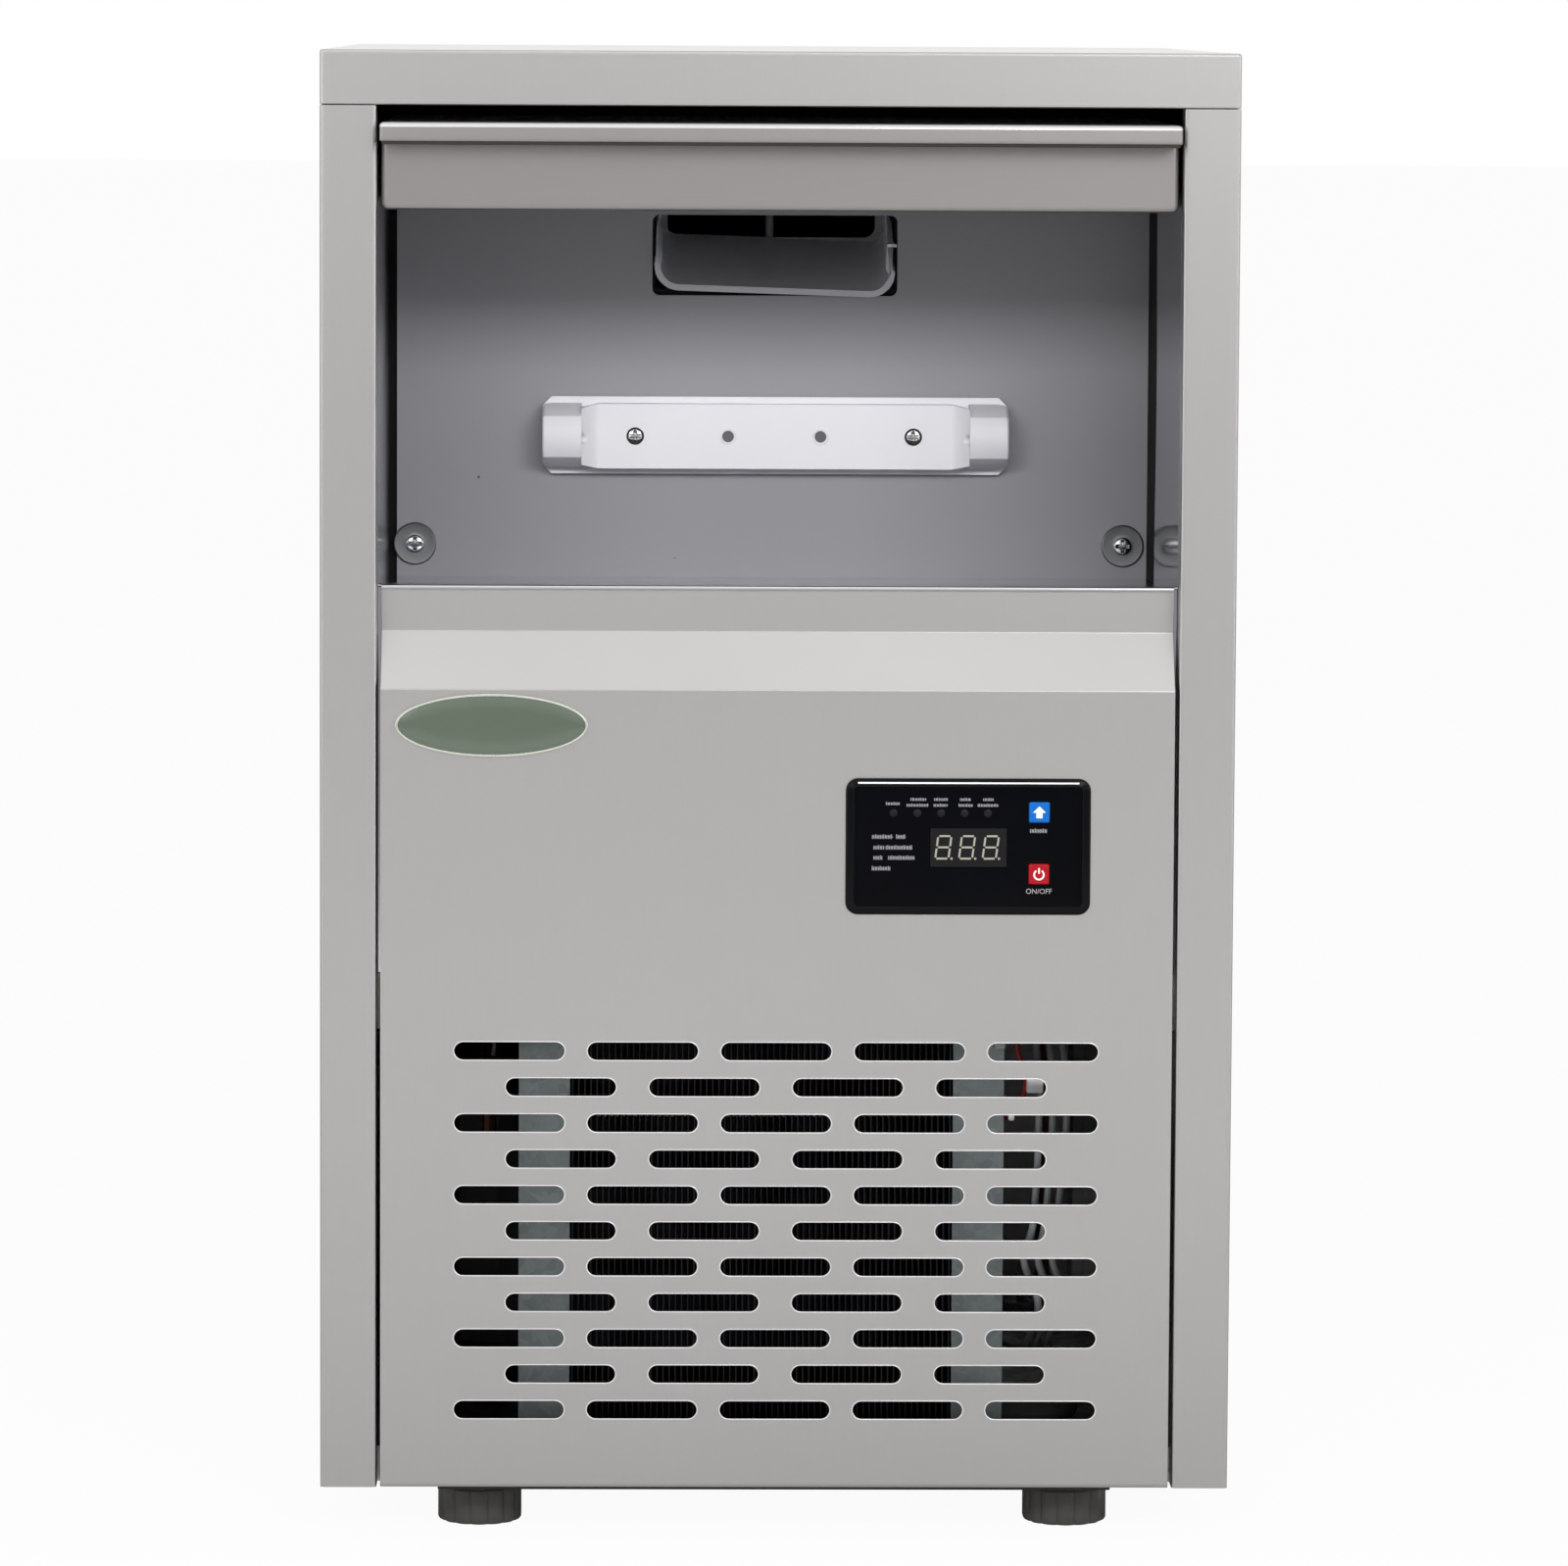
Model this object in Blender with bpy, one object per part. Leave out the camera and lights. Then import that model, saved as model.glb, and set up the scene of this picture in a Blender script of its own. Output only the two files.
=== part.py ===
# Flake ice maker with a bin door that slides under the top and swings down, built as separate pieces.
# Lengths are metres. Depths are measured from the front face of the two posts, heights from the floor.

import math

import bmesh
import bpy
from mathutils import Matrix, Vector

# Whole cabinet
WIDTH = 0.380
DEPTH = 0.477
HEIGHT = 0.6206
SHEET = 0.001
GAP = 0.0003
OVERRUN = 0.002
FOOT_HEIGHT = 0.0214
FASCIA_HEIGHT = 0.0226
POST_WIDTH = 0.0235
POST_RETURN = 0.014
REAR_FLANGE = 0.018
BEND_RADIUS = 0.0015

# Base pan and feet
PAN_WALL = 0.0012
PAN_DEPTH = 0.015
FOOT_SIDE_INSET = 0.066
FOOT_INSET = 0.045
FOOT_RADIUS = 0.018
FOOT_BODY = 0.0148
FOOT_RIB = 0.0008
FOOT_COLLAR_RADIUS = 0.009
FOOT_COLLAR = 0.0035
STEM_RADIUS = 0.004
STEM_LENGTH = 0.026
NUT_RADIUS = 0.008
NUT_HEIGHT = 0.008
FOOT_RIBS = 18

# Lower front panel and its slots
PANEL_SIDE_GAP = 0.0015
FACE_TOP = 0.3567
SLANT_TOP = 0.37975
SILL_HEIGHT = 0.399
UPPER_SETBACK = 0.014
SLOT_MARGIN = 0.0308
SLOT_COLUMNS = 5
SLOT_HEIGHT = 0.0074
SLOT_ROWS = 11
SLOT_ROW_PITCH = 0.01512
TOP_ROW_HEIGHT = 0.2055
SLOT_BRIDGE = 0.0096
WIDE_SLOT_BRIDGE = 0.0138

# Sill trim
TRIM_DEPTH = 0.013
TRIM_LEG = 0.012
TRIM_HEM = 0.006

# Bin liner, foam and bulkhead
BIN_SIDE_MARGIN = 0.0225
LINER_WALL = 0.0015
LINER_FRONT = 0.017
LINER_FLOOR = 0.2365
LINER_TOP_GAP = 0.008
FOAM_TOP_GAP = 0.038
FOAM_BOTTOM_THICKNESS = 0.0232
BACK_WALL_SETBACK = 0.227
BACK_WALL = 0.003
BACK_WALL_LEFT_GAP = 0.003
BULKHEAD_TOP_GAP = 0.003

# Chute window and chute
WINDOW_WIDTH = 0.108
WINDOW_HEIGHT = 0.0355
WINDOW_CENTRE = 0.002
WINDOW_SILL_DROP = 0.086
WINDOW_RADIUS = 0.003
CHUTE_SIDE_GAP = 0.0015
CHUTE_WALL = 0.002
CHUTE_RADIUS = 0.010
CHUTE_HEIGHT = 0.030
CHUTE_REACH = 0.005
CHUTE_RISE_SHARE = 0.25
CHUTE_LIFT = 0.001

# Screws on the back wall
SCREW_INSET = 0.011
SCREW_DROP = 0.110
WASHER_RADIUS = 0.00935
WASHER = 0.0012
HEAD_RADIUS = 0.004
HEAD_HEIGHT = 0.0022
SHANK_RADIUS = 0.002
CROSS_ARM = 0.0022
CROSS_SLOT = 0.0007
CROSS_DEPTH = 0.0012

# Ice level sensor bar
BAR_LEFT = -0.1003
BAR_RIGHT = 0.105
BAR_DROP = 0.0615
BAR_HEIGHT = 0.034
BAR_BASE = 0.009
BAR_EDGE = 0.00225
PLATE_HEIGHT = 0.027
PLATE = 0.005
POD_WIDTH = 0.0173
POD_REACH = 0.013
POD_HEIGHT = 0.029
POD_ROUND_SHARE = 0.9
EYE_RADIUS = 0.0022
EYE_DEPTH = 0.005
SENSOR_SCREW_LEFT = -0.0594
SENSOR_SCREW_RIGHT = 0.0631
PLUG_LEFT = -0.0185
PLUG_RIGHT = 0.0222
PLUG_RADIUS = 0.0031
PLUG_DEPTH = 0.0008
SENSOR_HEAD_RADIUS = 0.0032
SENSOR_HEAD_HEIGHT = 0.0014

# Door: stainless skin, inner pan, pivot rod, shoes and tracks
DOOR_SIDE_GAP = 0.0015
DOOR_TOP_GAP = 0.007
DOOR_LIP_REACH = 0.014
LIP_DEPTH = 0.0078
PIVOT_DROP = 0.020
PIVOT_TO_LIP = 0.190
PIVOT_TO_TOP_EDGE = 0.029
PIVOT_TO_BOX = 0.168
BOX_DEPTH = 0.0285
BOX_WALL = 0.0015
BOX_RADIUS = 0.005
ROD_RADIUS = 0.004
SHOE_LENGTH = 0.020
SHOE_WIDTH = 0.0085
TRACK_HEIGHT = 0.018
TRACK_WIDTH = 0.011
TRACK_WALL = 0.0012
TRACK_START = 0.002
SLOT_CLEARANCE = 0.0005

# Control panel, buttons and badge
CONTROL_INSET = 0.0347
CONTROL_WIDTH = 0.102
CONTROL_BOTTOM = 0.2632
CONTROL_HEIGHT = 0.057
CONTROL_RADIUS = 0.006
BEZEL_REACH = 0.002
BEZEL_RIM = 0.003
BEZEL_RECESS = 0.001
BEZEL_FLANGE = 0.004
BEZEL_BACK = 0.013
BEZEL_WALL = 0.0015
DISPLAY_INSET = 0.0352
DISPLAY_WIDTH = 0.0319
DISPLAY_RISE = 0.020
DISPLAY_HEIGHT = 0.0163
BUTTON_SIZE = 0.0086
BUTTON_REACH = 0.0006
BUTTON_TRAVEL = 0.0008
BUTTON_FLANGE = 0.001
BUTTON_INSET = 0.0215
MODE_BUTTON_DROP = 0.014
POWER_BUTTON_RISE = 0.0172
BOARD = 0.0016
BADGE_INSET = 0.0062
BADGE_STEPS = 32
BADGE_HEIGHT_CENTRE = 0.3417
BADGE_LENGTH = 0.080
BADGE_WIDTH = 0.0265
BADGE = 0.0015

# Condenser, brackets and fan
CORE_LEFT_MARGIN = 0.1008
CORE_RIGHT_MARGIN = 0.1116
CORE_SETBACK = 0.040
CORE_DEPTH = 0.035
CORE_BOTTOM = 0.030
CORE_HEIGHT = 0.178
FIN_COUNT = 64
FIN = 0.0005
END_FIN = 0.0012
CORE_SPINE = 0.0015
COIL_ROWS = 7
COIL_RADIUS = 0.004
COIL_SETBACK = 0.017
COIL_REACH = 0.006
COIL_MARGIN = 0.015
STUB_REACH = 0.016
BRACKET_FACE = 0.0215
BRACKET_COVER = 0.002
BRACKET_LEG = 0.011
SHROUD_DEPTH = 0.030
SHROUD_WALL = 0.0012
FAN_HOLE_MARGIN = 0.0098
FAN_TIP_GAP = 0.003
HUB_RADIUS = 0.018
HUB_LENGTH = 0.014
HUB_SETBACK = 0.009
FAN_SHAFT_RADIUS = 0.003
FAN_SHAFT_TAIL = 0.012
FAN_BLADES = 5
BLADE = 0.0015
BLADE_CHORD = 0.036
BLADE_WAIST_SHARE = 0.7
BLADE_WAIST_CHORD_SHARE = 0.9
BLADE_PITCH_DEGREES = 22.0
FAN_BAR = 0.018
FAN_MOTOR_RADIUS = 0.030
FAN_MOTOR_LENGTH = 0.042
FAN_MOTOR_EDGE = 0.006

# Compressor and refrigerant lines
COMPRESSOR_SIDE_GAP = 0.017
COMPRESSOR_SETBACK = 0.215
COMPRESSOR_RADIUS = 0.072
COMPRESSOR_BOTTOM = 0.036
COMPRESSOR_HEIGHT = 0.154
CAN_SHOULDER = 0.022
CAN_SEAM = 0.002
COMPRESSOR_PLATE = 0.003
COMPRESSOR_PLATE_SIZE = 0.124
COMPRESSOR_LEG_RADIUS = 0.010
COMPRESSOR_LEG_SPREAD = 0.100
PORT_HEIGHT = 0.150
THIN_LINE_RADIUS = 0.003
SUCTION_RADIUS = 0.005
LINE_BEND = 0.010
DISCHARGE_RUN = 0.017
DISCHARGE_TURN_SETBACK = 0.118
DRIER_CLEARANCE = 0.015
DRIER_WALL_GAP = 0.0127
DRIER_BOTTOM = 0.232
DRIER_LENGTH = 0.070
DRIER_RADIUS = 0.011
DRIER_NECK = 0.010
CAPILLARY_RADIUS = 0.002
CAPILLARY_HEIGHT = 0.318
CAPILLARY_TURN_SHARE = 0.4092
SUCTION_DROP = 0.0306
SUCTION_SETBACK = 0.365

# Evaporator, auger and drive
EVAPORATOR_SIDE = 0.002
EVAPORATOR_SETBACK = 0.335
MOTOR_RADIUS = 0.035
MOTOR_HEIGHT = 0.0968
MOTOR_EDGE = 0.006
MOTOR_SHAFT_RADIUS = 0.004
MOTOR_SHAFT_DEPTH = 0.055
GEARBOX_HEIGHT = 0.070
GEARBOX_WALL = 0.004
GEARBOX_CLEARANCE = 0.003
GEAR_TEETH = 36
PINION_TEETH = 12
GEAR_MODULE = 0.002
GEAR_FACE = 0.010
GEAR_LIFT = 0.028
BACKLASH = 0.0004
ADDENDUM_SHARE = 0.8
DEDENDUM_SHARE = 1.25
PRESSURE_DEGREES = 20.0
SEAL_FLANGE = 0.008
SEAL_RADIUS = 0.034
SEAL_HEIGHT = 0.024
SHAFT_RADIUS = 0.010
SHAFT_BOTTOM_LIFT = 0.0003
SHAFT_TAIL = 0.004
TUBE_BORE_RADIUS = 0.030
TUBE_WALL = 0.002
HEAD_DROP = 0.0111
JACKET_RADIUS = 0.055
JACKET_MARGIN = 0.004
FLIGHT_RADIUS = 0.0293
FLIGHT = 0.003
FLIGHT_MARGIN = 0.006
FLIGHT_TOP_MARGIN = 0.017
FLIGHT_TURNS = 6
FLIGHT_STEPS = 9
HEAD_OUTER_RADIUS = 0.050
HEAD_BORE_RADIUS = 0.036
ICE_HEAD_HEIGHT = 0.062
HEAD_CAP = 0.010
OUTLET_WIDTH = 0.070
OUTLET_BOTTOM_LIFT = 0.014
OUTLET_HEIGHT = 0.034

# Water side
TANK_SIDE_GAP = 0.006
TANK_WIDTH = 0.063
TANK_DEPTH = 0.1484
TANK_DROP = 0.112
TANK_HEIGHT = 0.120
TANK_WALL = 0.002
FLOAT_RADIUS = 0.018
FLOAT_HEIGHT = 0.020
FLOAT_SETBACK = 0.285
GUIDE_RADIUS = 0.004
GUIDE_HEIGHT = 0.105
VALVE_SIDE_GAP = 0.023
VALVE_RISE = 0.060
VALVE_RADIUS = 0.016
VALVE_LENGTH = 0.034
VALVE_NECK_RADIUS = 0.010
REAR_REACH = 0.018
FILL_RADIUS = 0.004
FILL_RISE = 0.028
FILL_SETBACK = 0.345
FILL_DROP = 0.030
VALVE_COIL_SETBACK = 0.452
FEED_RADIUS = 0.004
FEED_HEIGHT = 0.212
DRAIN_SIDE_GAP = 0.0135
DRAIN_SETBACK = 0.200
DRAIN_RADIUS = 0.007
DRAIN_FLANGE_RADIUS = 0.014
DRAIN_FLANGE = 0.0015
DRAIN_HEIGHT = 0.062
DRAIN_TAIL = 0.012
DRAIN_BORE_RADIUS = 0.0045
DRAIN_BORE_DEPTH = 0.020

# Electrical box and rear vents
BOX_SIDE_GAP = 0.006
BOX_SPAN = 0.078
BOX_BOTTOM = 0.330
BOX_TOP_GAP = 0.068
BOX_DEEP = 0.075
BOX_SHEET = 0.0012
VENT_LENGTH = 0.080
VENT_HEIGHT = 0.006
VENT_PITCH = 0.018
VENT_ROWS = 6
VENT_COLUMNS = 2
VENT_COLUMN_PITCH = 0.130
VENT_BOTTOM = 0.120

CORNER_STEPS = 4
ROUND_STEPS = 24
SMALL_STEPS = 12
PIPE_SIDES = 8
BEND_STEPS = 4
SLOT_END_STEPS = 4

# Places that several pieces share
half_width = WIDTH / 2
fascia_bottom = HEIGHT - FASCIA_HEIGHT
post_inner = half_width - POST_WIDTH
side_inner = half_width - SHEET
pan_top = FOOT_HEIGHT + PAN_WALL
panel_half = post_inner - PANEL_SIDE_GAP
slot_length = (2 * (panel_half - SLOT_MARGIN) - (SLOT_COLUMNS - 1) * SLOT_BRIDGE) / SLOT_COLUMNS
door_half = post_inner - DOOR_SIDE_GAP
door_top = fascia_bottom - DOOR_TOP_GAP
bin_half = half_width - BIN_SIDE_MARGIN
liner_top = fascia_bottom - LINER_TOP_GAP
foam_top = fascia_bottom - FOAM_TOP_GAP
bulkhead_top = fascia_bottom - BULKHEAD_TOP_GAP
window_sill = fascia_bottom - WINDOW_SILL_DROP
bar_height = window_sill - BAR_DROP
liner_outer = bin_half + LINER_WALL
bin_floor = LINER_FLOOR + LINER_WALL
liner_side_start = POST_RETURN + 2 * GAP
bulkhead_front = BACK_WALL_SETBACK + BACK_WALL + GAP
bulkhead_back = bulkhead_front + SHEET
foam_bottom = LINER_FLOOR - GAP - FOAM_BOTTOM_THICKNESS
shelf_top = foam_bottom - GAP
pivot_setback = PIVOT_TO_LIP - DOOR_LIP_REACH
pivot_height = door_top - PIVOT_DROP
control_left = panel_half - CONTROL_INSET - CONTROL_WIDTH
control_right = control_left + CONTROL_WIDTH
control_top = CONTROL_BOTTOM + CONTROL_HEIGHT
button_column = control_right - BUTTON_INSET
mode_button_height = control_top - MODE_BUTTON_DROP
power_button_height = CONTROL_BOTTOM + POWER_BUTTON_RISE
core_left = CORE_LEFT_MARGIN - side_inner
core_right = side_inner - CORE_RIGHT_MARGIN
core_width = core_right - core_left
core_back = CORE_SETBACK + CORE_DEPTH
coil_setback = CORE_SETBACK + COIL_SETBACK
coil_bottom = CORE_BOTTOM + COIL_MARGIN
coil_pitch = (CORE_HEIGHT - 2 * COIL_MARGIN) / (COIL_ROWS - 1)
coil_top = coil_bottom + coil_pitch * (COIL_ROWS - 1)
fan_side = (core_left + core_right) / 2
fan_height = CORE_BOTTOM + CORE_HEIGHT / 2
fan_hole_radius = min(core_width, CORE_HEIGHT) / 2 - FAN_HOLE_MARGIN
fan_radius = fan_hole_radius - FAN_TIP_GAP
compressor_side = COMPRESSOR_SIDE_GAP + COMPRESSOR_RADIUS - side_inner
drain_side = bin_half - DRAIN_SIDE_GAP - DRAIN_FLANGE_RADIUS
drier_side = drain_side - DRIER_CLEARANCE
drier_setback = bulkhead_back + DRIER_WALL_GAP + DRIER_RADIUS
shroud_front = core_back + GAP
shroud_back = shroud_front + SHROUD_DEPTH
gearbox_bottom = pan_top + GAP + MOTOR_HEIGHT + GAP
gearbox_top = gearbox_bottom + GEARBOX_HEIGHT
gear_radius = GEAR_MODULE * GEAR_TEETH / 2
pinion_radius = GEAR_MODULE * PINION_TEETH / 2
pinion_side = EVAPORATOR_SIDE + gear_radius + pinion_radius
gear_bottom = gearbox_bottom + GEAR_LIFT
seal_top = gearbox_top + GAP + SEAL_FLANGE + SEAL_HEIGHT
tube_bottom = seal_top + GAP
head_bottom = window_sill - HEAD_DROP
tube_top = head_bottom - GAP
head_top = head_bottom + ICE_HEAD_HEIGHT
flight_pitch = (tube_top - tube_bottom - FLIGHT_MARGIN - FLIGHT_TOP_MARGIN - FLIGHT) / FLIGHT_TURNS
tank_left = TANK_SIDE_GAP - side_inner
tank_bottom = window_sill - TANK_DROP
valve_side = VALVE_SIDE_GAP + VALVE_RADIUS - side_inner
valve_height = tank_bottom + VALVE_RISE
front_setback = -(DEPTH + REAR_REACH - DOOR_LIP_REACH) / 2

AXES = {"x": (1, 2, 0), "y": (0, 2, 1), "z": (0, 1, 2)}


def finish(name, colour, roughness, metallic=0.0):
    made = bpy.data.materials.new(name)
    made.use_nodes = True
    shader = made.node_tree.nodes["Principled BSDF"]
    shader.inputs["Base Color"].default_value = (*colour, 1)
    shader.inputs["Roughness"].default_value = roughness
    shader.inputs["Metallic"].default_value = metallic
    return made


def spot(axis, across, up, along):
    place = [0, 0, 0]
    for index, value in zip(AXES[axis], (across, up, along)):
        place[index] = value
    return place


def rounded(corners, steps=CORNER_STEPS):
    outline = []
    for index, (u, v, radius) in enumerate(corners):
        corner = Vector((u, v))
        if radius == 0:
            outline.append(tuple(corner))
            continue
        into = (corner - Vector(corners[index - 1][:2])).normalized()
        out = (Vector(corners[(index + 1) % len(corners)][:2]) - corner).normalized()
        turn = into.angle_signed(out) * -1
        start = corner - into * radius * math.tan(abs(turn) / 2)
        side = Vector((-into.y, into.x)) * math.copysign(radius, turn)
        centre = start + side
        for step in range(steps + 1):
            outline.append(tuple(centre + Matrix.Rotation(turn * step / steps, 2) @ -side))
    return outline


def rectangle(left, bottom, right, top, radius=0):
    return rounded([(left, bottom, radius), (right, bottom, radius), (right, top, radius), (left, top, radius)])


def long_hole(centre, height, length, tall):
    reach = length / 2 - tall / 2
    outline = []
    for side in (1, -1):
        for step in range(SLOT_END_STEPS + 1):
            angle = math.pi * (step / SLOT_END_STEPS - 0.5)
            outline.append((centre + side * (reach + tall / 2 * math.cos(angle)),
                            height + side * tall / 2 * math.sin(angle)))
    return outline


def mirrored(outline):
    return [(-u, v) for u, v in outline]


def extrude(mesh, outline, axis, low, high):
    rings = [[mesh.verts.new(spot(axis, u, v, end)) for u, v in outline] for end in (low, high)]
    mesh.faces.new(rings[0])
    mesh.faces.new(rings[1][::-1])
    for index in range(len(outline)):
        after = (index + 1) % len(outline)
        mesh.faces.new((rings[0][index], rings[0][after], rings[1][after], rings[1][index]))


def block(mesh, low, high):
    extrude(mesh, rectangle(low[0], low[1], high[0], high[1]), "z", low[2], high[2])


def turned(mesh, profile, axis, centre, steps=ROUND_STEPS, ring=False):
    loops = []
    for radius, along in profile:
        count = steps if radius > 0 else 1
        loops.append([mesh.verts.new(spot(axis, centre[0] + radius * math.cos(math.tau * turn / steps),
                                          centre[1] + radius * math.sin(math.tau * turn / steps), along))
                      for turn in range(count)])
    pairs = list(zip(loops, loops[1:] + loops[:1])) if ring else list(zip(loops, loops[1:]))
    for first, second in pairs:
        for turn in range(steps):
            after = (turn + 1) % steps
            corners = [first[turn % len(first)], first[after % len(first)],
                       second[after % len(second)], second[turn % len(second)]]
            mesh.faces.new(list(dict.fromkeys(corners)))


def cylinder(mesh, axis, centre, radius, low, high, steps=ROUND_STEPS):
    turned(mesh, [(0, low), (radius, low), (radius, high), (0, high)], axis, centre, steps)


def tube(mesh, axis, centre, inner, outer, low, high, steps=ROUND_STEPS):
    turned(mesh, [(inner, low), (outer, low), (outer, high), (inner, high)], axis, centre, steps, ring=True)


def bent(points, bend):
    path = [Vector(points[0])]
    for before, corner, after in zip(points, points[1:], points[2:]):
        corner = Vector(corner)
        start = corner + (Vector(before) - corner).normalized() * bend
        end = corner + (Vector(after) - corner).normalized() * bend
        for step in range(BEND_STEPS + 1):
            share = step / BEND_STEPS
            path.append(start * (1 - share) ** 2 + corner * 2 * share * (1 - share) + end * share ** 2)
    path.append(Vector(points[-1]))
    return path


def sweep(mesh, path, radius, sides=PIPE_SIDES):
    side = None
    rings = []
    for index, place in enumerate(path):
        ahead = path[min(index + 1, len(path) - 1)] - path[max(index - 1, 0)]
        ahead.normalize()
        if side is None:
            side = ahead.orthogonal()
        side = (side - ahead * side.dot(ahead)).normalized()
        other = ahead.cross(side)
        rings.append([mesh.verts.new(place + side * radius * math.cos(math.tau * turn / sides)
                                     + other * radius * math.sin(math.tau * turn / sides))
                      for turn in range(sides)])
    mesh.faces.new(rings[0])
    mesh.faces.new(rings[-1][::-1])
    for first, second in zip(rings, rings[1:]):
        for turn in range(sides):
            after = (turn + 1) % sides
            mesh.faces.new((first[turn], first[after], second[after], second[turn]))


def piece(name, mesh, material, holder=None):
    data = bpy.data.meshes.new(name)
    bmesh.ops.recalc_face_normals(mesh, faces=mesh.faces[:])
    holder = holder or machine
    if holder is not machine:
        bmesh.ops.translate(mesh, verts=mesh.verts[:], vec=-holder.location)
    mesh.to_mesh(data)
    mesh.free()
    made = bpy.data.objects.new(name, data)
    bpy.context.scene.collection.objects.link(made)
    made.parent = holder
    if material:
        data.materials.append(material)
    else:
        made.hide_render = True
        made.display_type = "WIRE"
    return made


def shape(target, operation, mesh, note):
    helper = piece(target.name + "_" + note, mesh, None, target.parent)
    step = target.modifiers.new(note, "BOOLEAN")
    step.operation = operation
    step.solver = "EXACT"
    step.object = helper


def cut(target, mesh, note):
    shape(target, "DIFFERENCE", mesh, note)


def fuse(target, mesh, note):
    shape(target, "UNION", mesh, note)


def pivot(name, across, setback, height):
    made = bpy.data.objects.new(name, None)
    bpy.context.scene.collection.objects.link(made)
    made.parent = machine
    made.location = (across, setback, height)
    return made


def new():
    return bmesh.new()


def foot_places():
    for side, across in (("left", -1), ("right", 1)):
        for end, setback in (("front", FOOT_INSET), ("rear", DEPTH - FOOT_INSET)):
            yield f"foot_{end}_{side}", across * (WIDTH / 2 - FOOT_SIDE_INSET), setback


def base_pan():
    wide = side_inner - GAP
    front = POST_RETURN + GAP
    back = DEPTH - 2 * SHEET - 2 * GAP - SHEET
    mesh = new()
    block(mesh, (-wide, front, FOOT_HEIGHT), (wide, back, FOOT_HEIGHT + PAN_DEPTH))
    pan = piece("base_pan", mesh, galvanised)
    hollow = new()
    block(hollow, (-wide + PAN_WALL, front + PAN_WALL, pan_top),
          (wide - PAN_WALL, back - PAN_WALL, FOOT_HEIGHT + PAN_DEPTH + OVERRUN))
    cut(pan, hollow, "hollow")
    nuts = new()
    bores = new()
    for _, across, setback in foot_places():
        cylinder(nuts, "z", (across, setback), NUT_RADIUS, FOOT_HEIGHT, pan_top + NUT_HEIGHT, SMALL_STEPS)
        cylinder(bores, "z", (across, setback), STEM_RADIUS + GAP, FOOT_HEIGHT - OVERRUN,
                 pan_top + NUT_HEIGHT + OVERRUN, SMALL_STEPS)
    fuse(pan, nuts, "nuts")
    cut(pan, bores, "bores")


def feet():
    for name, across, setback in foot_places():
        holder = pivot(name + "_axis", across, setback, 0)
        mesh = new()
        ribs = [FOOT_RADIUS - FOOT_RIB * (step % 2) for step in range(2 * FOOT_RIBS)]
        outline = [(across + radius * math.cos(math.pi * step / FOOT_RIBS),
                    setback + radius * math.sin(math.pi * step / FOOT_RIBS))
                   for step, radius in enumerate(ribs)]
        extrude(mesh, outline, "z", 0, FOOT_BODY)
        foot = piece(name, mesh, foot_plastic, holder)
        stem = new()
        turned(stem, [(0, FOOT_BODY / 2), (FOOT_COLLAR_RADIUS, FOOT_BODY / 2),
                      (FOOT_COLLAR_RADIUS, FOOT_BODY + FOOT_COLLAR), (STEM_RADIUS, FOOT_BODY + FOOT_COLLAR),
                      (STEM_RADIUS, FOOT_BODY + STEM_LENGTH), (0, FOOT_BODY + STEM_LENGTH)],
               "z", (across, setback), SMALL_STEPS)
        fuse(foot, stem, "stem")


def side_panels():
    rear = DEPTH - SHEET - GAP
    outline = rounded([
        (post_inner, 0, BEND_RADIUS), (half_width, 0, BEND_RADIUS), (half_width, rear, 0),
        (half_width - REAR_FLANGE, rear, 0), (half_width - REAR_FLANGE, rear - SHEET, 0),
        (side_inner, rear - SHEET, 0), (side_inner, SHEET, BEND_RADIUS - SHEET),
        (post_inner + SHEET, SHEET, BEND_RADIUS - SHEET), (post_inner + SHEET, POST_RETURN, 0),
        (post_inner, POST_RETURN, 0)])
    for name, edge in (("right_side_panel", outline), ("left_side_panel", mirrored(outline))):
        mesh = new()
        extrude(mesh, edge, "z", FOOT_HEIGHT, fascia_bottom - GAP)
        piece(name, mesh, stainless)


def back_panel():
    mesh = new()
    wide = half_width - GAP
    block(mesh, (-wide, DEPTH - SHEET, FOOT_HEIGHT), (wide, DEPTH, fascia_bottom - GAP))
    panel = piece("back_panel", mesh, stainless)
    holes = new()
    low, high = DEPTH - SHEET - OVERRUN, DEPTH + OVERRUN
    for column in range(VENT_COLUMNS):
        across = (column - (VENT_COLUMNS - 1) / 2) * VENT_COLUMN_PITCH
        for row in range(VENT_ROWS):
            extrude(holes, long_hole(across, VENT_BOTTOM + row * VENT_PITCH, VENT_LENGTH, VENT_HEIGHT),
                    "y", low, high)
    cylinder(holes, "y", (valve_side, valve_height), VALVE_NECK_RADIUS + GAP, low, high)
    cylinder(holes, "y", (drain_side, DRAIN_HEIGHT), DRAIN_RADIUS + GAP, low, high)
    cut(panel, holes, "holes")


def top_cover():
    mesh = new()
    extrude(mesh, rectangle(-half_width, 0, half_width, DEPTH, BEND_RADIUS), "z", fascia_bottom, HEIGHT)
    cover = piece("top_cover", mesh, stainless)
    hollow = new()
    block(hollow, (-side_inner, SHEET, fascia_bottom - OVERRUN), (side_inner, DEPTH - SHEET, HEIGHT - SHEET))
    cut(cover, hollow, "hollow")


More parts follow.
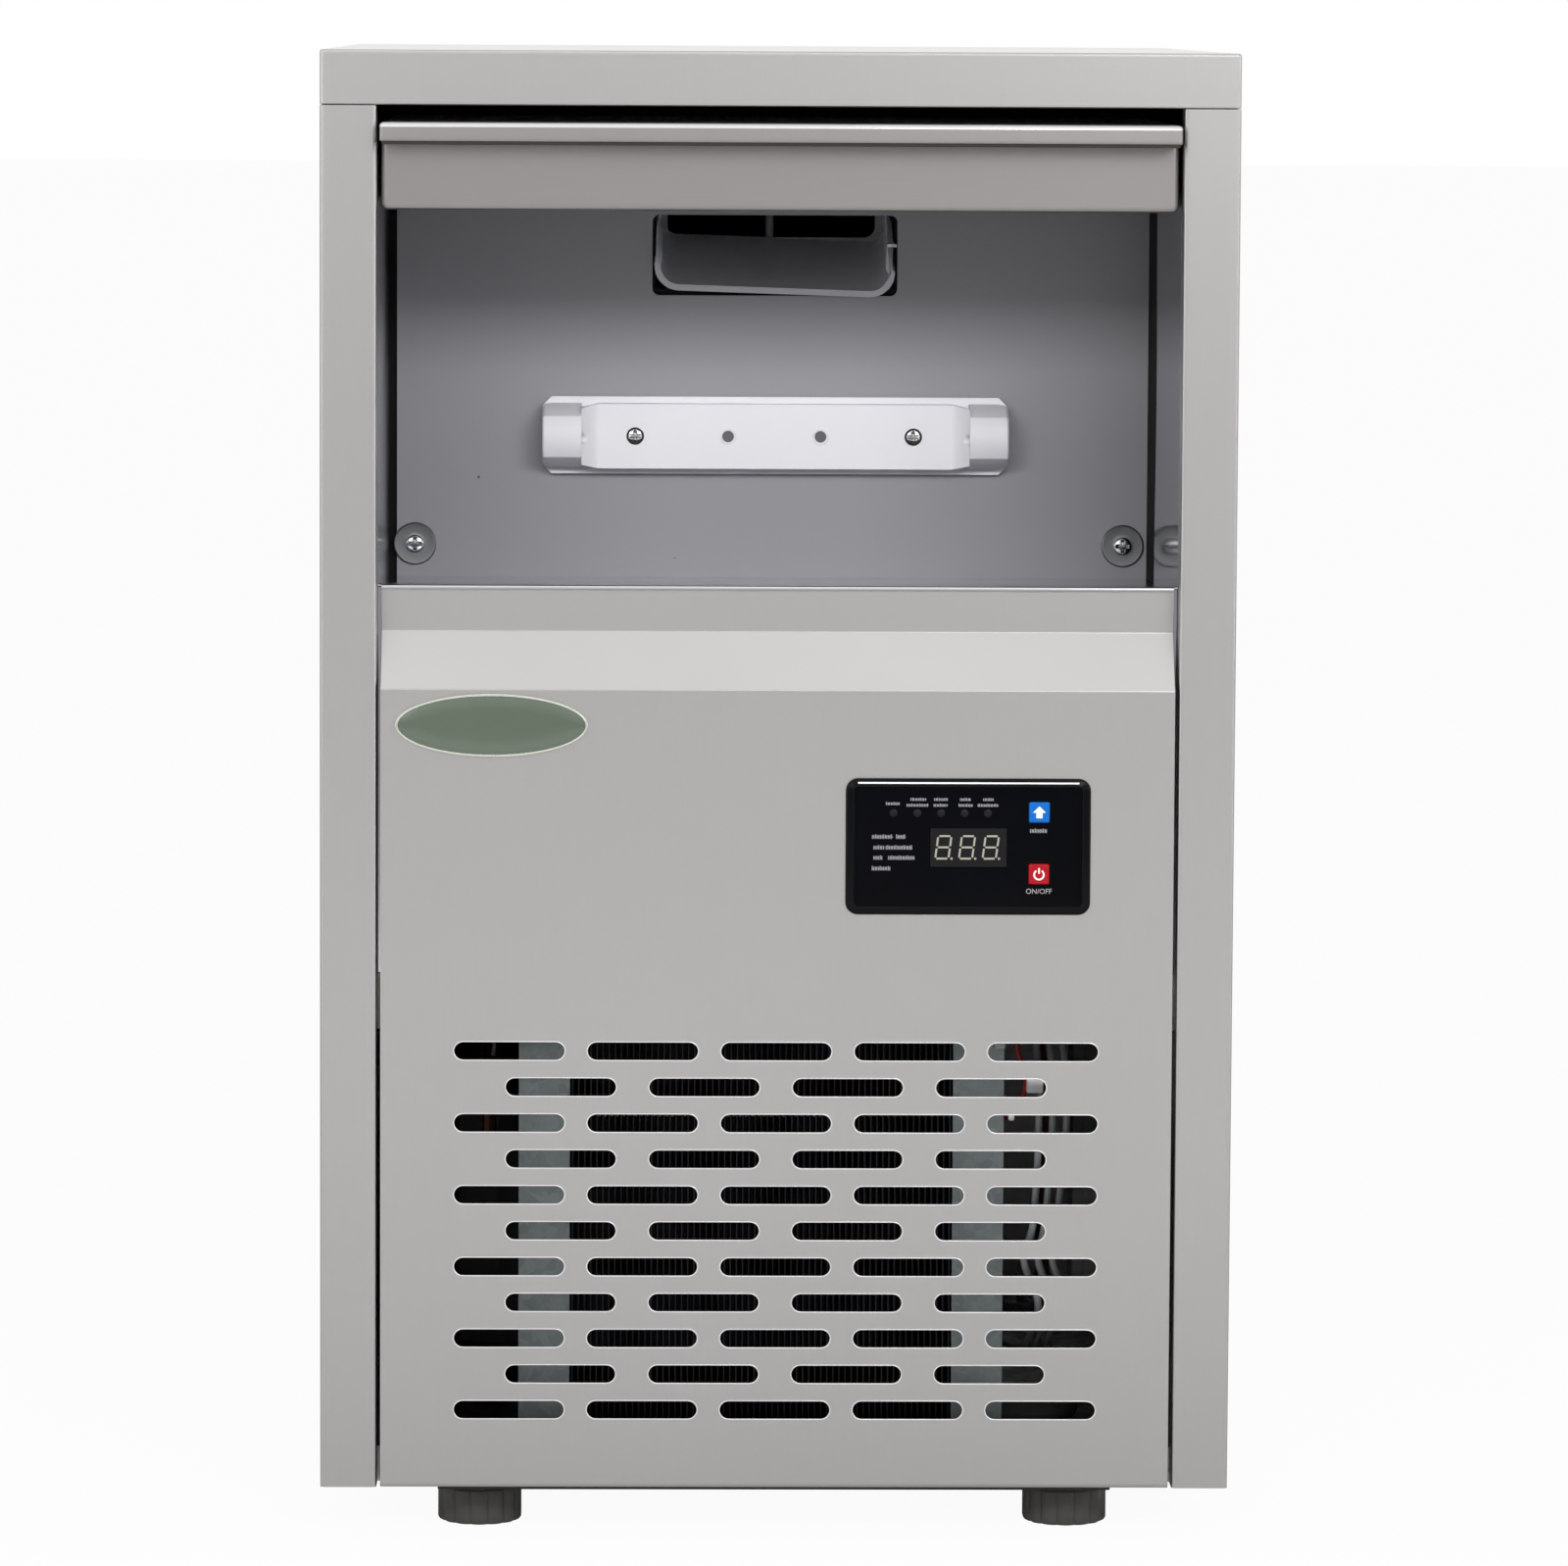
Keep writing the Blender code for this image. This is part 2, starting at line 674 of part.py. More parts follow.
def front_panel():
    bend_shift = SHEET * math.tan(math.atan2(UPPER_SETBACK, SLANT_TOP - FACE_TOP) / 2)
    top = SILL_HEIGHT - SHEET - GAP
    profile = [
        (POST_RETURN, FOOT_HEIGHT), (0, FOOT_HEIGHT), (0, FACE_TOP), (UPPER_SETBACK, SLANT_TOP),
        (UPPER_SETBACK, top), (UPPER_SETBACK + SHEET, top), (UPPER_SETBACK + SHEET, SLANT_TOP - bend_shift),
        (SHEET, FACE_TOP - bend_shift), (SHEET, FOOT_HEIGHT + SHEET), (POST_RETURN, FOOT_HEIGHT + SHEET)]
    mesh = new()
    extrude(mesh, profile, "x", -panel_half, panel_half)
    panel = piece("front_panel", mesh, stainless)
    holes = new()
    for row in range(SLOT_ROWS):
        wide = row % 2
        count = SLOT_COLUMNS - wide
        pitch = slot_length + (WIDE_SLOT_BRIDGE if wide else SLOT_BRIDGE)
        height = TOP_ROW_HEIGHT - row * SLOT_ROW_PITCH
        for column in range(count):
            across = (column - (count - 1) / 2) * pitch
            extrude(holes, long_hole(across, height, slot_length, SLOT_HEIGHT), "y", -OVERRUN, SHEET + OVERRUN)
    edge = BEZEL_FLANGE - GAP
    left, bottom = control_left + edge, CONTROL_BOTTOM + edge
    right, top = control_right - edge, control_top - edge
    extrude(holes, rectangle(left, bottom, right, top), "y", -OVERRUN, SHEET + OVERRUN)
    cut(panel, holes, "holes")


def sill_trim():
    front = UPPER_SETBACK
    leg = UPPER_SETBACK + SHEET + GAP
    back = front + TRIM_DEPTH
    under = SILL_HEIGHT - SHEET
    profile = [
        (front, SILL_HEIGHT), (front, under), (leg, under), (leg, under - TRIM_LEG),
        (leg + SHEET, under - TRIM_LEG), (leg + SHEET, under), (back - SHEET, under),
        (back - SHEET, under - TRIM_HEM), (back, under - TRIM_HEM), (back, SILL_HEIGHT)]
    mesh = new()
    extrude(mesh, profile, "x", -panel_half, panel_half)
    piece("sill_trim", mesh, polished)


def bin_liner():
    back = BACK_WALL_SETBACK - GAP
    mesh = new()
    block(mesh, (-liner_outer, liner_side_start, LINER_FLOOR), (liner_outer, back, liner_top))
    liner = piece("bin_liner", mesh, polished)
    hollow = new()
    block(hollow, (-bin_half, LINER_FRONT + LINER_WALL, bin_floor),
          (bin_half, back + OVERRUN, liner_top + OVERRUN))
    cut(liner, hollow, "hollow")
    front = new()
    block(front, (-bin_half, liner_side_start - OVERRUN, LINER_FLOOR - OVERRUN),
          (bin_half, LINER_FRONT, liner_top + OVERRUN))
    cut(liner, front, "front_setback")
    mouth = new()
    block(mouth, (-bin_half, LINER_FRONT - OVERRUN, SILL_HEIGHT - SHEET - GAP),
          (bin_half, LINER_FRONT + LINER_WALL + OVERRUN, liner_top + OVERRUN))
    cut(liner, mouth, "mouth")
    slots = new()
    reach = ROD_RADIUS + SLOT_CLEARANCE
    for side in (-1, 1):
        low, high = sorted((side * (bin_half - OVERRUN), side * (liner_outer + OVERRUN)))
        block(slots, (low, liner_side_start - OVERRUN, pivot_height - reach),
              (high, pivot_setback + reach, pivot_height + reach))
    cut(liner, slots, "rod_slots")
    drain = new()
    cylinder(drain, "z", (drain_side, DRAIN_SETBACK), DRAIN_RADIUS + GAP, LINER_FLOOR - OVERRUN,
             bin_floor + OVERRUN)
    cut(liner, drain, "drain_hole")


def bin_insulation():
    inner, outer = liner_outer + GAP, side_inner - GAP
    inner_floor = LINER_FLOOR - GAP
    outline = [(-outer, foam_top), (-outer, foam_bottom), (outer, foam_bottom), (outer, foam_top),
               (inner, foam_top), (inner, inner_floor), (-inner, inner_floor), (-inner, foam_top)]
    mesh = new()
    extrude(mesh, outline, "y", liner_side_start, bulkhead_front - GAP)
    foam = piece("bin_insulation", mesh, foam_block)
    drain = new()
    cylinder(drain, "z", (drain_side, DRAIN_SETBACK), DRAIN_RADIUS + GAP, foam_bottom - OVERRUN,
             inner_floor + OVERRUN)
    cut(foam, drain, "drain_hole")


def chute_underside(setback):
    front = BACK_WALL_SETBACK - CHUTE_REACH
    return window_sill + CHUTE_LIFT + (setback - front) * CHUTE_RISE_SHARE


def wall_screws():
    for side, across in (("left", SCREW_INSET - bin_half), ("right", bin_half - SCREW_INSET)):
        yield f"bin_screw_{side}", across, window_sill - SCREW_DROP
    for side, across in (("left", SENSOR_SCREW_LEFT), ("right", SENSOR_SCREW_RIGHT)):
        yield f"sensor_screw_{side}", across, bar_height


def bin_bulkhead():
    wide = side_inner - GAP
    profile = [(liner_side_start, shelf_top - SHEET), (liner_side_start, shelf_top), (bulkhead_front, shelf_top),
               (bulkhead_front, bulkhead_top), (bulkhead_back, bulkhead_top), (bulkhead_back, shelf_top - SHEET)]
    mesh = new()
    extrude(mesh, profile, "x", -wide, wide)
    wall = piece("bin_bulkhead", mesh, galvanised)
    holes = new()
    reach = WINDOW_WIDTH / 2 - CHUTE_SIDE_GAP + GAP
    extrude(holes, rectangle(WINDOW_CENTRE - reach, chute_underside(bulkhead_front) - GAP, WINDOW_CENTRE + reach,
                             window_sill + WINDOW_HEIGHT + CHUTE_RADIUS),
            "y", bulkhead_front - OVERRUN / 2, bulkhead_back + OVERRUN)
    for _, across, height in wall_screws():
        cylinder(holes, "y", (across, height), SHANK_RADIUS + GAP, bulkhead_front - OVERRUN / 2,
                 bulkhead_back + OVERRUN, SMALL_STEPS)
    cut(wall, holes, "holes")
    drain = new()
    cylinder(drain, "z", (drain_side, DRAIN_SETBACK), DRAIN_RADIUS + GAP, shelf_top - SHEET - OVERRUN,
             shelf_top + OVERRUN)
    cut(wall, drain, "drain_hole")


def bin_back_panel():
    left, right = BACK_WALL_LEFT_GAP - bin_half, bin_half - GAP
    back = BACK_WALL_SETBACK + BACK_WALL
    mesh = new()
    block(mesh, (left, BACK_WALL_SETBACK, LINER_FLOOR), (right, back, liner_top))
    panel = piece("bin_back_panel", mesh, grey_plastic)
    holes = new()
    reach = WINDOW_WIDTH / 2
    extrude(holes, rectangle(WINDOW_CENTRE - reach, window_sill, WINDOW_CENTRE + reach,
                             window_sill + WINDOW_HEIGHT, WINDOW_RADIUS),
            "y", BACK_WALL_SETBACK - OVERRUN, back + OVERRUN)
    for _, across, height in wall_screws():
        cylinder(holes, "y", (across, height), SHANK_RADIUS + GAP, BACK_WALL_SETBACK - OVERRUN, back + OVERRUN,
                 SMALL_STEPS)
    cut(panel, holes, "holes")


def screw(name, across, height, seat, head_radius, head_height, washer_radius, washer):
    # The seat is the face that the washer or the head rests on; the shank runs back through the bulkhead.
    face = seat - GAP
    head_back = face - washer
    front = head_back - head_height
    profile = [(0, front), (head_radius / 2, front), (head_radius, head_back - head_height / 2),
               (head_radius, head_back)]
    if washer:
        profile += [(washer_radius, head_back), (washer_radius, face)]
    else:
        profile += [(head_radius, face)]
        profile.pop(-2)
    profile += [(SHANK_RADIUS, face), (SHANK_RADIUS, bulkhead_back), (0, bulkhead_back)]
    mesh = new()
    turned(mesh, profile, "y", (across, height), ROUND_STEPS if washer else SMALL_STEPS)
    made = piece(name, mesh, polished)
    cross = new()
    arm, half = CROSS_ARM * head_radius / HEAD_RADIUS, CROSS_SLOT / 2
    outline = [(-arm, -half), (-half, -half), (-half, -arm), (half, -arm), (half, -half), (arm, -half),
               (arm, half), (half, half), (half, arm), (-half, arm), (-half, half), (-arm, half)]
    extrude(cross, [(across + u, height + v) for u, v in outline], "y", front - OVERRUN,
            front + CROSS_DEPTH * head_height / HEAD_HEIGHT)
    cut(made, cross, "cross")


def screws():
    for name, across, height in wall_screws():
        if name.startswith("bin"):
            screw(name, across, height, BACK_WALL_SETBACK, HEAD_RADIUS, HEAD_HEIGHT, WASHER_RADIUS, WASHER)
        else:
            screw(name, across, height, BACK_WALL_SETBACK - GAP - BAR_BASE - PLATE, SENSOR_HEAD_RADIUS,
                  SENSOR_HEAD_HEIGHT, 0, 0)


def ice_sensor_bar():
    back = BACK_WALL_SETBACK - GAP
    face = back - BAR_BASE
    low, high = bar_height - BAR_HEIGHT / 2, bar_height + BAR_HEIGHT / 2
    mesh = new()
    extrude(mesh, rectangle(BAR_LEFT, low, BAR_RIGHT, high, BAR_EDGE), "y", face, back)
    bar = piece("ice_sensor_bar", mesh, white_plastic)
    plate = new()
    inner_left, inner_right = BAR_LEFT + POD_WIDTH, BAR_RIGHT - POD_WIDTH
    extrude(plate, rectangle(inner_left - PLATE / 2, bar_height - PLATE_HEIGHT / 2,
                             inner_right + PLATE / 2, bar_height + PLATE_HEIGHT / 2), "y",
            face - PLATE, face + BAR_BASE / 2)
    fuse(bar, plate, "plate")
    pods = new()
    bottom, top = bar_height - POD_HEIGHT / 2, bar_height + POD_HEIGHT / 2
    round_front = POD_REACH * POD_ROUND_SHARE
    profile = rounded([(face + BAR_BASE / 2, bottom, 0), (face + BAR_BASE / 2, top, 0),
                       (face - POD_REACH, top, round_front), (face - POD_REACH, bottom, round_front)])
    for left, right in ((BAR_LEFT + GAP, inner_left), (inner_right, BAR_RIGHT - GAP)):
        extrude(pods, profile, "x", left, right)
    fuse(bar, pods, "pods")
    holes = new()
    eye = (face - PLATE - (POD_REACH - PLATE) / 2, bar_height)
    cylinder(holes, "x", eye, EYE_RADIUS, inner_left - EYE_DEPTH, inner_left + OVERRUN, SMALL_STEPS)
    cylinder(holes, "x", eye, EYE_RADIUS, inner_right - OVERRUN, inner_right + EYE_DEPTH, SMALL_STEPS)
    for across in (PLUG_LEFT, PLUG_RIGHT):
        cylinder(holes, "y", (across, bar_height), PLUG_RADIUS, face - PLATE - OVERRUN,
                 face - PLATE + PLUG_DEPTH, SMALL_STEPS)
    for across in (SENSOR_SCREW_LEFT, SENSOR_SCREW_RIGHT):
        cylinder(holes, "y", (across, bar_height), SHANK_RADIUS + GAP, face - PLATE - OVERRUN,
                 back + OVERRUN, SMALL_STEPS)
    cut(bar, holes, "holes")


def ice_chute():
    half = WINDOW_WIDTH / 2 - CHUTE_SIDE_GAP
    left, right = WINDOW_CENTRE - half, WINDOW_CENTRE + half
    outline = rounded([
        (left, CHUTE_HEIGHT, 0), (left, 0, CHUTE_RADIUS), (right, 0, CHUTE_RADIUS), (right, CHUTE_HEIGHT, 0),
        (right - CHUTE_WALL, CHUTE_HEIGHT, 0), (right - CHUTE_WALL, CHUTE_WALL, CHUTE_RADIUS - CHUTE_WALL),
        (left + CHUTE_WALL, CHUTE_WALL, CHUTE_RADIUS - CHUTE_WALL), (left + CHUTE_WALL, CHUTE_HEIGHT, 0)])
    front = BACK_WALL_SETBACK - CHUTE_REACH
    back = EVAPORATOR_SETBACK - HEAD_OUTER_RADIUS - GAP
    mesh = new()
    extrude(mesh, outline, "y", front, back)
    for vert in mesh.verts:
        vert.co.z += chute_underside(vert.co.y)
    piece("ice_chute", mesh, chute_plastic)


def tracks_and_shoes():
    inner = liner_outer + GAP
    half = TRACK_HEIGHT / 2
    outline = [(inner, half), (inner, half - TRACK_WALL), (inner + TRACK_WIDTH - TRACK_WALL, half - TRACK_WALL),
               (inner + TRACK_WIDTH - TRACK_WALL, TRACK_WALL - half), (inner, TRACK_WALL - half), (inner, -half),
               (inner + TRACK_WIDTH, -half), (inner + TRACK_WIDTH, half)]
    outline = [(u, v + pivot_height) for u, v in outline]
    start = SHOE_LENGTH / 2
    shoe_half = half - TRACK_WALL - GAP
    shoe = rectangle(pivot_setback - start, pivot_height - shoe_half, pivot_setback + start,
                     pivot_height + shoe_half, BEND_RADIUS)
    for side, edge in (("right", outline), ("left", mirrored(outline))):
        mesh = new()
        extrude(mesh, edge, "y", TRACK_START, pivot_setback + start + OVERRUN)
        piece(side + "_track", mesh, galvanised)
        sign = 1 if side == "right" else -1
        low, high = sorted((sign * (inner + GAP), sign * (inner + GAP + SHOE_WIDTH)))
        mesh = new()
        extrude(mesh, shoe, "x", low, high)
        made = piece(side + "_slide_shoe", mesh, white_plastic, carriage)
        bore = new()
        cylinder(bore, "x", (pivot_setback, pivot_height), ROD_RADIUS + GAP, low - OVERRUN, high + OVERRUN,
                 SMALL_STEPS)
        cut(made, bore, "bore")


def door():
    half = door_half
    front, back = pivot_setback - PIVOT_TO_LIP, pivot_setback + PIVOT_TO_TOP_EDGE
    mesh = new()
    extrude(mesh, rectangle(-half, front, half, back, BEND_RADIUS), "z", door_top - LIP_DEPTH, door_top)
    skin = piece("door_skin", mesh, stainless, door_axis)
    hollow = new()
    block(hollow, (-half + SHEET, front + SHEET, door_top - LIP_DEPTH - OVERRUN),
          (half - SHEET, back - SHEET, door_top - SHEET))
    cut(skin, hollow, "hollow")

    pan_half = half - SHEET - GAP
    pan_front, pan_back = pivot_setback - PIVOT_TO_BOX, back - SHEET - GAP
    bottom, top = door_top - LIP_DEPTH - BOX_DEPTH, door_top - SHEET - GAP
    outline = rounded([(-pan_half, top, 0), (-pan_half, bottom, BOX_RADIUS), (pan_half, bottom, BOX_RADIUS),
                       (pan_half, top, 0)])
    mesh = new()
    extrude(mesh, outline, "y", pan_front, pan_back)
    pan = piece("door_pan", mesh, stainless, door_axis)
    hollow = new()
    block(hollow, (-pan_half + BOX_WALL, pan_front + BOX_WALL, bottom + BOX_WALL),
          (pan_half - BOX_WALL, pan_back - BOX_WALL, top + OVERRUN))
    cut(pan, hollow, "hollow")
    bore = new()
    cylinder(bore, "x", (pivot_setback, pivot_height), ROD_RADIUS + GAP, -pan_half - OVERRUN,
             pan_half + OVERRUN, SMALL_STEPS)
    cut(pan, bore, "rod_holes")

    reach = liner_outer + 2 * GAP + SHOE_WIDTH
    rod = new()
    cylinder(rod, "x", (pivot_setback, pivot_height), ROD_RADIUS, -reach, reach, SMALL_STEPS)
    piece("pivot_rod", rod, polished, door_axis)


def button_hole(height, spare):
    reach = BUTTON_SIZE / 2 + spare
    return rectangle(button_column - reach, height - reach, button_column + reach, height + reach)


def display_outline(spare):
    left, bottom = control_left + DISPLAY_INSET, CONTROL_BOTTOM + DISPLAY_RISE
    return rectangle(left - spare, bottom - spare, left + DISPLAY_WIDTH + spare, bottom + DISPLAY_HEIGHT + spare)


def control_panel():
    right, top = control_right, control_top
    front = -GAP - BEZEL_REACH
    mesh = new()
    extrude(mesh, rectangle(control_left, CONTROL_BOTTOM, right, top, CONTROL_RADIUS), "y", front, -GAP)
    bezel = piece("control_bezel", mesh, black_gloss)
    edge = BEZEL_FLANGE
    housing = new()
    block(housing, (control_left + edge, -GAP - BEZEL_REACH / 2, CONTROL_BOTTOM + edge),
          (right - edge, BEZEL_BACK, top - edge))
    fuse(bezel, housing, "housing")
    cavity = new()
    edge += BEZEL_WALL
    block(cavity, (control_left + edge, front + BEZEL_RECESS + BEZEL_WALL, CONTROL_BOTTOM + edge),
          (right - edge, BEZEL_BACK + OVERRUN, top - edge))
    cut(bezel, cavity, "cavity")
    recess = new()
    extrude(recess, rectangle(control_left + BEZEL_RIM, CONTROL_BOTTOM + BEZEL_RIM, right - BEZEL_RIM,
                              top - BEZEL_RIM, CONTROL_RADIUS - BEZEL_RIM), "y", front - OVERRUN,
            front + BEZEL_RECESS)
    cut(bezel, recess, "recess")
    holes = new()
    face_back = front + BEZEL_RECESS + BEZEL_WALL
    for height in (mode_button_height, power_button_height):
        extrude(holes, button_hole(height, GAP), "y", front - OVERRUN, face_back + OVERRUN)
    extrude(holes, display_outline(GAP), "y", front - OVERRUN, face_back + OVERRUN)
    cut(bezel, holes, "holes")

    board_back = BEZEL_BACK - GAP
    board_front = board_back - BOARD
    mesh = new()
    edge += GAP
    block(mesh, (control_left + edge, board_front, CONTROL_BOTTOM + edge), (right - edge, board_back, top - edge))
    piece("control_board", mesh, board_green)

    mesh = new()
    extrude(mesh, display_outline(0), "y", front + BEZEL_RECESS, board_front - GAP)
    piece("display_module", mesh, display_grey)

    stroke_end = board_front - BUTTON_TRAVEL - 2 * GAP
    for name, height, material in (("mode_button", mode_button_height, button_blue),
                                   ("power_button", power_button_height, button_red)):
        holder = pivot(name + "_axis", button_column, front, height)
        mesh = new()
        extrude(mesh, button_hole(height, 0), "y", front + BEZEL_RECESS - BUTTON_REACH, stroke_end)
        button = piece(name, mesh, material, holder)
        flange = new()
        extrude(flange, button_hole(height, BUTTON_FLANGE), "y", face_back + GAP,
                face_back + GAP + BUTTON_FLANGE)
        fuse(button, flange, "flange")


def badge_plate():
    centre = BADGE_INSET + BADGE_LENGTH / 2 - panel_half
    angles = [math.tau * turn / BADGE_STEPS for turn in range(BADGE_STEPS)]
    outline = [(centre + BADGE_LENGTH / 2 * math.cos(angle),
                BADGE_HEIGHT_CENTRE + BADGE_WIDTH / 2 * math.sin(angle)) for angle in angles]
    mesh = new()
    extrude(mesh, outline, "y", -GAP - BADGE, -GAP)
    piece("badge_plate", mesh, badge_green)


def condenser():
    top = CORE_BOTTOM + CORE_HEIGHT
    spine = core_back - CORE_SPINE
    pitch = (core_width - END_FIN) / FIN_COUNT
    edge = []
    for fin in range(FIN_COUNT + 1):
        last = fin in (0, FIN_COUNT)
        thick = END_FIN if last else FIN
        left = core_left + fin * pitch + (0 if last else (END_FIN - FIN) / 2)
        edge += [(left, spine), (left, CORE_SETBACK), (left + thick, CORE_SETBACK), (left + thick, spine)]
    edge[0] = (core_left, core_back)
    edge[-1] = (core_right, core_back)
    mesh = new()
    extrude(mesh, edge, "z", CORE_BOTTOM, top)
    core = piece("condenser_core", mesh, fin_black)
    coil = new()
    for row in range(COIL_ROWS - 1):
        side = -1 if row % 2 == 0 else 1
        end = core_left + END_FIN / 2 if side < 0 else core_right - END_FIN / 2
        low = coil_bottom + row * coil_pitch
        out = end + side * (COIL_REACH + END_FIN)
        sweep(coil, bent([(end, coil_setback, low), (out, coil_setback, low), (out, coil_setback, low + coil_pitch),
                          (end, coil_setback, low + coil_pitch)], COIL_REACH), COIL_RADIUS, PIPE_SIDES)
    for side, end, height in ((-1, core_left, coil_top), (1, core_right, coil_bottom)):
        low, high = sorted((end - side * END_FIN / 2, end + side * STUB_REACH))
        cylinder(coil, "x", (coil_setback, height), COIL_RADIUS, low, high, PIPE_SIDES)
    fuse(core, coil, "coil")
    front = CORE_SETBACK - GAP - SHEET
    for name, inner, side in (("condenser_bracket_left", core_left, -1),
                              ("condenser_bracket_right", core_right, 1)):
        cover = inner - side * BRACKET_COVER
        outer = cover + side * BRACKET_FACE
        inside = outer - side * SHEET
        edge = [(cover, front), (outer, front), (outer, front + BRACKET_LEG),
                (inside, front + BRACKET_LEG), (inside, front + SHEET), (cover, front + SHEET)]
        mesh = new()
        extrude(mesh, edge, "z", pan_top + GAP, top)
        piece(name, mesh, galvanised)


def fan():
    mesh = new()
    top = CORE_BOTTOM + CORE_HEIGHT
    block(mesh, (core_left, shroud_front, CORE_BOTTOM), (core_right, shroud_back, top))
    shroud = piece("fan_shroud", mesh, fin_black)
    hollow = new()
    block(hollow, (core_left + SHROUD_WALL, shroud_front - OVERRUN, CORE_BOTTOM + SHROUD_WALL),
          (core_right - SHROUD_WALL, shroud_back - SHROUD_WALL, top - SHROUD_WALL))
    cut(shroud, hollow, "hollow")
    mouth = new()
    cylinder(mouth, "y", (fan_side, fan_height), fan_hole_radius, shroud_back - 2 * SHROUD_WALL,
             shroud_back + OVERRUN)
    cut(shroud, mouth, "mouth")
    bar = new()
    reach = fan_hole_radius + SHROUD_WALL
    block(bar, (fan_side - reach, shroud_back - SHROUD_WALL, fan_height - FAN_BAR / 2),
          (fan_side + reach, shroud_back, fan_height + FAN_BAR / 2))
    fuse(shroud, bar, "bar")
    bore = new()
    cylinder(bore, "y", (fan_side, fan_height), FAN_SHAFT_RADIUS + 2 * GAP, shroud_back - 2 * SHROUD_WALL,
             shroud_back + OVERRUN, SMALL_STEPS)
    cut(shroud, bore, "shaft_hole")

    motor_front = shroud_back + GAP
    motor_back = motor_front + FAN_MOTOR_LENGTH
    bottom = motor_front + FAN_SHAFT_TAIL + GAP
    bore = FAN_SHAFT_RADIUS + GAP
    edge = FAN_MOTOR_EDGE
    mesh = new()
    turned(mesh, [(0, bottom), (bore, bottom), (bore, motor_front), (FAN_MOTOR_RADIUS - edge, motor_front),
                  (FAN_MOTOR_RADIUS, motor_front + edge), (FAN_MOTOR_RADIUS, motor_back - edge),
                  (FAN_MOTOR_RADIUS - edge, motor_back), (0, motor_back)], "y", (fan_side, fan_height))
    piece("fan_motor", mesh, dark_metal)

    holder = pivot("fan_axis", fan_side, shroud_front, fan_height)
    hub_front = shroud_front + HUB_SETBACK
    hub_back = hub_front + HUB_LENGTH
    mesh = new()
    turned(mesh, [(0, hub_front), (HUB_RADIUS, hub_front), (HUB_RADIUS, hub_back), (FAN_SHAFT_RADIUS, hub_back),
                  (FAN_SHAFT_RADIUS, motor_front + FAN_SHAFT_TAIL), (0, motor_front + FAN_SHAFT_TAIL)],
           "y", (fan_side, fan_height))
    blades = piece("fan_blades", mesh, fan_plastic, holder)
    wings = new()
    tilt = math.radians(BLADE_PITCH_DEGREES)
    middle = (hub_front + hub_back) / 2
    for blade in range(FAN_BLADES):
        turn = Matrix.Rotation(math.tau * blade / FAN_BLADES, 3, "Y")
        rings = []
        for radius, chord in ((HUB_RADIUS / 2, BLADE_CHORD / 2), (HUB_RADIUS + BLADE, BLADE_CHORD / 2),
                              (fan_radius * BLADE_WAIST_SHARE, BLADE_CHORD * BLADE_WAIST_CHORD_SHARE),
                              (fan_radius, BLADE_CHORD)):
            ring = []
            for along, through in ((-1, -1), (1, -1), (1, 1), (-1, 1)):
                slide, face = along * chord / 2, through * BLADE / 2
                flat = Vector((slide * math.cos(tilt) - face * math.sin(tilt),
                               slide * math.sin(tilt) + face * math.cos(tilt), radius))
                flat = Vector((flat.x, min(max(flat.y, -HUB_LENGTH / 2 + GAP), HUB_LENGTH / 2 - GAP), flat.z))
                ring.append(wings.verts.new(turn @ flat + Vector((fan_side, middle, fan_height))))
            rings.append(ring)
        wings.faces.new(rings[0])
        wings.faces.new(rings[-1][::-1])
        for first, second in zip(rings, rings[1:]):
            for corner in range(4):
                after = (corner + 1) % 4
                wings.faces.new((first[corner], first[after], second[after], second[corner]))
    fuse(blades, wings, "wings")


def compressor():
    centre = (compressor_side, COMPRESSOR_SETBACK)
    low, high = COMPRESSOR_BOTTOM, COMPRESSOR_BOTTOM + COMPRESSOR_HEIGHT
    radius = COMPRESSOR_RADIUS
    neck = radius - CAN_SHOULDER
    seam = (low + high) / 2
    mesh = new()
    turned(mesh, [(0, low), (neck, low), (radius - CAN_SEAM - CAN_SHOULDER / 4, low + CAN_SHOULDER / 2),
                  (radius - CAN_SEAM, low + CAN_SHOULDER), (radius - CAN_SEAM, seam - CAN_SEAM), (radius, seam),
                  (radius - CAN_SEAM, seam + CAN_SEAM), (radius - CAN_SEAM, high - CAN_SHOULDER),
                  (radius - CAN_SEAM - CAN_SHOULDER / 4, high - CAN_SHOULDER / 2), (neck, high), (0, high)],
           "z", centre)
    can = piece("compressor", mesh, compressor_black)
    plate = new()
    half = COMPRESSOR_PLATE_SIZE / 2
    block(plate, (centre[0] - half, centre[1] - half, low - COMPRESSOR_PLATE),
          (centre[0] + half, centre[1] + half, low + COMPRESSOR_PLATE))
    fuse(can, plate, "plate")
    legs = new()
    for across in (-1, 1):
        for along in (-1, 1):
            place = (centre[0] + across * COMPRESSOR_LEG_SPREAD / 2, centre[1] + along * COMPRESSOR_LEG_SPREAD / 2)
            cylinder(legs, "z", place, COMPRESSOR_LEG_RADIUS, pan_top + GAP, low, SMALL_STEPS)
    fuse(can, legs, "legs")


def pipe(name, points, radius, material, bend=LINE_BEND):
    mesh = new()
    sweep(mesh, bent(points, bend), radius)
    return piece(name, mesh, material)


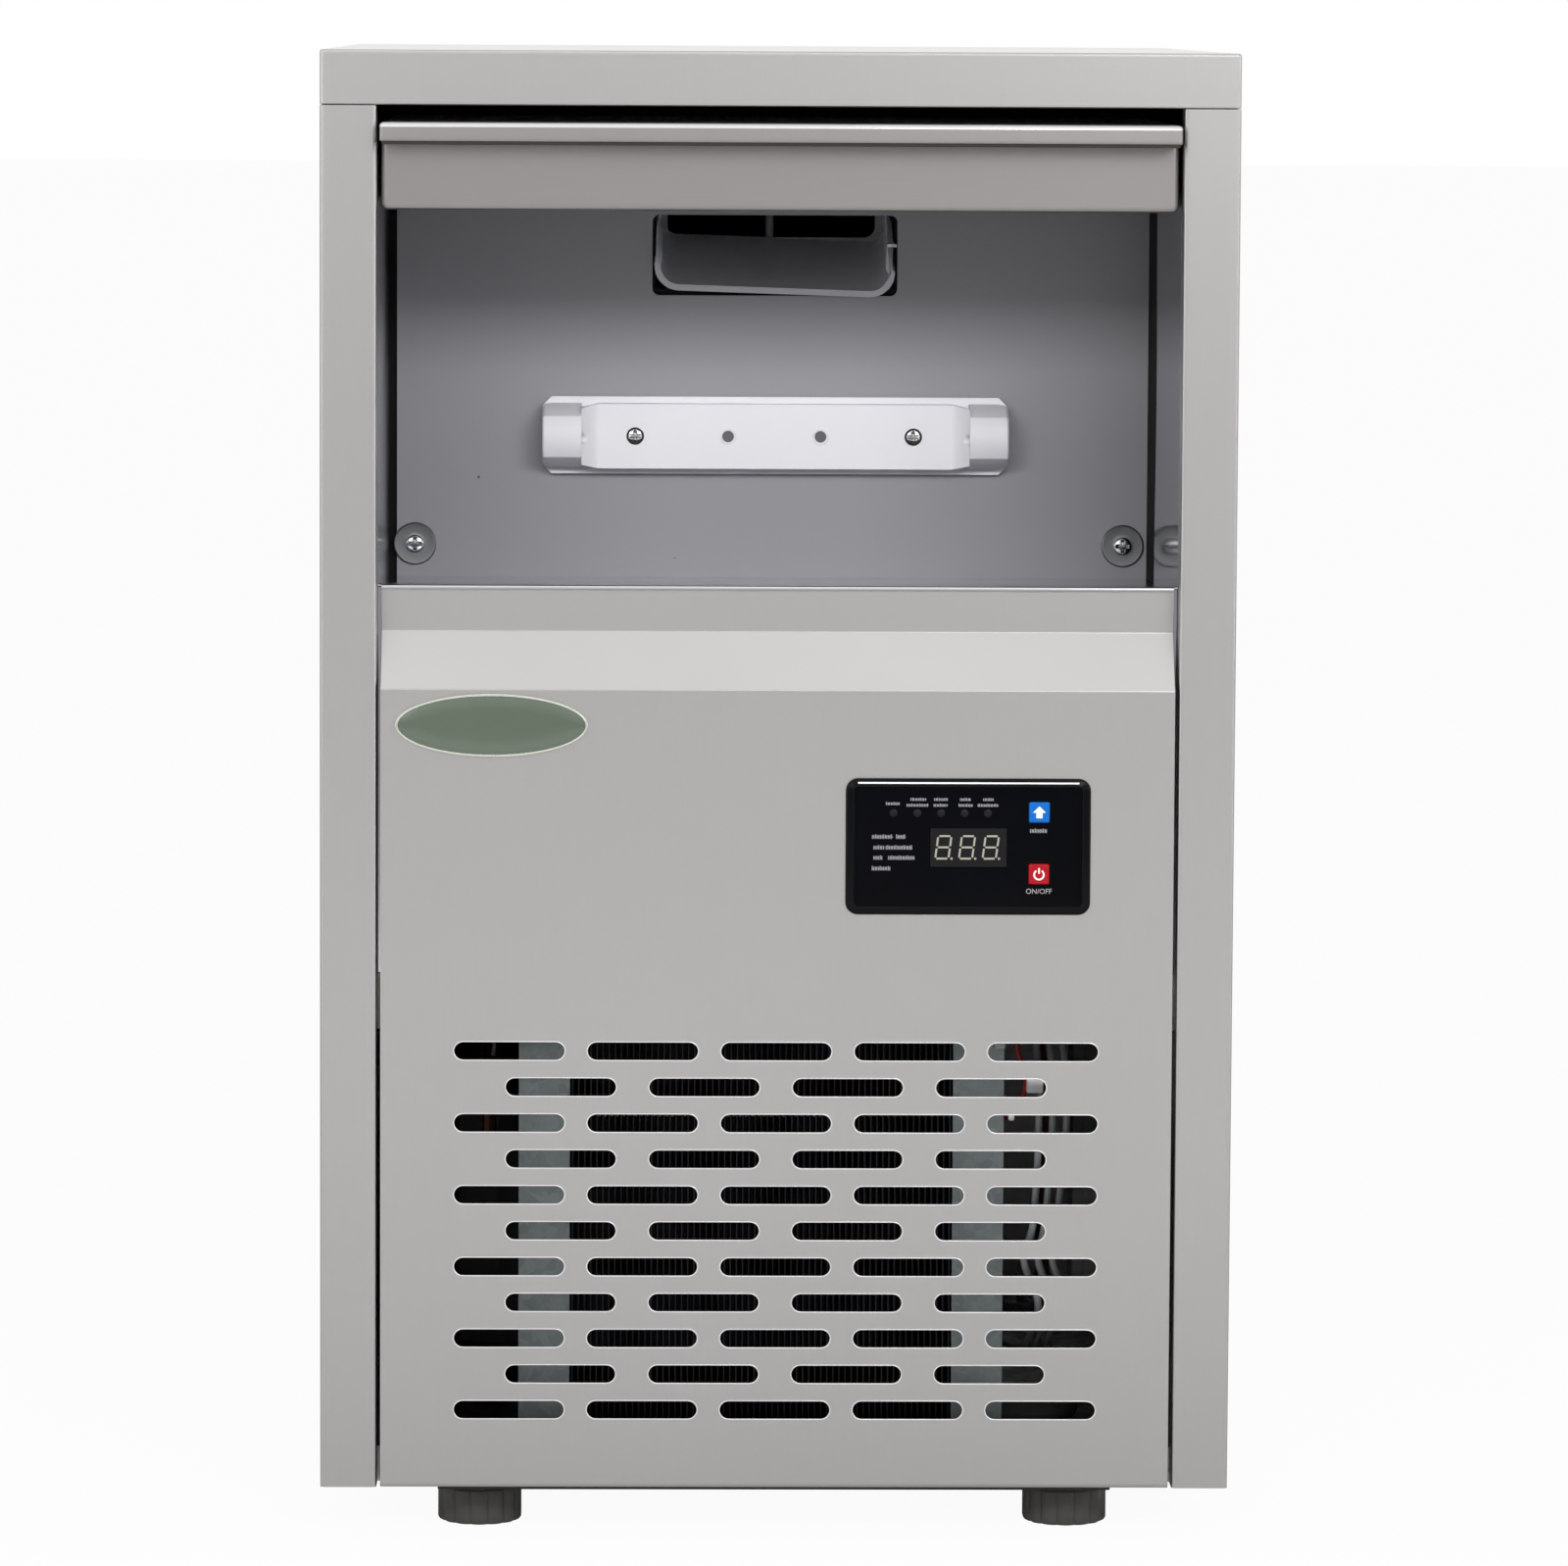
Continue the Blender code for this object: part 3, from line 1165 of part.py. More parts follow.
def refrigerant_lines():
    start = core_left - STUB_REACH - GAP
    turn = start - DISCHARGE_RUN
    port = COMPRESSOR_SETBACK - COMPRESSOR_RADIUS + CAN_SEAM - GAP
    pipe("discharge_pipe", [
        (start, coil_setback, coil_top), (turn, coil_setback, coil_top), (turn, DISCHARGE_TURN_SETBACK, coil_top),
        (turn, DISCHARGE_TURN_SETBACK, PORT_HEIGHT), (compressor_side, DISCHARGE_TURN_SETBACK, PORT_HEIGHT),
        (compressor_side, port, PORT_HEIGHT)], THIN_LINE_RADIUS, copper, LINE_BEND / 2)

    jacket_left = EVAPORATOR_SIDE - JACKET_RADIUS - GAP
    port = COMPRESSOR_SETBACK + COMPRESSOR_RADIUS - CAN_SEAM + 2 * GAP
    suction_height = tube_top - SUCTION_DROP
    pipe("suction_pipe", [
        (jacket_left, EVAPORATOR_SETBACK, suction_height), (compressor_side, EVAPORATOR_SETBACK, suction_height),
        (compressor_side, SUCTION_SETBACK, suction_height), (compressor_side, SUCTION_SETBACK, PORT_HEIGHT),
        (compressor_side, port, PORT_HEIGHT)], SUCTION_RADIUS, copper)

    start = core_right + STUB_REACH + GAP
    line = pipe("liquid_line", [
        (start, coil_setback, coil_bottom), (drier_side, coil_setback, coil_bottom),
        (drier_side, drier_setback, coil_bottom), (drier_side, drier_setback, DRIER_BOTTOM + DRIER_NECK)],
        THIN_LINE_RADIUS, copper)
    drier_top = DRIER_BOTTOM + DRIER_LENGTH
    drier = new()
    turned(drier, [(0, DRIER_BOTTOM), (CAPILLARY_RADIUS * 2, DRIER_BOTTOM),
                   (DRIER_RADIUS, DRIER_BOTTOM + DRIER_NECK), (DRIER_RADIUS, drier_top - DRIER_NECK),
                   (CAPILLARY_RADIUS * 2, drier_top), (0, drier_top)],
           "z", (drier_side, drier_setback), SMALL_STEPS)
    fuse(line, drier, "drier")
    capillary = new()
    jacket_right = EVAPORATOR_SIDE + JACKET_RADIUS + GAP
    turn = jacket_right + (drier_side - jacket_right) * CAPILLARY_TURN_SHARE
    sweep(capillary, bent([
        (drier_side, drier_setback, drier_top - DRIER_NECK), (drier_side, drier_setback, CAPILLARY_HEIGHT),
        (turn, drier_setback, CAPILLARY_HEIGHT),
        (turn, EVAPORATOR_SETBACK, CAPILLARY_HEIGHT),
        (jacket_right, EVAPORATOR_SETBACK, CAPILLARY_HEIGHT)], LINE_BEND), CAPILLARY_RADIUS)
    fuse(line, capillary, "capillary")


def drive_motor():
    low, high = pan_top + GAP, pan_top + GAP + MOTOR_HEIGHT
    bore = MOTOR_SHAFT_RADIUS + GAP
    bottom = high - MOTOR_SHAFT_DEPTH - GAP
    edge = MOTOR_EDGE
    mesh = new()
    turned(mesh, [(0, low), (MOTOR_RADIUS - edge, low), (MOTOR_RADIUS, low + edge), (MOTOR_RADIUS, high - edge),
                  (MOTOR_RADIUS - edge, high), (bore, high), (bore, bottom), (0, bottom)],
           "z", (pinion_side, EVAPORATOR_SETBACK))
    piece("drive_motor", mesh, dark_metal)


def gearbox_span(spare):
    reach = gear_radius + GEAR_MODULE + GEARBOX_CLEARANCE + spare
    right = pinion_side + pinion_radius + GEAR_MODULE + GEARBOX_CLEARANCE + spare
    return (EVAPORATOR_SIDE - reach, EVAPORATOR_SETBACK - reach), (right, EVAPORATOR_SETBACK + reach)


def gearbox():
    low, high = gearbox_span(GEARBOX_WALL)
    mesh = new()
    block(mesh, (*low, gearbox_bottom), (*high, gearbox_top))
    housing = piece("gearbox_housing", mesh, cast_metal)
    low, high = gearbox_span(0)
    hollow = new()
    block(hollow, (*low, gearbox_bottom + GEARBOX_WALL), (*high, gearbox_top + OVERRUN))
    cut(housing, hollow, "hollow")
    bore = new()
    cylinder(bore, "z", (pinion_side, EVAPORATOR_SETBACK), MOTOR_SHAFT_RADIUS + GAP, gearbox_bottom - OVERRUN,
             gearbox_bottom + GEARBOX_WALL + OVERRUN, SMALL_STEPS)
    cut(housing, bore, "shaft_hole")

    low, high = gearbox_span(GEARBOX_WALL)
    flange_bottom, flange_top = gearbox_top + GAP, gearbox_top + GAP + SEAL_FLANGE
    centre = (EVAPORATOR_SIDE, EVAPORATOR_SETBACK)
    mesh = new()
    block(mesh, (*low, flange_bottom), (*high, flange_top))
    seal = piece("water_seal_housing", mesh, cast_metal)
    neck = new()
    cylinder(neck, "z", centre, SEAL_RADIUS, flange_bottom + SEAL_FLANGE / 2, seal_top)
    fuse(seal, neck, "neck")
    bore = new()
    cylinder(bore, "z", centre, SHAFT_RADIUS + GAP, flange_bottom - OVERRUN, seal_top + OVERRUN)
    cut(seal, bore, "bore")


def gear_outline(teeth, centre, start):
    # Involute teeth: each flank has a point at the root, near the base circle and at the tip.
    pressure = math.radians(PRESSURE_DEGREES)
    pitch = GEAR_MODULE * teeth / 2
    base = pitch * math.cos(pressure)
    radii = (pitch - GEAR_MODULE * DEDENDUM_SHARE, max(base, pitch - GEAR_MODULE * ADDENDUM_SHARE),
             pitch + GEAR_MODULE * ADDENDUM_SHARE)

    def spread(radius):
        slope = math.acos(min(1, base / radius))
        flank = math.tan(pressure) - pressure - math.tan(slope) + slope
        return math.pi / (2 * teeth) - BACKLASH / (4 * pitch) + flank

    outline = []
    for tooth in range(teeth):
        middle = start + math.tau * tooth / teeth
        for side, order in ((-1, radii), (1, radii[::-1])):
            for radius in order:
                angle = middle + side * spread(radius)
                outline.append((centre[0] + radius * math.cos(angle), centre[1] + radius * math.sin(angle)))
    return outline


def drive_train():
    centre = (EVAPORATOR_SIDE, EVAPORATOR_SETBACK)
    side = (pinion_side, EVAPORATOR_SETBACK)
    auger_axis = pivot("auger_axis", *centre, gear_bottom)
    pinion_axis = pivot("pinion_axis", *side, gear_bottom)
    mesh = new()
    extrude(mesh, gear_outline(GEAR_TEETH, centre, 0), "z", gear_bottom, gear_bottom + GEAR_FACE)
    gear = piece("drive_gear", mesh, brass, auger_axis)
    bore = new()
    cylinder(bore, "z", centre, SHAFT_RADIUS + GAP, gear_bottom - OVERRUN, gear_bottom + GEAR_FACE + OVERRUN)
    cut(gear, bore, "bore")

    mesh = new()
    half_tooth = math.pi / PINION_TEETH
    extrude(mesh, gear_outline(PINION_TEETH, side, math.pi + half_tooth), "z", gear_bottom,
            gear_bottom + GEAR_FACE)
    pinion = piece("motor_pinion", mesh, polished, pinion_axis)
    shaft = new()
    low = pan_top + GAP + MOTOR_HEIGHT - MOTOR_SHAFT_DEPTH
    cylinder(shaft, "z", side, MOTOR_SHAFT_RADIUS, low, gear_bottom + GEAR_FACE + GEARBOX_WALL, SMALL_STEPS)
    fuse(pinion, shaft, "shaft")

    mesh = new()
    cylinder(mesh, "z", centre, SHAFT_RADIUS, gearbox_bottom + GEARBOX_WALL + SHAFT_BOTTOM_LIFT,
             head_top + SHAFT_TAIL)
    auger = piece("auger", mesh, polished, auger_axis)
    flight = new()
    low = tube_bottom + FLIGHT_MARGIN
    steps = FLIGHT_STEPS
    rings = []
    for step in range(FLIGHT_TURNS * steps + 1):
        angle = math.tau * step / steps
        height = low + flight_pitch * step / steps
        ring = []
        for radius, lift in ((SHAFT_RADIUS - FLIGHT / 2, 0), (FLIGHT_RADIUS, 0), (FLIGHT_RADIUS, FLIGHT),
                             (SHAFT_RADIUS - FLIGHT / 2, FLIGHT)):
            ring.append(flight.verts.new((centre[0] + radius * math.cos(angle),
                                          centre[1] + radius * math.sin(angle), height + lift)))
        rings.append(ring)
    flight.faces.new(rings[0])
    flight.faces.new(rings[-1][::-1])
    for first, second in zip(rings, rings[1:]):
        for corner in range(4):
            after = (corner + 1) % 4
            flight.faces.new((first[corner], first[after], second[after], second[corner]))
    fuse(auger, flight, "flight")


def evaporator():
    centre = (EVAPORATOR_SIDE, EVAPORATOR_SETBACK)
    outer = TUBE_BORE_RADIUS + TUBE_WALL
    mesh = new()
    tube(mesh, "z", centre, TUBE_BORE_RADIUS, outer, tube_bottom, tube_top)
    piece("evaporator_tube", mesh, polished)
    mesh = new()
    tube(mesh, "z", centre, outer + GAP, JACKET_RADIUS, tube_bottom + JACKET_MARGIN, tube_top - JACKET_MARGIN)
    piece("evaporator_jacket", mesh, foam_black)
    mesh = new()
    turned(mesh, [(HEAD_BORE_RADIUS, head_bottom), (HEAD_OUTER_RADIUS, head_bottom),
                  (HEAD_OUTER_RADIUS, head_top), (SHAFT_RADIUS + GAP, head_top),
                  (SHAFT_RADIUS + GAP, head_top - HEAD_CAP), (HEAD_BORE_RADIUS, head_top - HEAD_CAP)],
           "z", centre, ring=True)
    for vert in mesh.verts:
        low_ring = vert.co.z < head_bottom + GAP
        inner = (vert.co.xy - Vector(centre)).length < HEAD_BORE_RADIUS + GAP
        if low_ring and inner:
            vert.co.xy = Vector(centre) + (vert.co.xy - Vector(centre)).normalized() * TUBE_BORE_RADIUS
    head = piece("ice_head", mesh, cast_metal)
    outlet = new()
    bottom = head_bottom + OUTLET_BOTTOM_LIFT
    block(outlet, (centre[0] - OUTLET_WIDTH / 2, centre[1] - HEAD_OUTER_RADIUS - OVERRUN, bottom),
          (centre[0] + OUTLET_WIDTH / 2, centre[1], bottom + OUTLET_HEIGHT))
    cut(head, outlet, "outlet")


def water_side():
    left, right = tank_left, tank_left + TANK_WIDTH
    front, back = bulkhead_back + GAP, bulkhead_back + GAP + TANK_DEPTH
    top = tank_bottom + TANK_HEIGHT
    mesh = new()
    block(mesh, (left, front, tank_bottom), (right, back, top))
    tank = piece("water_tank", mesh, white_plastic)
    hollow = new()
    wall = TANK_WALL
    block(hollow, (left + wall, front + wall, tank_bottom + wall), (right - wall, back - wall, top + OVERRUN))
    cut(tank, hollow, "hollow")
    guide = new()
    middle = (left + right) / 2
    cylinder(guide, "z", (middle, FLOAT_SETBACK), GUIDE_RADIUS, tank_bottom + wall / 2, tank_bottom + GUIDE_HEIGHT,
             SMALL_STEPS)
    fuse(tank, guide, "guide")
    bottom = tank_bottom + wall + GAP
    holder = pivot("float_axis", middle, FLOAT_SETBACK, bottom)
    mesh = new()
    tube(mesh, "z", (middle, FLOAT_SETBACK), GUIDE_RADIUS + GAP, FLOAT_RADIUS, bottom, bottom + FLOAT_HEIGHT,
         SMALL_STEPS * 2)
    piece("tank_float", mesh, float_blue, holder)

    inside = DEPTH - SHEET - GAP
    place = (valve_side, valve_height)
    mesh = new()
    turned(mesh, [(0, inside - VALVE_LENGTH), (VALVE_RADIUS, inside - VALVE_LENGTH), (VALVE_RADIUS, inside),
                  (VALVE_NECK_RADIUS, inside), (VALVE_NECK_RADIUS, DEPTH + REAR_REACH),
                  (DRAIN_BORE_RADIUS, DEPTH + REAR_REACH), (DRAIN_BORE_RADIUS, DEPTH), (0, DEPTH)], "y", place)
    piece("inlet_valve", mesh, white_plastic)
    start = valve_height + VALVE_RADIUS + GAP
    crest = top + FILL_RISE
    pipe("fill_pipe", [(valve_side, VALVE_COIL_SETBACK, start), (valve_side, VALVE_COIL_SETBACK, crest),
                       (valve_side, FILL_SETBACK, crest), (valve_side, FILL_SETBACK, top - FILL_DROP)],
         FILL_RADIUS, hose_grey)
    pipe("feed_pipe", [(middle, EVAPORATOR_SETBACK, tank_bottom - GAP), (middle, EVAPORATOR_SETBACK, FEED_HEIGHT),
                       (EVAPORATOR_SIDE - SEAL_RADIUS - GAP, EVAPORATOR_SETBACK, FEED_HEIGHT)],
         FEED_RADIUS, hose_grey)

    end = DEPTH + DRAIN_TAIL
    spout = pipe("bin_drain", [(drain_side, DRAIN_SETBACK, bin_floor), (drain_side, DRAIN_SETBACK, DRAIN_HEIGHT),
                               (drain_side, end, DRAIN_HEIGHT)], DRAIN_RADIUS, hose_grey, LINE_BEND * 2)
    flange = new()
    neck = (DRAIN_RADIUS + DRAIN_BORE_RADIUS) / 2
    turned(flange, [(0, bin_floor - OVERRUN), (neck, bin_floor - OVERRUN), (neck, bin_floor + GAP),
                    (DRAIN_FLANGE_RADIUS, bin_floor + GAP), (DRAIN_FLANGE_RADIUS, bin_floor + GAP + DRAIN_FLANGE),
                    (0, bin_floor + GAP + DRAIN_FLANGE)], "z", (drain_side, DRAIN_SETBACK))
    fuse(spout, flange, "flange")
    bore = new()
    cylinder(bore, "z", (drain_side, DRAIN_SETBACK), DRAIN_BORE_RADIUS, bin_floor - DRAIN_BORE_DEPTH,
             bin_floor + DRAIN_FLANGE + OVERRUN, SMALL_STEPS)
    cylinder(bore, "y", (drain_side, DRAIN_HEIGHT), DRAIN_BORE_RADIUS, end - DRAIN_BORE_DEPTH, end + OVERRUN,
             SMALL_STEPS)
    cut(spout, bore, "bores")


def electrical_box():
    front, back = bulkhead_back + GAP, bulkhead_back + GAP + BOX_DEEP
    right = side_inner - BOX_SIDE_GAP
    left, top = right - BOX_SPAN, fascia_bottom - BOX_TOP_GAP
    mesh = new()
    block(mesh, (left, front, BOX_BOTTOM), (right, back, top))
    box = piece("electrical_box", mesh, galvanised)
    hollow = new()
    wall = BOX_SHEET
    block(hollow, (left + wall, front + wall, BOX_BOTTOM + wall), (right - wall, back + OVERRUN, top - wall))
    cut(box, hollow, "hollow")


for thing in list(bpy.data.objects):
    bpy.data.objects.remove(thing)

stainless = finish("Brushed stainless", (0.46, 0.45, 0.44), 0.32, 1.0)
polished = finish("Polished stainless", (0.62, 0.62, 0.63), 0.18, 1.0)
galvanised = finish("Galvanised steel", (0.52, 0.53, 0.54), 0.42, 1.0)
copper = finish("Copper", (0.72, 0.39, 0.24), 0.30, 1.0)
brass = finish("Bronze gear", (0.62, 0.46, 0.22), 0.35, 1.0)
cast_metal = finish("Cast aluminium", (0.50, 0.51, 0.52), 0.55, 1.0)
dark_metal = finish("Motor casing", (0.10, 0.10, 0.11), 0.50, 0.6)
compressor_black = finish("Black enamel", (0.012, 0.012, 0.013), 0.35)
fin_black = finish("Black fins", (0.015, 0.015, 0.017), 0.45, 0.4)
foot_plastic = finish("Dark grey plastic", (0.060, 0.060, 0.054), 0.55)
fan_plastic = finish("Fan plastic", (0.030, 0.030, 0.032), 0.50)
grey_plastic = finish("Grey bin wall", (0.19, 0.19, 0.20), 0.55)
chute_plastic = finish("Chute plastic", (0.33, 0.34, 0.35), 0.45)
white_plastic = finish("White moulding", (0.78, 0.78, 0.80), 0.40)
black_gloss = finish("Gloss black", (0.006, 0.006, 0.007), 0.12)
display_grey = finish("Display window", (0.10, 0.10, 0.11), 0.15)
button_blue = finish("Blue button", (0.03, 0.16, 0.48), 0.30)
button_red = finish("Red button", (0.55, 0.02, 0.02), 0.30)
badge_green = finish("Green badge", (0.18, 0.26, 0.19), 0.35)
board_green = finish("Circuit board", (0.02, 0.14, 0.05), 0.50)
foam_block = finish("White foam", (0.75, 0.74, 0.70), 0.85)
foam_black = finish("Black foam", (0.020, 0.020, 0.020), 0.90)
hose_grey = finish("Grey hose", (0.40, 0.41, 0.42), 0.50)
float_blue = finish("Float", (0.30, 0.45, 0.65), 0.50)

machine = bpy.data.objects.new("machine", None)
bpy.context.scene.collection.objects.link(machine)
machine.location = (0, front_setback, 0)
carriage = pivot("carriage_axis", 0, pivot_setback, pivot_height)
door_axis = pivot("door_axis", 0, pivot_setback, pivot_height)

base_pan()
feet()
side_panels()
back_panel()
top_cover()
front_panel()
sill_trim()
bin_liner()
bin_insulation()
bin_bulkhead()
bin_back_panel()
screws()
ice_sensor_bar()
ice_chute()
tracks_and_shoes()
door()
control_panel()
badge_plate()
condenser()
fan()
compressor()
refrigerant_lines()
drive_motor()
gearbox()
drive_train()
evaporator()
water_side()
electrical_box()
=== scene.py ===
import math

import bmesh
import bpy
import numpy as np
from mathutils import Matrix, Vector
from mathutils.geometry import delaunay_2d_cdt


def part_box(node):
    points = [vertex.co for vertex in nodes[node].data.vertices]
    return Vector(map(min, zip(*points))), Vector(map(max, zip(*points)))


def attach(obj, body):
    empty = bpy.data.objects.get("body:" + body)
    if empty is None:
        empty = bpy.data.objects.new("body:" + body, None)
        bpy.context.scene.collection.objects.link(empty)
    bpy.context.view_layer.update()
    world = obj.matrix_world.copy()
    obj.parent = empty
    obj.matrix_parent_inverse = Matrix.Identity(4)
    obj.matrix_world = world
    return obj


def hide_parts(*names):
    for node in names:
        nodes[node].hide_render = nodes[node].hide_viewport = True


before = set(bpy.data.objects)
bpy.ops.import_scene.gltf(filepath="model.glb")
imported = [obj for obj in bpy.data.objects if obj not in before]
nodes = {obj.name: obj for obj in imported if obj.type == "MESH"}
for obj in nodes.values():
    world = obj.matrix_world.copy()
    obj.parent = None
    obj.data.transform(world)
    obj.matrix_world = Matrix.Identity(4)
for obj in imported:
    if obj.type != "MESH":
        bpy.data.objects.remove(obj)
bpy.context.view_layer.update()  # the packed ice maker, fixed in place
collection = bpy.context.scene.collection
tau = 2 * math.pi
print("stage: frame loaded")

# the least corner radius, the distances at which points join, and the rise lent to a level edge
limits = {"radius": 1e-5, "merge": 2e-6, "pattern": 1e-7, "level": 1e-12}


# shapes are arrays of points, with blocks of faces that index them

def placed(axis, across, up, along):
    # two coordinates across an axis and one along it, as points
    across, up, along = np.broadcast_arrays(across, up, along)
    order = {"x": (along, across, up), "y": (across, along, up), "z": (across, up, along)}[axis]
    return np.stack(order, -1).astype(float)


def gridFaces(rows, columns, wrapRows=False, wrapColumns=False):
    # quads between neighbouring points of a grid
    row, column = np.meshgrid(np.arange(rows - (not wrapRows)), np.arange(columns - (not wrapColumns)),
                              indexing="ij")
    nextRow, nextColumn = (row + 1) % rows, (column + 1) % columns
    corners = [r * columns + c for r, c in ((row, column), (row, nextColumn), (nextRow, nextColumn),
                                            (nextRow, column))]
    return np.stack(corners, -1).reshape(-1, 4)


def loft(rings, caps=True, wrap=False):
    # closed rings of equal length joined one to the next, with flat caps on the first and last
    count, size = rings.shape[:2]
    faces = [gridFaces(count, size, wrap, True)]
    if caps and not wrap:
        faces += [np.arange(size)[None], np.arange(size)[None] + (count - 1) * size]
    return rings.reshape(-1, 3), faces


def together(*shells):
    starts = np.cumsum([0] + [len(points) for points, _ in shells])
    return (np.vstack([points for points, _ in shells]),
            [block + start for (_, faces), start in zip(shells, starts) for block in faces])


def turned(profile, centre, axis="z", steps=48, wrap=False):
    # (radius, along) pairs turned about a line along the axis: r cos a, r sin a, along
    profile = np.asarray(profile, float)
    angle = np.arange(steps) * tau / steps
    across = profile[:, :1] * np.cos(angle) + centre[0]
    up = profile[:, :1] * np.sin(angle) + centre[1]
    return loft(placed(axis, across, up, profile[:, 1:]), wrap=wrap)


def rod(radius, start, end, centre, axis="z", steps=48):
    return turned([(0, start), (radius, start), (radius, end), (0, end)], centre, axis, steps)


def roundedRectangle(left, bottom, right, top, radius, steps=6):
    # the outline at an inset: four quarter circles whose radius shrinks with the inset
    def outline(inset=0.0):
        r = max(radius - inset, limits["radius"])
        angle = (np.linspace(0, math.pi / 2, steps + 1)[None] + np.arange(4)[:, None] * math.pi / 2).ravel()
        x = np.repeat([right - inset - r, left + inset + r, left + inset + r, right - inset - r], steps + 1)
        y = np.repeat([top - inset - r, top - inset - r, bottom + inset + r, bottom + inset + r], steps + 1)
        return np.stack([x + r * np.cos(angle), y + r * np.sin(angle)], -1)
    return outline


def oval(x, y, length, width, steps=72):
    def outline(inset=0.0):
        angle = np.arange(steps) * tau / steps
        reach = np.array([length, width]) / 2 - inset
        return (x, y) + reach * np.stack([np.cos(angle), np.sin(angle)], -1)
    return outline


def quarterRound(radius, face, away, steps=4):
    # (inset, along) pairs from a flat face round its edge to the side
    turn = np.linspace(0, math.pi / 2, steps + 1)
    return list(zip(radius * (1 - np.sin(turn)), face + away * radius * (1 - np.cos(turn))))


def stacked(outline, levels, axis="y", caps=True, wrap=False):
    # one outline repeated along an axis at (inset, along) levels
    flats = np.array([outline(inset) for inset, _ in levels])
    along = np.array([along for _, along in levels])[:, None]
    return loft(placed(axis, flats[..., 0], flats[..., 1], along), caps, wrap)


def smoothPath(points, steps=10):
    # a smooth curve that passes through the points
    points = np.asarray(points, float)
    padded = np.vstack([2 * points[0] - points[1], points, 2 * points[-1] - points[-2]])
    t = (np.arange(steps) / steps)[None, :, None]
    a, b, c, d = (padded[k:len(padded) - 3 + k, None] for k in range(4))
    curve = 2 * b + (c - a) * t + (2 * a - 5 * b + 4 * c - d) * t ** 2 + (3 * b - a - 3 * c + d) * t ** 3
    return np.vstack([curve.reshape(-1, 3) / 2, points[-1:]])


def tube(path, radius, sides=12, up=(0.31, 0.2, 0.93)):
    # circles square to the path at each of its points
    path = np.asarray(path, float)
    ahead = np.gradient(path, axis=0)
    ahead /= np.linalg.norm(ahead, axis=1)[:, None]
    side = np.cross(ahead, up)
    side /= np.linalg.norm(side, axis=1)[:, None]
    other = np.cross(ahead, side)
    angle = np.arange(sides) * tau / sides
    radius = np.broadcast_to(radius, len(path))[:, None, None]
    ring = side[:, None] * np.cos(angle)[None, :, None] + other[:, None] * np.sin(angle)[None, :, None]
    return loft(path[:, None] + ring * radius)


def bentLine(points, radius, steps=6, support=0.0005):
    # a polyline with rounded corners: its points, the normals on its left, and its length so far
    points = np.asarray(points, float)
    heads = np.diff(points, axis=0)
    heads /= np.linalg.norm(heads, axis=1)[:, None]
    sides = np.stack([-heads[:, 1], heads[:, 0]], -1)
    line, normals = [points[0]], [sides[0]]
    for corner in range(1, len(points) - 1):
        before, after = heads[corner - 1], heads[corner]
        turn = math.atan2(before[0] * after[1] - before[1] * after[0], before @ after)
        back = radius * math.tan(abs(turn) / 2)
        bend = math.copysign(radius, turn)
        start = points[corner] - before * back
        centre = start + sides[corner - 1] * bend
        line.append(start - before * support)
        normals.append(sides[corner - 1])
        for share in np.linspace(0, 1, steps + 1):
            c, s = math.cos(turn * share), math.sin(turn * share)
            normal = np.array([[c, -s], [s, c]]) @ sides[corner - 1]
            line.append(centre - normal * bend)
            normals.append(normal)
        line.append(points[corner] + after * (back + support))
        normals.append(sides[corner])
    line, normals = np.array(line + [points[-1]]), np.array(normals + [sides[-1]])
    arc = np.concatenate([[0], np.cumsum(np.linalg.norm(np.diff(line, axis=0), axis=1))])
    return line, normals, arc


def folded(line, axes):
    # flat pattern (u, v) and depth under the outer face, bent round the line
    positions, normals, arc = line

    def place(flat, depth):
        points = np.empty((len(flat), 3))
        points[:, axes[0]] = flat[:, 0]
        for k in (0, 1):
            points[:, axes[k + 1]] = np.interp(flat[:, 1], arc, positions[:, k] - normals[:, k] * depth)
        return points
    return place


def grown(loop, distance):
    # each corner of a loop moved outwards along its mitre
    heads = np.roll(loop, -1, 0) - loop
    area = np.sum(loop[:, 0] * np.roll(loop[:, 1], -1) - loop[:, 1] * np.roll(loop[:, 0], -1))
    heads /= np.linalg.norm(heads, axis=1)[:, None]
    out = np.stack([heads[:, 1], -heads[:, 0]], -1) * math.copysign(1, area)
    before = np.roll(out, 1, 0)
    mitre = (out + before) / (1 + np.sum(out * before, 1))[:, None]
    return loop + mitre * distance


def within(spots, loop):
    # crossing test of each spot against a loop
    a, b = loop, np.roll(loop, -1, 0)
    y = spots[:, 1:]
    crosses = (a[:, 1] > y) != (b[:, 1] > y)
    rise = np.where(b[:, 1] == a[:, 1], limits["level"], b[:, 1] - a[:, 1])
    x = a[:, 0] + (y - a[:, 1]) * (b[:, 0] - a[:, 0]) / rise
    return np.sum(crosses & (spots[:, :1] < x), 1) % 2 == 1


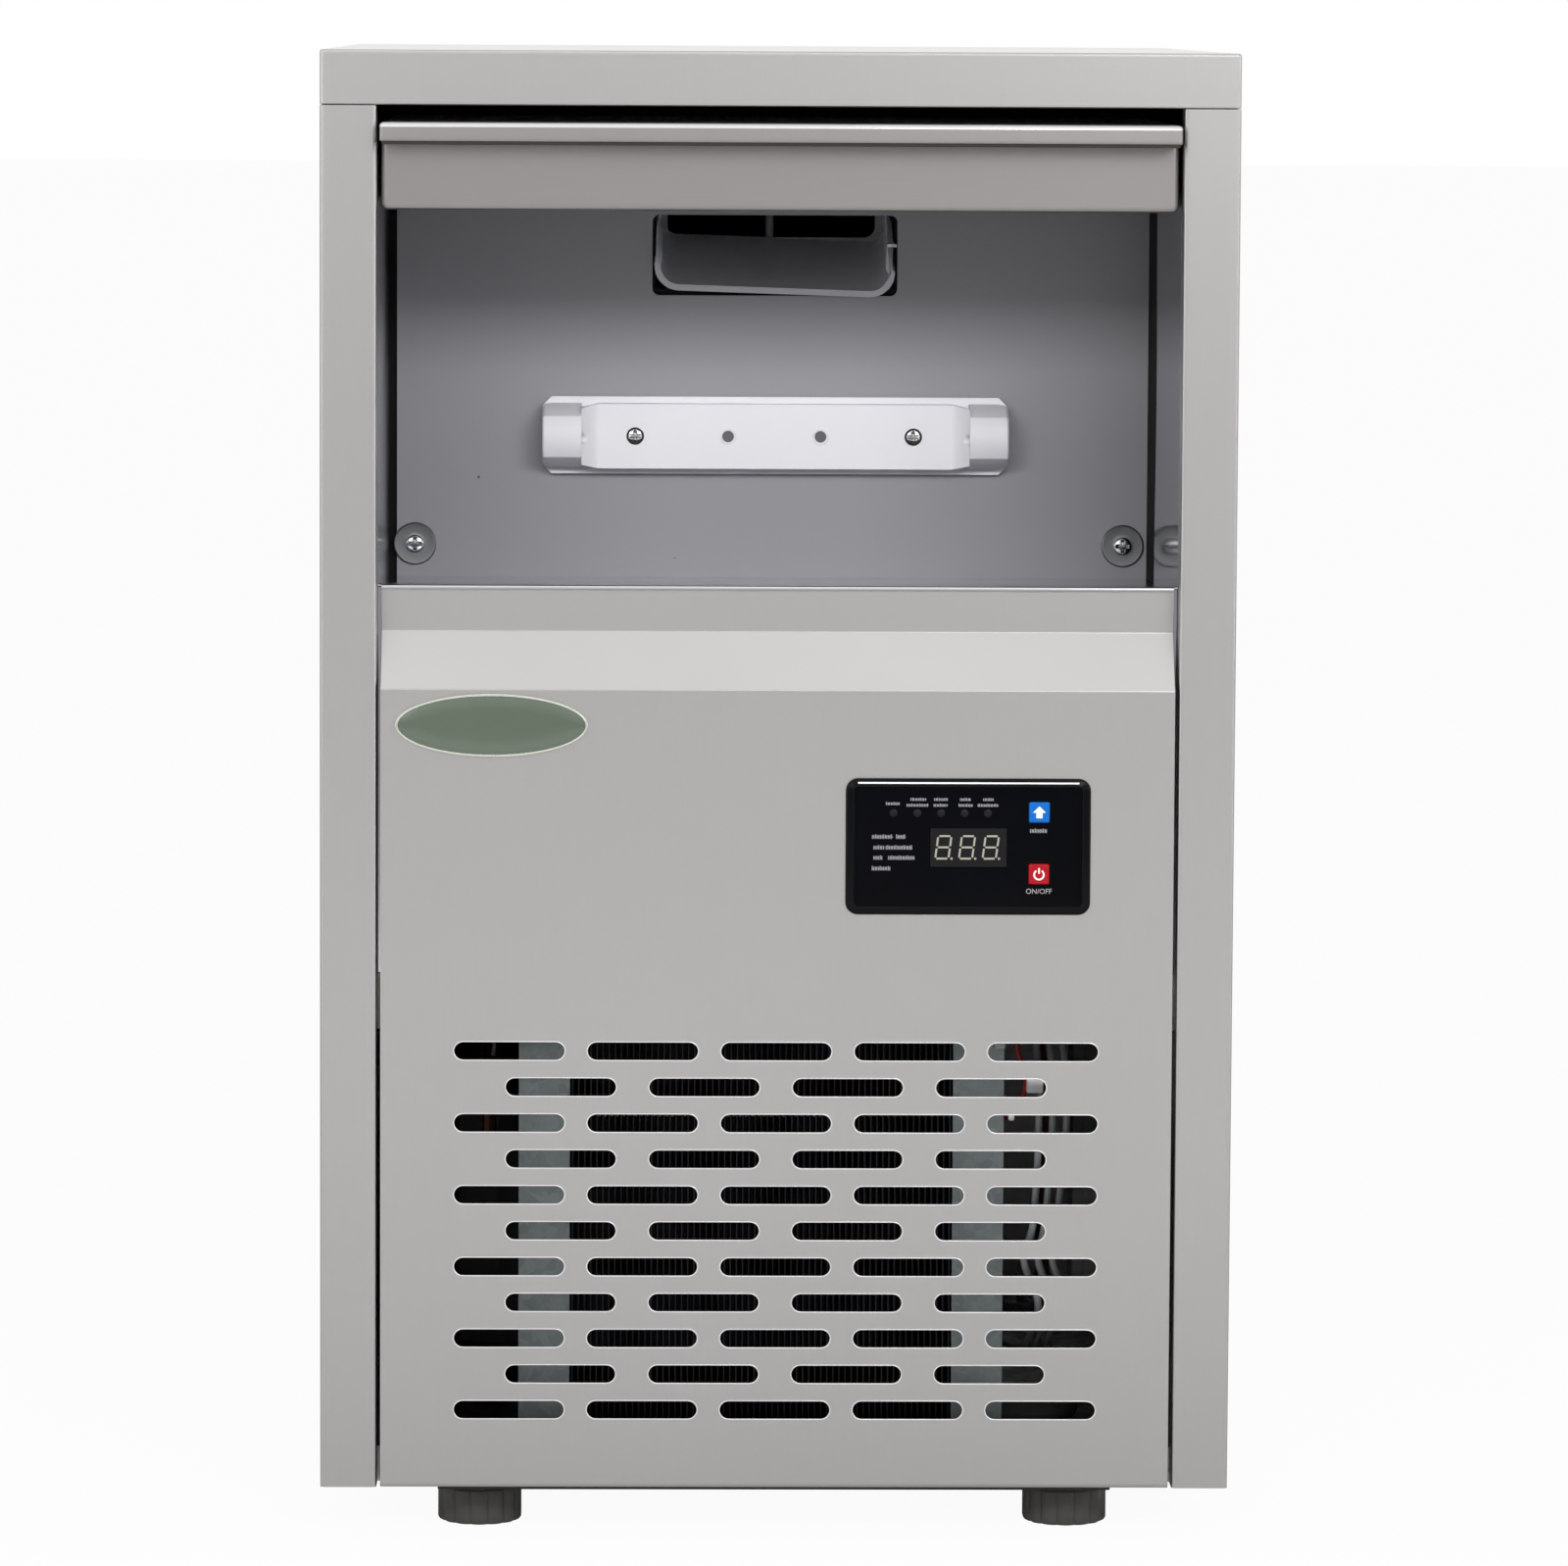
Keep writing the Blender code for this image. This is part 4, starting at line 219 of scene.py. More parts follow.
def sheetMetal(place, border, holes, thick, lip=0.0003, folds=(), lipSteps=3):
    # the flat pattern is triangulated round its holes, and its front, lips and back follow place
    loops = [grown(border, -lip)] + [grown(hole, lip) for hole in holes]
    starts = np.cumsum([0] + [len(loop) for loop in loops])
    flat = np.vstack(loops)
    edges = np.vstack([np.stack([np.arange(n), (np.arange(n) + 1) % n], -1) + start
                       for n, start in zip(map(len, loops), starts)])
    edges = edges.tolist() + [list(fold) for fold in folds]
    _, _, triangles, sources, _, _ = delaunay_2d_cdt([Vector(p) for p in flat.tolist()], edges, [], 0,
                                                   limits["pattern"])
    source = np.array([origins[0] for origins in sources])
    triangles = source[np.array([t for t in triangles if len(t) == 3])]
    middles = flat[triangles].mean(1)
    keep = np.ones(len(triangles), bool)
    for loop in loops[1:]:
        keep &= ~within(middles, loop)
    triangles = triangles[keep]
    exact = np.vstack([border] + list(holes))
    turn = np.linspace(0, math.pi / 2, lipSteps + 1)
    layers = [(flat, 0.0)]
    for angle in turn[1:]:
        share = math.sin(angle)
        layers.append((flat * (1 - share) + exact * share, lip * (1 - math.cos(angle))))
    layers.append((exact, thick))
    size = len(flat)
    points = np.vstack([place(layer, depth) for layer, depth in layers])
    walls = []
    for start, loop in zip(starts, loops):
        ring = np.arange(len(loop)) + start
        after = np.roll(ring, -1)
        for k in np.arange(len(layers) - 1) * size:
            walls.append(np.stack([ring + k, after + k, after + k + size, ring + k + size], -1))
    return points, [triangles, triangles[:, ::-1] + size * (len(layers) - 1), np.vstack(walls)]


def bentSheet(corners, radius, span, axes, thick, holes=(), lip=0.0003):
    # a folded sheet: corners give its outer line in the last two axes, span its reach along the first
    line = bentLine(corners, radius)
    arc = line[2]
    inner = arc[1:-1]
    low, high = span
    up = np.stack([np.full(len(inner), high), inner], -1)
    down = np.stack([np.full(len(inner), low), inner[::-1]], -1)
    border = np.vstack([[(low, arc[0]), (high, arc[0])], up, [(high, arc[-1]), (low, arc[-1])], down])
    count = len(inner)
    folds = [(2 + k, 2 * count + 3 - k) for k in range(count)]
    return sheetMetal(folded(line, axes), border, list(holes), thick, lip, folds)


def flatPlate(border, holes, y, thick, lipSteps=2, lip=0.00015):
    # a flat sheet that faces the front, its pattern drawn in x and z
    line = bentLine([(y, 0.0), (y, 1.0)], limits["radius"])
    return sheetMetal(folded(line, (0, 1, 2)), border, holes, thick, lip, lipSteps=lipSteps)


def longSlot(x, y, length, tall, steps=10):
    angle = np.linspace(-math.pi / 2, math.pi / 2, steps + 1)
    right = np.stack([x + length / 2 - tall / 2 + tall / 2 * np.cos(angle), y + tall / 2 * np.sin(angle)], -1)
    left = np.array([2 * x, 2 * y]) - right
    return np.vstack([right, left])


def box(low, high):
    # a plain block, as the base that bevels finish
    flat = roundedRectangle(low[0], low[1], high[0], high[1], 0.0, 0)
    return stacked(flat, [(0, low[2]), (0, high[2])], "z")


# a shape becomes a piece that rides on a body

def newObject(name, data):
    made = bpy.data.objects.new(name, data)
    collection.objects.link(made)
    return made


def cleanMesh(name, shell):
    # a mesh of a shell, its seams joined and its faces turned outwards
    points, faces = shell
    mesh = bpy.data.meshes.new(name)
    mesh.from_pydata(points.tolist(), [], [face for block in faces for face in block.tolist()])
    work = bmesh.new()
    work.from_mesh(mesh)
    bmesh.ops.remove_doubles(work, verts=work.verts, dist=limits["merge"])
    bmesh.ops.recalc_face_normals(work, faces=work.faces)
    work.to_mesh(mesh)
    work.free()
    return mesh


def keepFlat(piece):
    # large flat faces keep their own normal
    piece.modifiers.new("faces", "WEIGHTED_NORMAL").keep_sharp = True


def makePiece(name, shell, look, slot=None, stands=(), body="cabinet", crease=32, bevel=None, segments=3,
              even=False):
    # a finished piece on its body, in place of the nodes that it stands for
    mesh = cleanMesh(name, shell)
    mesh.materials.append(finishes[look])
    piece = newObject(name, mesh)
    mesh.shade_smooth()
    if bevel:
        rounding = piece.modifiers.new("edges", "BEVEL")
        rounding.width = bevel
        rounding.segments = segments
        rounding.limit_method = "ANGLE"
        rounding.angle_limit = math.radians(crease)
    else:
        mesh.set_sharp_from_angle(angle=math.radians(crease))
    if bevel or even:
        keepFlat(piece)
    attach(piece, body)
    if stands:
        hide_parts(*stands)
    slot or look
    return piece


def carve(piece, *shells, crease=38):
    # closed shells taken out of a piece, with the result kept as its mesh
    cutters = []
    for index, shell in enumerate(shells):
        name = f"{piece.name}Cutter{index}"
        cutter = newObject(name, cleanMesh(name, shell))
        cutters.append(cutter)
        taking = piece.modifiers.new(name, "BOOLEAN")
        taking.solver = "EXACT"
        taking.operation = "DIFFERENCE"
        taking.object = cutter
    bpy.context.view_layer.update()
    mesh = bpy.data.meshes.new_from_object(piece.evaluated_get(bpy.context.evaluated_depsgraph_get()))
    piece.modifiers.clear()
    piece.data = mesh
    mesh.shade_smooth()
    mesh.set_sharp_from_angle(angle=math.radians(crease))
    keepFlat(piece)
    for cutter in cutters:
        bpy.data.meshes.remove(cutter.data)


# effects that the finishes share

def effectGroup(name, inputs, outputs):
    group = bpy.data.node_groups.new(name, "ShaderNodeTree")
    for label, kind, value in inputs:
        socket = group.interface.new_socket(label, in_out="INPUT", socket_type="NodeSocket" + kind)
        if value is not None:
            socket.default_value = value
    for label, kind in outputs:
        group.interface.new_socket(label, in_out="OUTPUT", socket_type="NodeSocket" + kind)
    given = group.nodes.new("NodeGroupInput").outputs
    return group, given, group.nodes.new("NodeGroupOutput").inputs


def newNode(tree, kind, links=(), **settings):
    node = tree.nodes.new("ShaderNode" + kind)
    for key, value in settings.items():
        setattr(node, key, value)
    for socket, source in links:
        if hasattr(source, "is_output"):
            tree.links.new(source, node.inputs[socket])
        else:
            node.inputs[socket].default_value = source
    return node


def mathNode(tree, operation, *values, clamp=False):
    return newNode(tree, "Math", list(enumerate(values)), operation=operation, use_clamp=clamp).outputs[0]


def mixColour(tree, share, first, second):
    return newNode(tree, "Mix", [(0, share), (6, first), (7, second)], data_type="RGBA").outputs[2]


def noiseNode(tree, vector, scale, detail, rough):
    links = [("Vector", vector), ("Scale", scale), ("Detail", detail), ("Roughness", rough)]
    return newNode(tree, "TexNoise", links).outputs["Fac"]


def fromMiddle(tree, value):
    return mathNode(tree, "SUBTRACT", value, 0.5)


def shaded(tree, colour, value, amount):
    # a colour made lighter or darker by how far a value lies from its middle
    shade = mathNode(tree, "MULTIPLY_ADD", fromMiddle(tree, value), amount, 1.0)
    return newNode(tree, "VectorMath", [(0, colour), ("Scale", shade)], operation="SCALE").outputs[0]


grainLook = {"detail": 3.0, "rough": 0.6, "patchDetail": 4.0, "patchRough": 0.55, "patchRange": (0.35, 0.7),
             "spreadGain": 4.0}
spangleLook = {"bendScale": 90.0, "bendReach": 0.006}
grey = (0.5, 0.5, 0.5, 1)


def grainGroup():
    # stretched fine grain, broad patches and small smudges over one colour
    tree, given, out = effectGroup("grainAndSmudge", [
        ("Vector", "Vector", None), ("Grain Vector", "Vector", None), ("Colour", "Color", grey),
        ("Patch Colour", "Color", grey), ("Patch Scale", "Float", 6.0), ("Patch Amount", "Float", 0.3),
        ("Grain Amount", "Float", 0.1), ("Roughness", "Float", 0.3), ("Roughness Spread", "Float", 0.06)],
        [("Colour", "Color"), ("Roughness", "Float"), ("Height", "Float")])
    grain = noiseNode(tree, given["Grain Vector"], 1.0, grainLook["detail"], grainLook["rough"])
    patch = noiseNode(tree, given["Vector"], given["Patch Scale"], grainLook["patchDetail"],
                      grainLook["patchRough"])
    start, end = grainLook["patchRange"]
    spread = newNode(tree, "MapRange", [(0, patch), (1, start), (2, end), (3, 0.0), (4, 1.0)]).outputs[0]
    share = mathNode(tree, "MULTIPLY", spread, given["Patch Amount"])
    colour = mixColour(tree, share, given["Colour"], given["Patch Colour"])
    tree.links.new(shaded(tree, colour, grain, given["Grain Amount"]), out["Colour"])
    wander = mathNode(tree, "MULTIPLY", fromMiddle(tree, patch), given["Roughness Spread"])
    gained = mathNode(tree, "MULTIPLY", wander, grainLook["spreadGain"])
    tree.links.new(mathNode(tree, "ADD", gained, given["Roughness"], clamp=True), out["Roughness"])
    tree.links.new(grain, out["Height"])
    return tree


def dustGroup():
    # specks at scattered cell centres, thinned by a value that each cell has
    tree, given, out = effectGroup("dustSpecks", [
        ("Vector", "Vector", None), ("Colour", "Color", grey), ("Dust Colour", "Color", grey),
        ("Scale", "Float", 60.0), ("Size", "Float", 0.12), ("Amount", "Float", 0.5)], [("Colour", "Color")])
    cells = newNode(tree, "TexVoronoi", [("Vector", given["Vector"]), ("Scale", given["Scale"])])
    near = mathNode(tree, "LESS_THAN", cells.outputs["Distance"], given["Size"])
    picked = newNode(tree, "SeparateColor", [(0, cells.outputs["Color"])]).outputs[0]
    some = mathNode(tree, "LESS_THAN", picked, given["Amount"])
    mask = mathNode(tree, "MULTIPLY", near, some)
    tree.links.new(mixColour(tree, mask, given["Colour"], given["Dust Colour"]), out["Colour"])
    return tree


def spangleGroup():
    # zinc crystals: each cell a little lighter or darker than its neighbours
    tree, given, out = effectGroup("zincSpangle", [
        ("Vector", "Vector", None), ("Colour", "Color", grey), ("Scale", "Float", 150.0),
        ("Contrast", "Float", 0.35)], [("Colour", "Color")])
    bent = newNode(tree, "TexNoise", [("Vector", given["Vector"]), ("Scale", spangleLook["bendScale"])])
    reach = (spangleLook["bendReach"],) * 3
    moved = newNode(tree, "VectorMath", [(0, bent.outputs["Color"]), (1, reach), (2, given["Vector"])],
                    operation="MULTIPLY_ADD").outputs[0]
    cells = newNode(tree, "TexVoronoi", [("Vector", moved), ("Scale", given["Scale"])])
    value = newNode(tree, "SeparateColor", [(0, cells.outputs["Color"])]).outputs[1]
    tree.links.new(shaded(tree, given["Colour"], value, given["Contrast"]), out["Colour"])
    return tree


effects = {"grain": grainGroup(), "dust": dustGroup(), "spangle": spangleGroup()}


def makeMaterial(name, colour, patch, rough, metallic=0.0, stretch=400, grain=0.06, patchScale=7.0,
                 patchAmount=0.35, spread=0.04, bump=0.15, bumpDepth=0.00004, coat=0.0, coatRough=0.05,
                 dust=None, spangle=None, ior=1.5):
    # a surface in Object coordinates: its grain and patches, then zinc crystals or specks of dust
    made = bpy.data.materials.new(name)
    made.use_nodes = True
    tree = made.node_tree
    shader = tree.nodes["Principled BSDF"]
    where = newNode(tree, "TexCoord").outputs["Object"]
    stretch = stretch if isinstance(stretch, tuple) else (stretch,) * 3
    fine = newNode(tree, "Mapping", [("Vector", where), ("Scale", stretch)]).outputs[0]
    look = newNode(tree, "Group", [
        ("Vector", where), ("Grain Vector", fine), ("Colour", (*colour, 1)), ("Patch Colour", (*patch, 1)),
        ("Patch Scale", patchScale), ("Patch Amount", patchAmount), ("Grain Amount", grain),
        ("Roughness", rough), ("Roughness Spread", spread)], node_tree=effects["grain"]).outputs
    shade = look["Colour"]
    for kind, labels, values in (("spangle", ("Scale", "Contrast"), spangle),
                                 ("dust", ("Dust Colour", "Scale", "Size", "Amount"), dust)):
        if values:
            links = [("Vector", where), ("Colour", shade), *zip(labels, values)]
            shade = newNode(tree, "Group", links, node_tree=effects[kind]).outputs["Colour"]
    tree.links.new(shade, shader.inputs["Base Color"])
    tree.links.new(look["Roughness"], shader.inputs["Roughness"])
    for label, value in (("Metallic", metallic), ("Coat Weight", coat), ("Coat Roughness", coatRough),
                         ("IOR", ior)):
        shader.inputs[label].default_value = value
    if bump:
        links = [("Strength", bump), ("Distance", bumpDepth), ("Height", look["Height"])]
        tree.links.new(newNode(tree, "Bump", links).outputs[0], shader.inputs["Normal"])
    return made


upright = (2600, 2600, 40)  # grain that runs up and down
level = (40, 2600, 2600)  # grain that runs from side to side
inward = (2600, 40, 2600)  # grain that runs from front to back, and up and down once the door is shut
steel = (0.475, 0.466, 0.462)
steelPatch = (0.445, 0.432, 0.425)
# each: name, colour, colour of its patches, roughness, metallic, stretch and strength of its grain, scale and
# share of its patches, spread of its roughness, strength and depth of its bump
finishes = {
    "stainless": makeMaterial(
        "stainless", steel, steelPatch, 0.33, 1.0, upright, 0.05, 5.0, 0.5, 0.02, 0.10),
    "polished": makeMaterial(
        "polished", (0.60, 0.60, 0.62), (0.55, 0.55, 0.58), 0.16, 1.0, level, 0.05, 9.0, 0.5, 0.03, 0.06),
    "galvanised": makeMaterial(
        "galvanised", (0.56, 0.58, 0.58), (0.47, 0.49, 0.50), 0.42, 1.0, 500, 0.06, 20.0, 0.5, 0.05, 0.1,
        spangle=(170.0, 0.45)),
    "copper": makeMaterial(
        "copper", (0.40, 0.19, 0.11), (0.24, 0.12, 0.075), 0.40, 1.0, 300, 0.1, 35.0, 0.6, 0.06),
    "bronze": makeMaterial(
        "bronze", (0.60, 0.42, 0.18), (0.42, 0.29, 0.12), 0.33, 1.0, 500, 0.1, 30.0, 0.5, 0.05),
    "cast_aluminium": makeMaterial(
        "castAluminium", (0.50, 0.51, 0.52), (0.38, 0.39, 0.40), 0.52, 1.0, 900, 0.25, 30.0, 0.4, 0.05,
        0.6, 0.0002),
    "motor_casing": makeMaterial(
        "motorCasing", (0.075, 0.078, 0.084), (0.045, 0.046, 0.05), 0.45, 0.5, 800, 0.15, 24.0, 0.4, 0.05,
        0.3, 0.0001),
    "enamel": makeMaterial(
        "blackEnamel", (0.012, 0.012, 0.013), (0.022, 0.021, 0.020), 0.32, 0.0, 300, 0.2, 18.0, 0.5, 0.06,
        0.3, 0.0001, coat=0.3),
    "fins": makeMaterial(
        "blackFins", (0.022, 0.023, 0.026), (0.045, 0.047, 0.052), 0.34, 0.7, 700, 0.3, 40.0, 0.5, 0.06,
        0.2),
    "dark_plastic": makeMaterial(
        "footPlastic", (0.052, 0.050, 0.045), (0.066, 0.063, 0.057), 0.5, 0.0, 1500, 0.15, 30.0, 0.4, 0.06,
        0.35, 0.00006),
    "grey_plastic": makeMaterial(
        "binWallGrey", (0.318, 0.318, 0.335), (0.299, 0.296, 0.318), 0.42, 0.0, 900, 0.03, 6.0, 0.5, 0.05,
        0.12, dust=((0.06, 0.06, 0.06, 1), 70.0, 0.045, 0.10)),
    "chute_plastic": makeMaterial(
        "chuteGrey", (0.82, 0.835, 0.865), (0.73, 0.745, 0.78), 0.42, 0.0, 1200, 0.05, 30.0, 0.4, 0.05,
        0.2),
    "white_plastic": makeMaterial(
        "whiteMoulding", (0.89, 0.885, 0.92), (0.85, 0.845, 0.89), 0.36, 0.0, 1500, 0.02, 25.0, 0.4, 0.05,
        0.15),
    "gloss_black": makeMaterial(
        "glossBlack", (0.0020, 0.0022, 0.0030), (0.0028, 0.0032, 0.0042), 0.12, 0.0, 900, 0.1, 20.0, 0.5,
        0.02, 0.04, ior=1.13),
    "display": makeMaterial(
        "displayWindow", (0.0125, 0.0128, 0.0138), (0.0102, 0.0105, 0.0115), 0.28, 0.0, 900, 0.1, 40.0,
        0.5, 0.02, 0.05, ior=1.15),
    "blue": makeMaterial(
        "buttonBlue", (0.003, 0.128, 0.48), (0.0025, 0.10, 0.40), 0.30, 0.0, 1500, 0.05, 60.0, 0.5, 0.04,
        0.15, ior=1.3),
    "red": makeMaterial(
        "buttonRed", (0.36, 0.005, 0.012), (0.29, 0.004, 0.008), 0.30, 0.0, 1500, 0.05, 60.0, 0.5, 0.04,
        0.15, ior=1.3),
    "badge_green": makeMaterial(
        "badgeGreen", (0.090, 0.116, 0.084), (0.067, 0.088, 0.063), 0.24, 0.0, 900, 0.05, 14.0, 0.6, 0.03,
        0.1, coat=0.5),
    "board": makeMaterial(
        "circuitBoard", (0.015, 0.13, 0.045), (0.01, 0.09, 0.03), 0.45, 0.0, 600, 0.3, 60.0, 0.6),
    "foam": makeMaterial(
        "whiteFoam", (0.76, 0.74, 0.68), (0.66, 0.62, 0.54), 0.85, 0.0, 350, 0.2, 16.0, 0.5, 0.03, 0.7,
        0.0006),
    "black_foam": makeMaterial(
        "blackFoam", (0.022, 0.022, 0.023), (0.035, 0.035, 0.036), 0.88, 0.0, 420, 0.3, 25.0, 0.5, 0.03,
        0.7, 0.0006),
    "hose": makeMaterial(
        "greyHose", (0.40, 0.41, 0.42), (0.33, 0.34, 0.35), 0.45, 0.0, 600, 0.08, 20.0, 0.4, 0.05, 0.25),
    "float": makeMaterial(
        "floatBlue", (0.28, 0.43, 0.62), (0.22, 0.36, 0.54), 0.55, 0.0, 500, 0.1, 30.0, 0.4, 0.05, 0.4,
        0.0002),
    "washer": makeMaterial(
        "dullWasher", (0.30, 0.31, 0.31), (0.24, 0.25, 0.25), 0.36, 1.0, 1200, 0.1, 50.0, 0.5, 0.06, 0.2),
    "screw": makeMaterial(
        "screwSteel", (0.62, 0.62, 0.63), (0.40, 0.40, 0.41), 0.17, 1.0, 800, 0.1, 80.0, 0.5, 0.05, 0.1),
    "rim": makeMaterial(
        "badgeRim", (0.66, 0.68, 0.60), (0.58, 0.60, 0.52), 0.25, 0.9, 900, 0.05, 40.0, 0.4, 0.04, 0.1),
    "ink": makeMaterial(
        "paleInk", (0.33, 0.33, 0.35), (0.27, 0.27, 0.29), 0.5, 0.0, 1500, 0.05, 90.0, 0.5, 0.05, 0.1),
    "digit": makeMaterial(
        "creamSegments", (0.36, 0.335, 0.28), (0.31, 0.29, 0.24), 0.45, 0.0, 1500, 0.05, 90.0, 0.5, 0.05,
        0.1),
    # white of the button symbols; on the control rim it paints a highlight
    "symbol": makeMaterial(
        "whitePrintAndHighlight", (0.82, 0.84, 0.86), (0.74, 0.76, 0.80), 0.4, 0.0, 1500, 0.05, 90.0, 0.5, 0.05, 0.1),
    "lamp": makeMaterial(
        "lampLens", (0.009, 0.0092, 0.010), (0.018, 0.018, 0.019), 0.18, 0.0, 900, 0.1, 200.0, 0.5, 0.04,
        0.1, coat=0.05, ior=1.2),
    "tubes": makeMaterial(
        "brightTube", (0.78, 0.79, 0.80), (0.60, 0.61, 0.62), 0.20, 1.0, 900, 0.1, 90.0, 0.5, 0.05, 0.1),
    "wireRed": makeMaterial(
        "redWire", (0.35, 0.012, 0.012), (0.25, 0.01, 0.01), 0.35, 0.0, 900, 0.05, 60.0, 0.5),
    "wireGrey": makeMaterial(
        "greyWire", (0.22, 0.23, 0.24), (0.16, 0.17, 0.18), 0.38, 0.0, 900, 0.05, 60.0, 0.5),
    # the door's steel, darker than the cabinet's: partly a different finish, partly painted shade under the
    # lip
    "doorShadedSteel": makeMaterial(
        "doorShadedSteel", (0.320, 0.305, 0.300), (0.296, 0.281, 0.274), 0.36, 1.0, level, 0.06, 6.0, 0.5, 0.03,
        0.10),
    "doorFace": makeMaterial("doorFace", steel, steelPatch, 0.33, 1.0, inward, 0.05, 5.0, 0.5, 0.02, 0.10),
    "linerSteel": makeMaterial(
        "linerSteel", (0.68, 0.68, 0.74), (0.62, 0.62, 0.69), 0.09, 1.0, upright, 0.05, 9.0, 0.5, 0.03,
        0.05),
    "bracketZinc": makeMaterial(
        "bracketZinc", (0.32, 0.355, 0.362), (0.264, 0.296, 0.304), 0.5, 1.0, 500, 0.2, 40.0, 0.6, 0.05,
        0.2, spangle=(260.0, 0.22)),
    # near-black that paints shade: on the bulkhead seen through the gaps round the bin, and on the strip in
    # the bin's rear corner
    "paintedShadeSteel": makeMaterial(
        "paintedShadeBulkhead", (0.012, 0.0115, 0.011), (0.018, 0.017, 0.016), 0.7, 0.0, 500, 0.2, 12.0, 0.5,
        ior=1.2),
    # brighter steel whose colour paints the highlight on the slots' rolled edges
    "paintedEdgeHighlight": makeMaterial(
        "paintedEdgeHighlight", (0.84, 0.83, 0.84), (0.78, 0.76, 0.76), 0.30, 1.0, 900, 0.1, 30.0, 0.5, 0.05, 0.1),
    "rimGloss": makeMaterial(
        "rimGloss", (0.003, 0.0032, 0.0035), (0.004, 0.0043, 0.005), 0.10, 0.0, 900, 0.1, 20.0, 0.5, 0.02,
        0.03, ior=1.2),
    "coverSteel": makeMaterial(
        "coverSteel", (0.470, 0.461, 0.457), (0.440, 0.427, 0.420), 0.33, 1.0, upright, 0.05, 5.0, 0.5,
        0.02, 0.10, coat=0.6),
    # brighter steel whose colour paints the highlight along the door lip's fold
    "paintedFoldHighlight": makeMaterial(
        "paintedFoldHighlight", (0.64, 0.64, 0.65), (0.58, 0.57, 0.57), 0.30, 1.0, 900, 0.1, 30.0, 0.5, 0.05, 0.1),
    # the chute's white plastic darkened to paint the shade on the throat plate
    "throatPaintedShadeGrey": makeMaterial(
        "throatPaintedShadeGrey", (0.26, 0.265, 0.28), (0.22, 0.225, 0.24), 0.5, 0.0, 1200, 0.05, 30.0, 0.4, 0.05,
        0.2),
    # near-black brown that paints shade: under the door's lip, in the bar's screw recesses and under the
    # front panel
    "paintedShadeBrown": makeMaterial(
        "paintedShadeBrown", (0.030, 0.024, 0.021), (0.045, 0.037, 0.032), 0.6, 0.0, 700, 0.2, 30.0, 0.5, 0.05,
        0.3, ior=1.3),
    # grey of the sensor bar's plugs; on the outlet pin and its lugs it paints the shade in the outlet
    "plugGreyAndPaintedShade": makeMaterial(
        "plugGreyAndPaintedShade", (0.135, 0.138, 0.142), (0.11, 0.112, 0.116), 0.5, 0.0, 900, 0.1, 60.0, 0.5, 0.05, 0.2),
    # near-black that paints shade: on the chute's shoulders and in its outlet
    "paintedShadeBlack": makeMaterial(
        "throatPaintedShadeBlack", (0.045, 0.045, 0.048), (0.035, 0.035, 0.037), 0.6, 0.0, 600, 0.1, 40.0, 0.5,
        ior=1.15),
}

for node in nodes.values():
    node.data.materials[0] = finishes[node.data.materials[0].name]
# the bulkhead takes a near-black that paints the shade in the gaps round the bin
for name, look in (("bin_liner", "linerSteel"), ("bin_bulkhead", "paintedShadeSteel"),
                   ("condenser_bracket_left", "bracketZinc"), ("condenser_bracket_right", "bracketZinc")):
    nodes[name].data.materials[0] = finishes[look]
print("stage: finishes made")


def spans(node):
    low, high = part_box(node)
    return np.array(low), np.array(high)


def middleOf(low, high):
    # the centre of a box as the front view shows it
    return (low[0] + high[0]) / 2, (low[2] + high[2]) / 2


faceY = spans("left_side_panel")[0][1]
sheetLook = {"slot": "stainless", "crease": 40, "even": True}
cabinet = {"bend": 0.0016, "thick": 0.001, "lip": 0.0002, "postReturn": 0.014, "rearFlange": 0.018}


def sidePanels():
    # the post, the side and the rear flange are one folded sheet, mirrored for the other side
    low, high = spans("left_side_panel")
    inner, rear = high[0], high[1]
    corners = [(inner, faceY + cabinet["postReturn"]), (inner, faceY), (low[0], faceY), (low[0], rear),
               (low[0] + cabinet["rearFlange"], rear)]
    points, faces = bentSheet(corners, cabinet["bend"], (low[2], high[2]), (2, 0, 1), cabinet["thick"],
                              lip=cabinet["lip"])
    for side, way in (("Left", 1), ("Right", -1)):
        makePiece("sidePanel" + side, (points * (way, 1, 1), faces), "stainless",
                  stands=[side.lower() + "_side_panel"], **sheetLook)


cover = {"wall": 0.001, "topRadius": 0.0010, "cornerRadius": 0.0018, "rim": 0.0004, "rimShares": (0.7, 0.4),
         "ledge": 0.002, "support": 0.0006, "sideSupport": 0.0005}


def topCover():
    # a shallow tray, open below: inner face, rolled lower rim, side and rounded top edge
    low, high = spans("top_cover")
    outline = roundedRectangle(low[0], low[1], high[0], high[1], cover["cornerRadius"])
    wall, rim, top = cover["wall"], cover["rim"], high[2]
    radius, support = cover["topRadius"], cover["support"]
    levels = [(wall + cover["ledge"], top - wall), (wall, top - wall), (wall, top - wall - support),
              (wall, low[2] + rim)]
    levels += [(wall * share, low[2]) for share in cover["rimShares"]]
    levels += [(0, low[2] + rim), (0, low[2] + rim * 2), (0, top - radius - cover["sideSupport"])]
    levels += quarterRound(radius, top, -1, 5)[::-1] + [(radius + support, top)]
    makePiece("topCover", stacked(outline, levels, "z"), "coverSteel", stands=["top_cover"], **sheetLook)


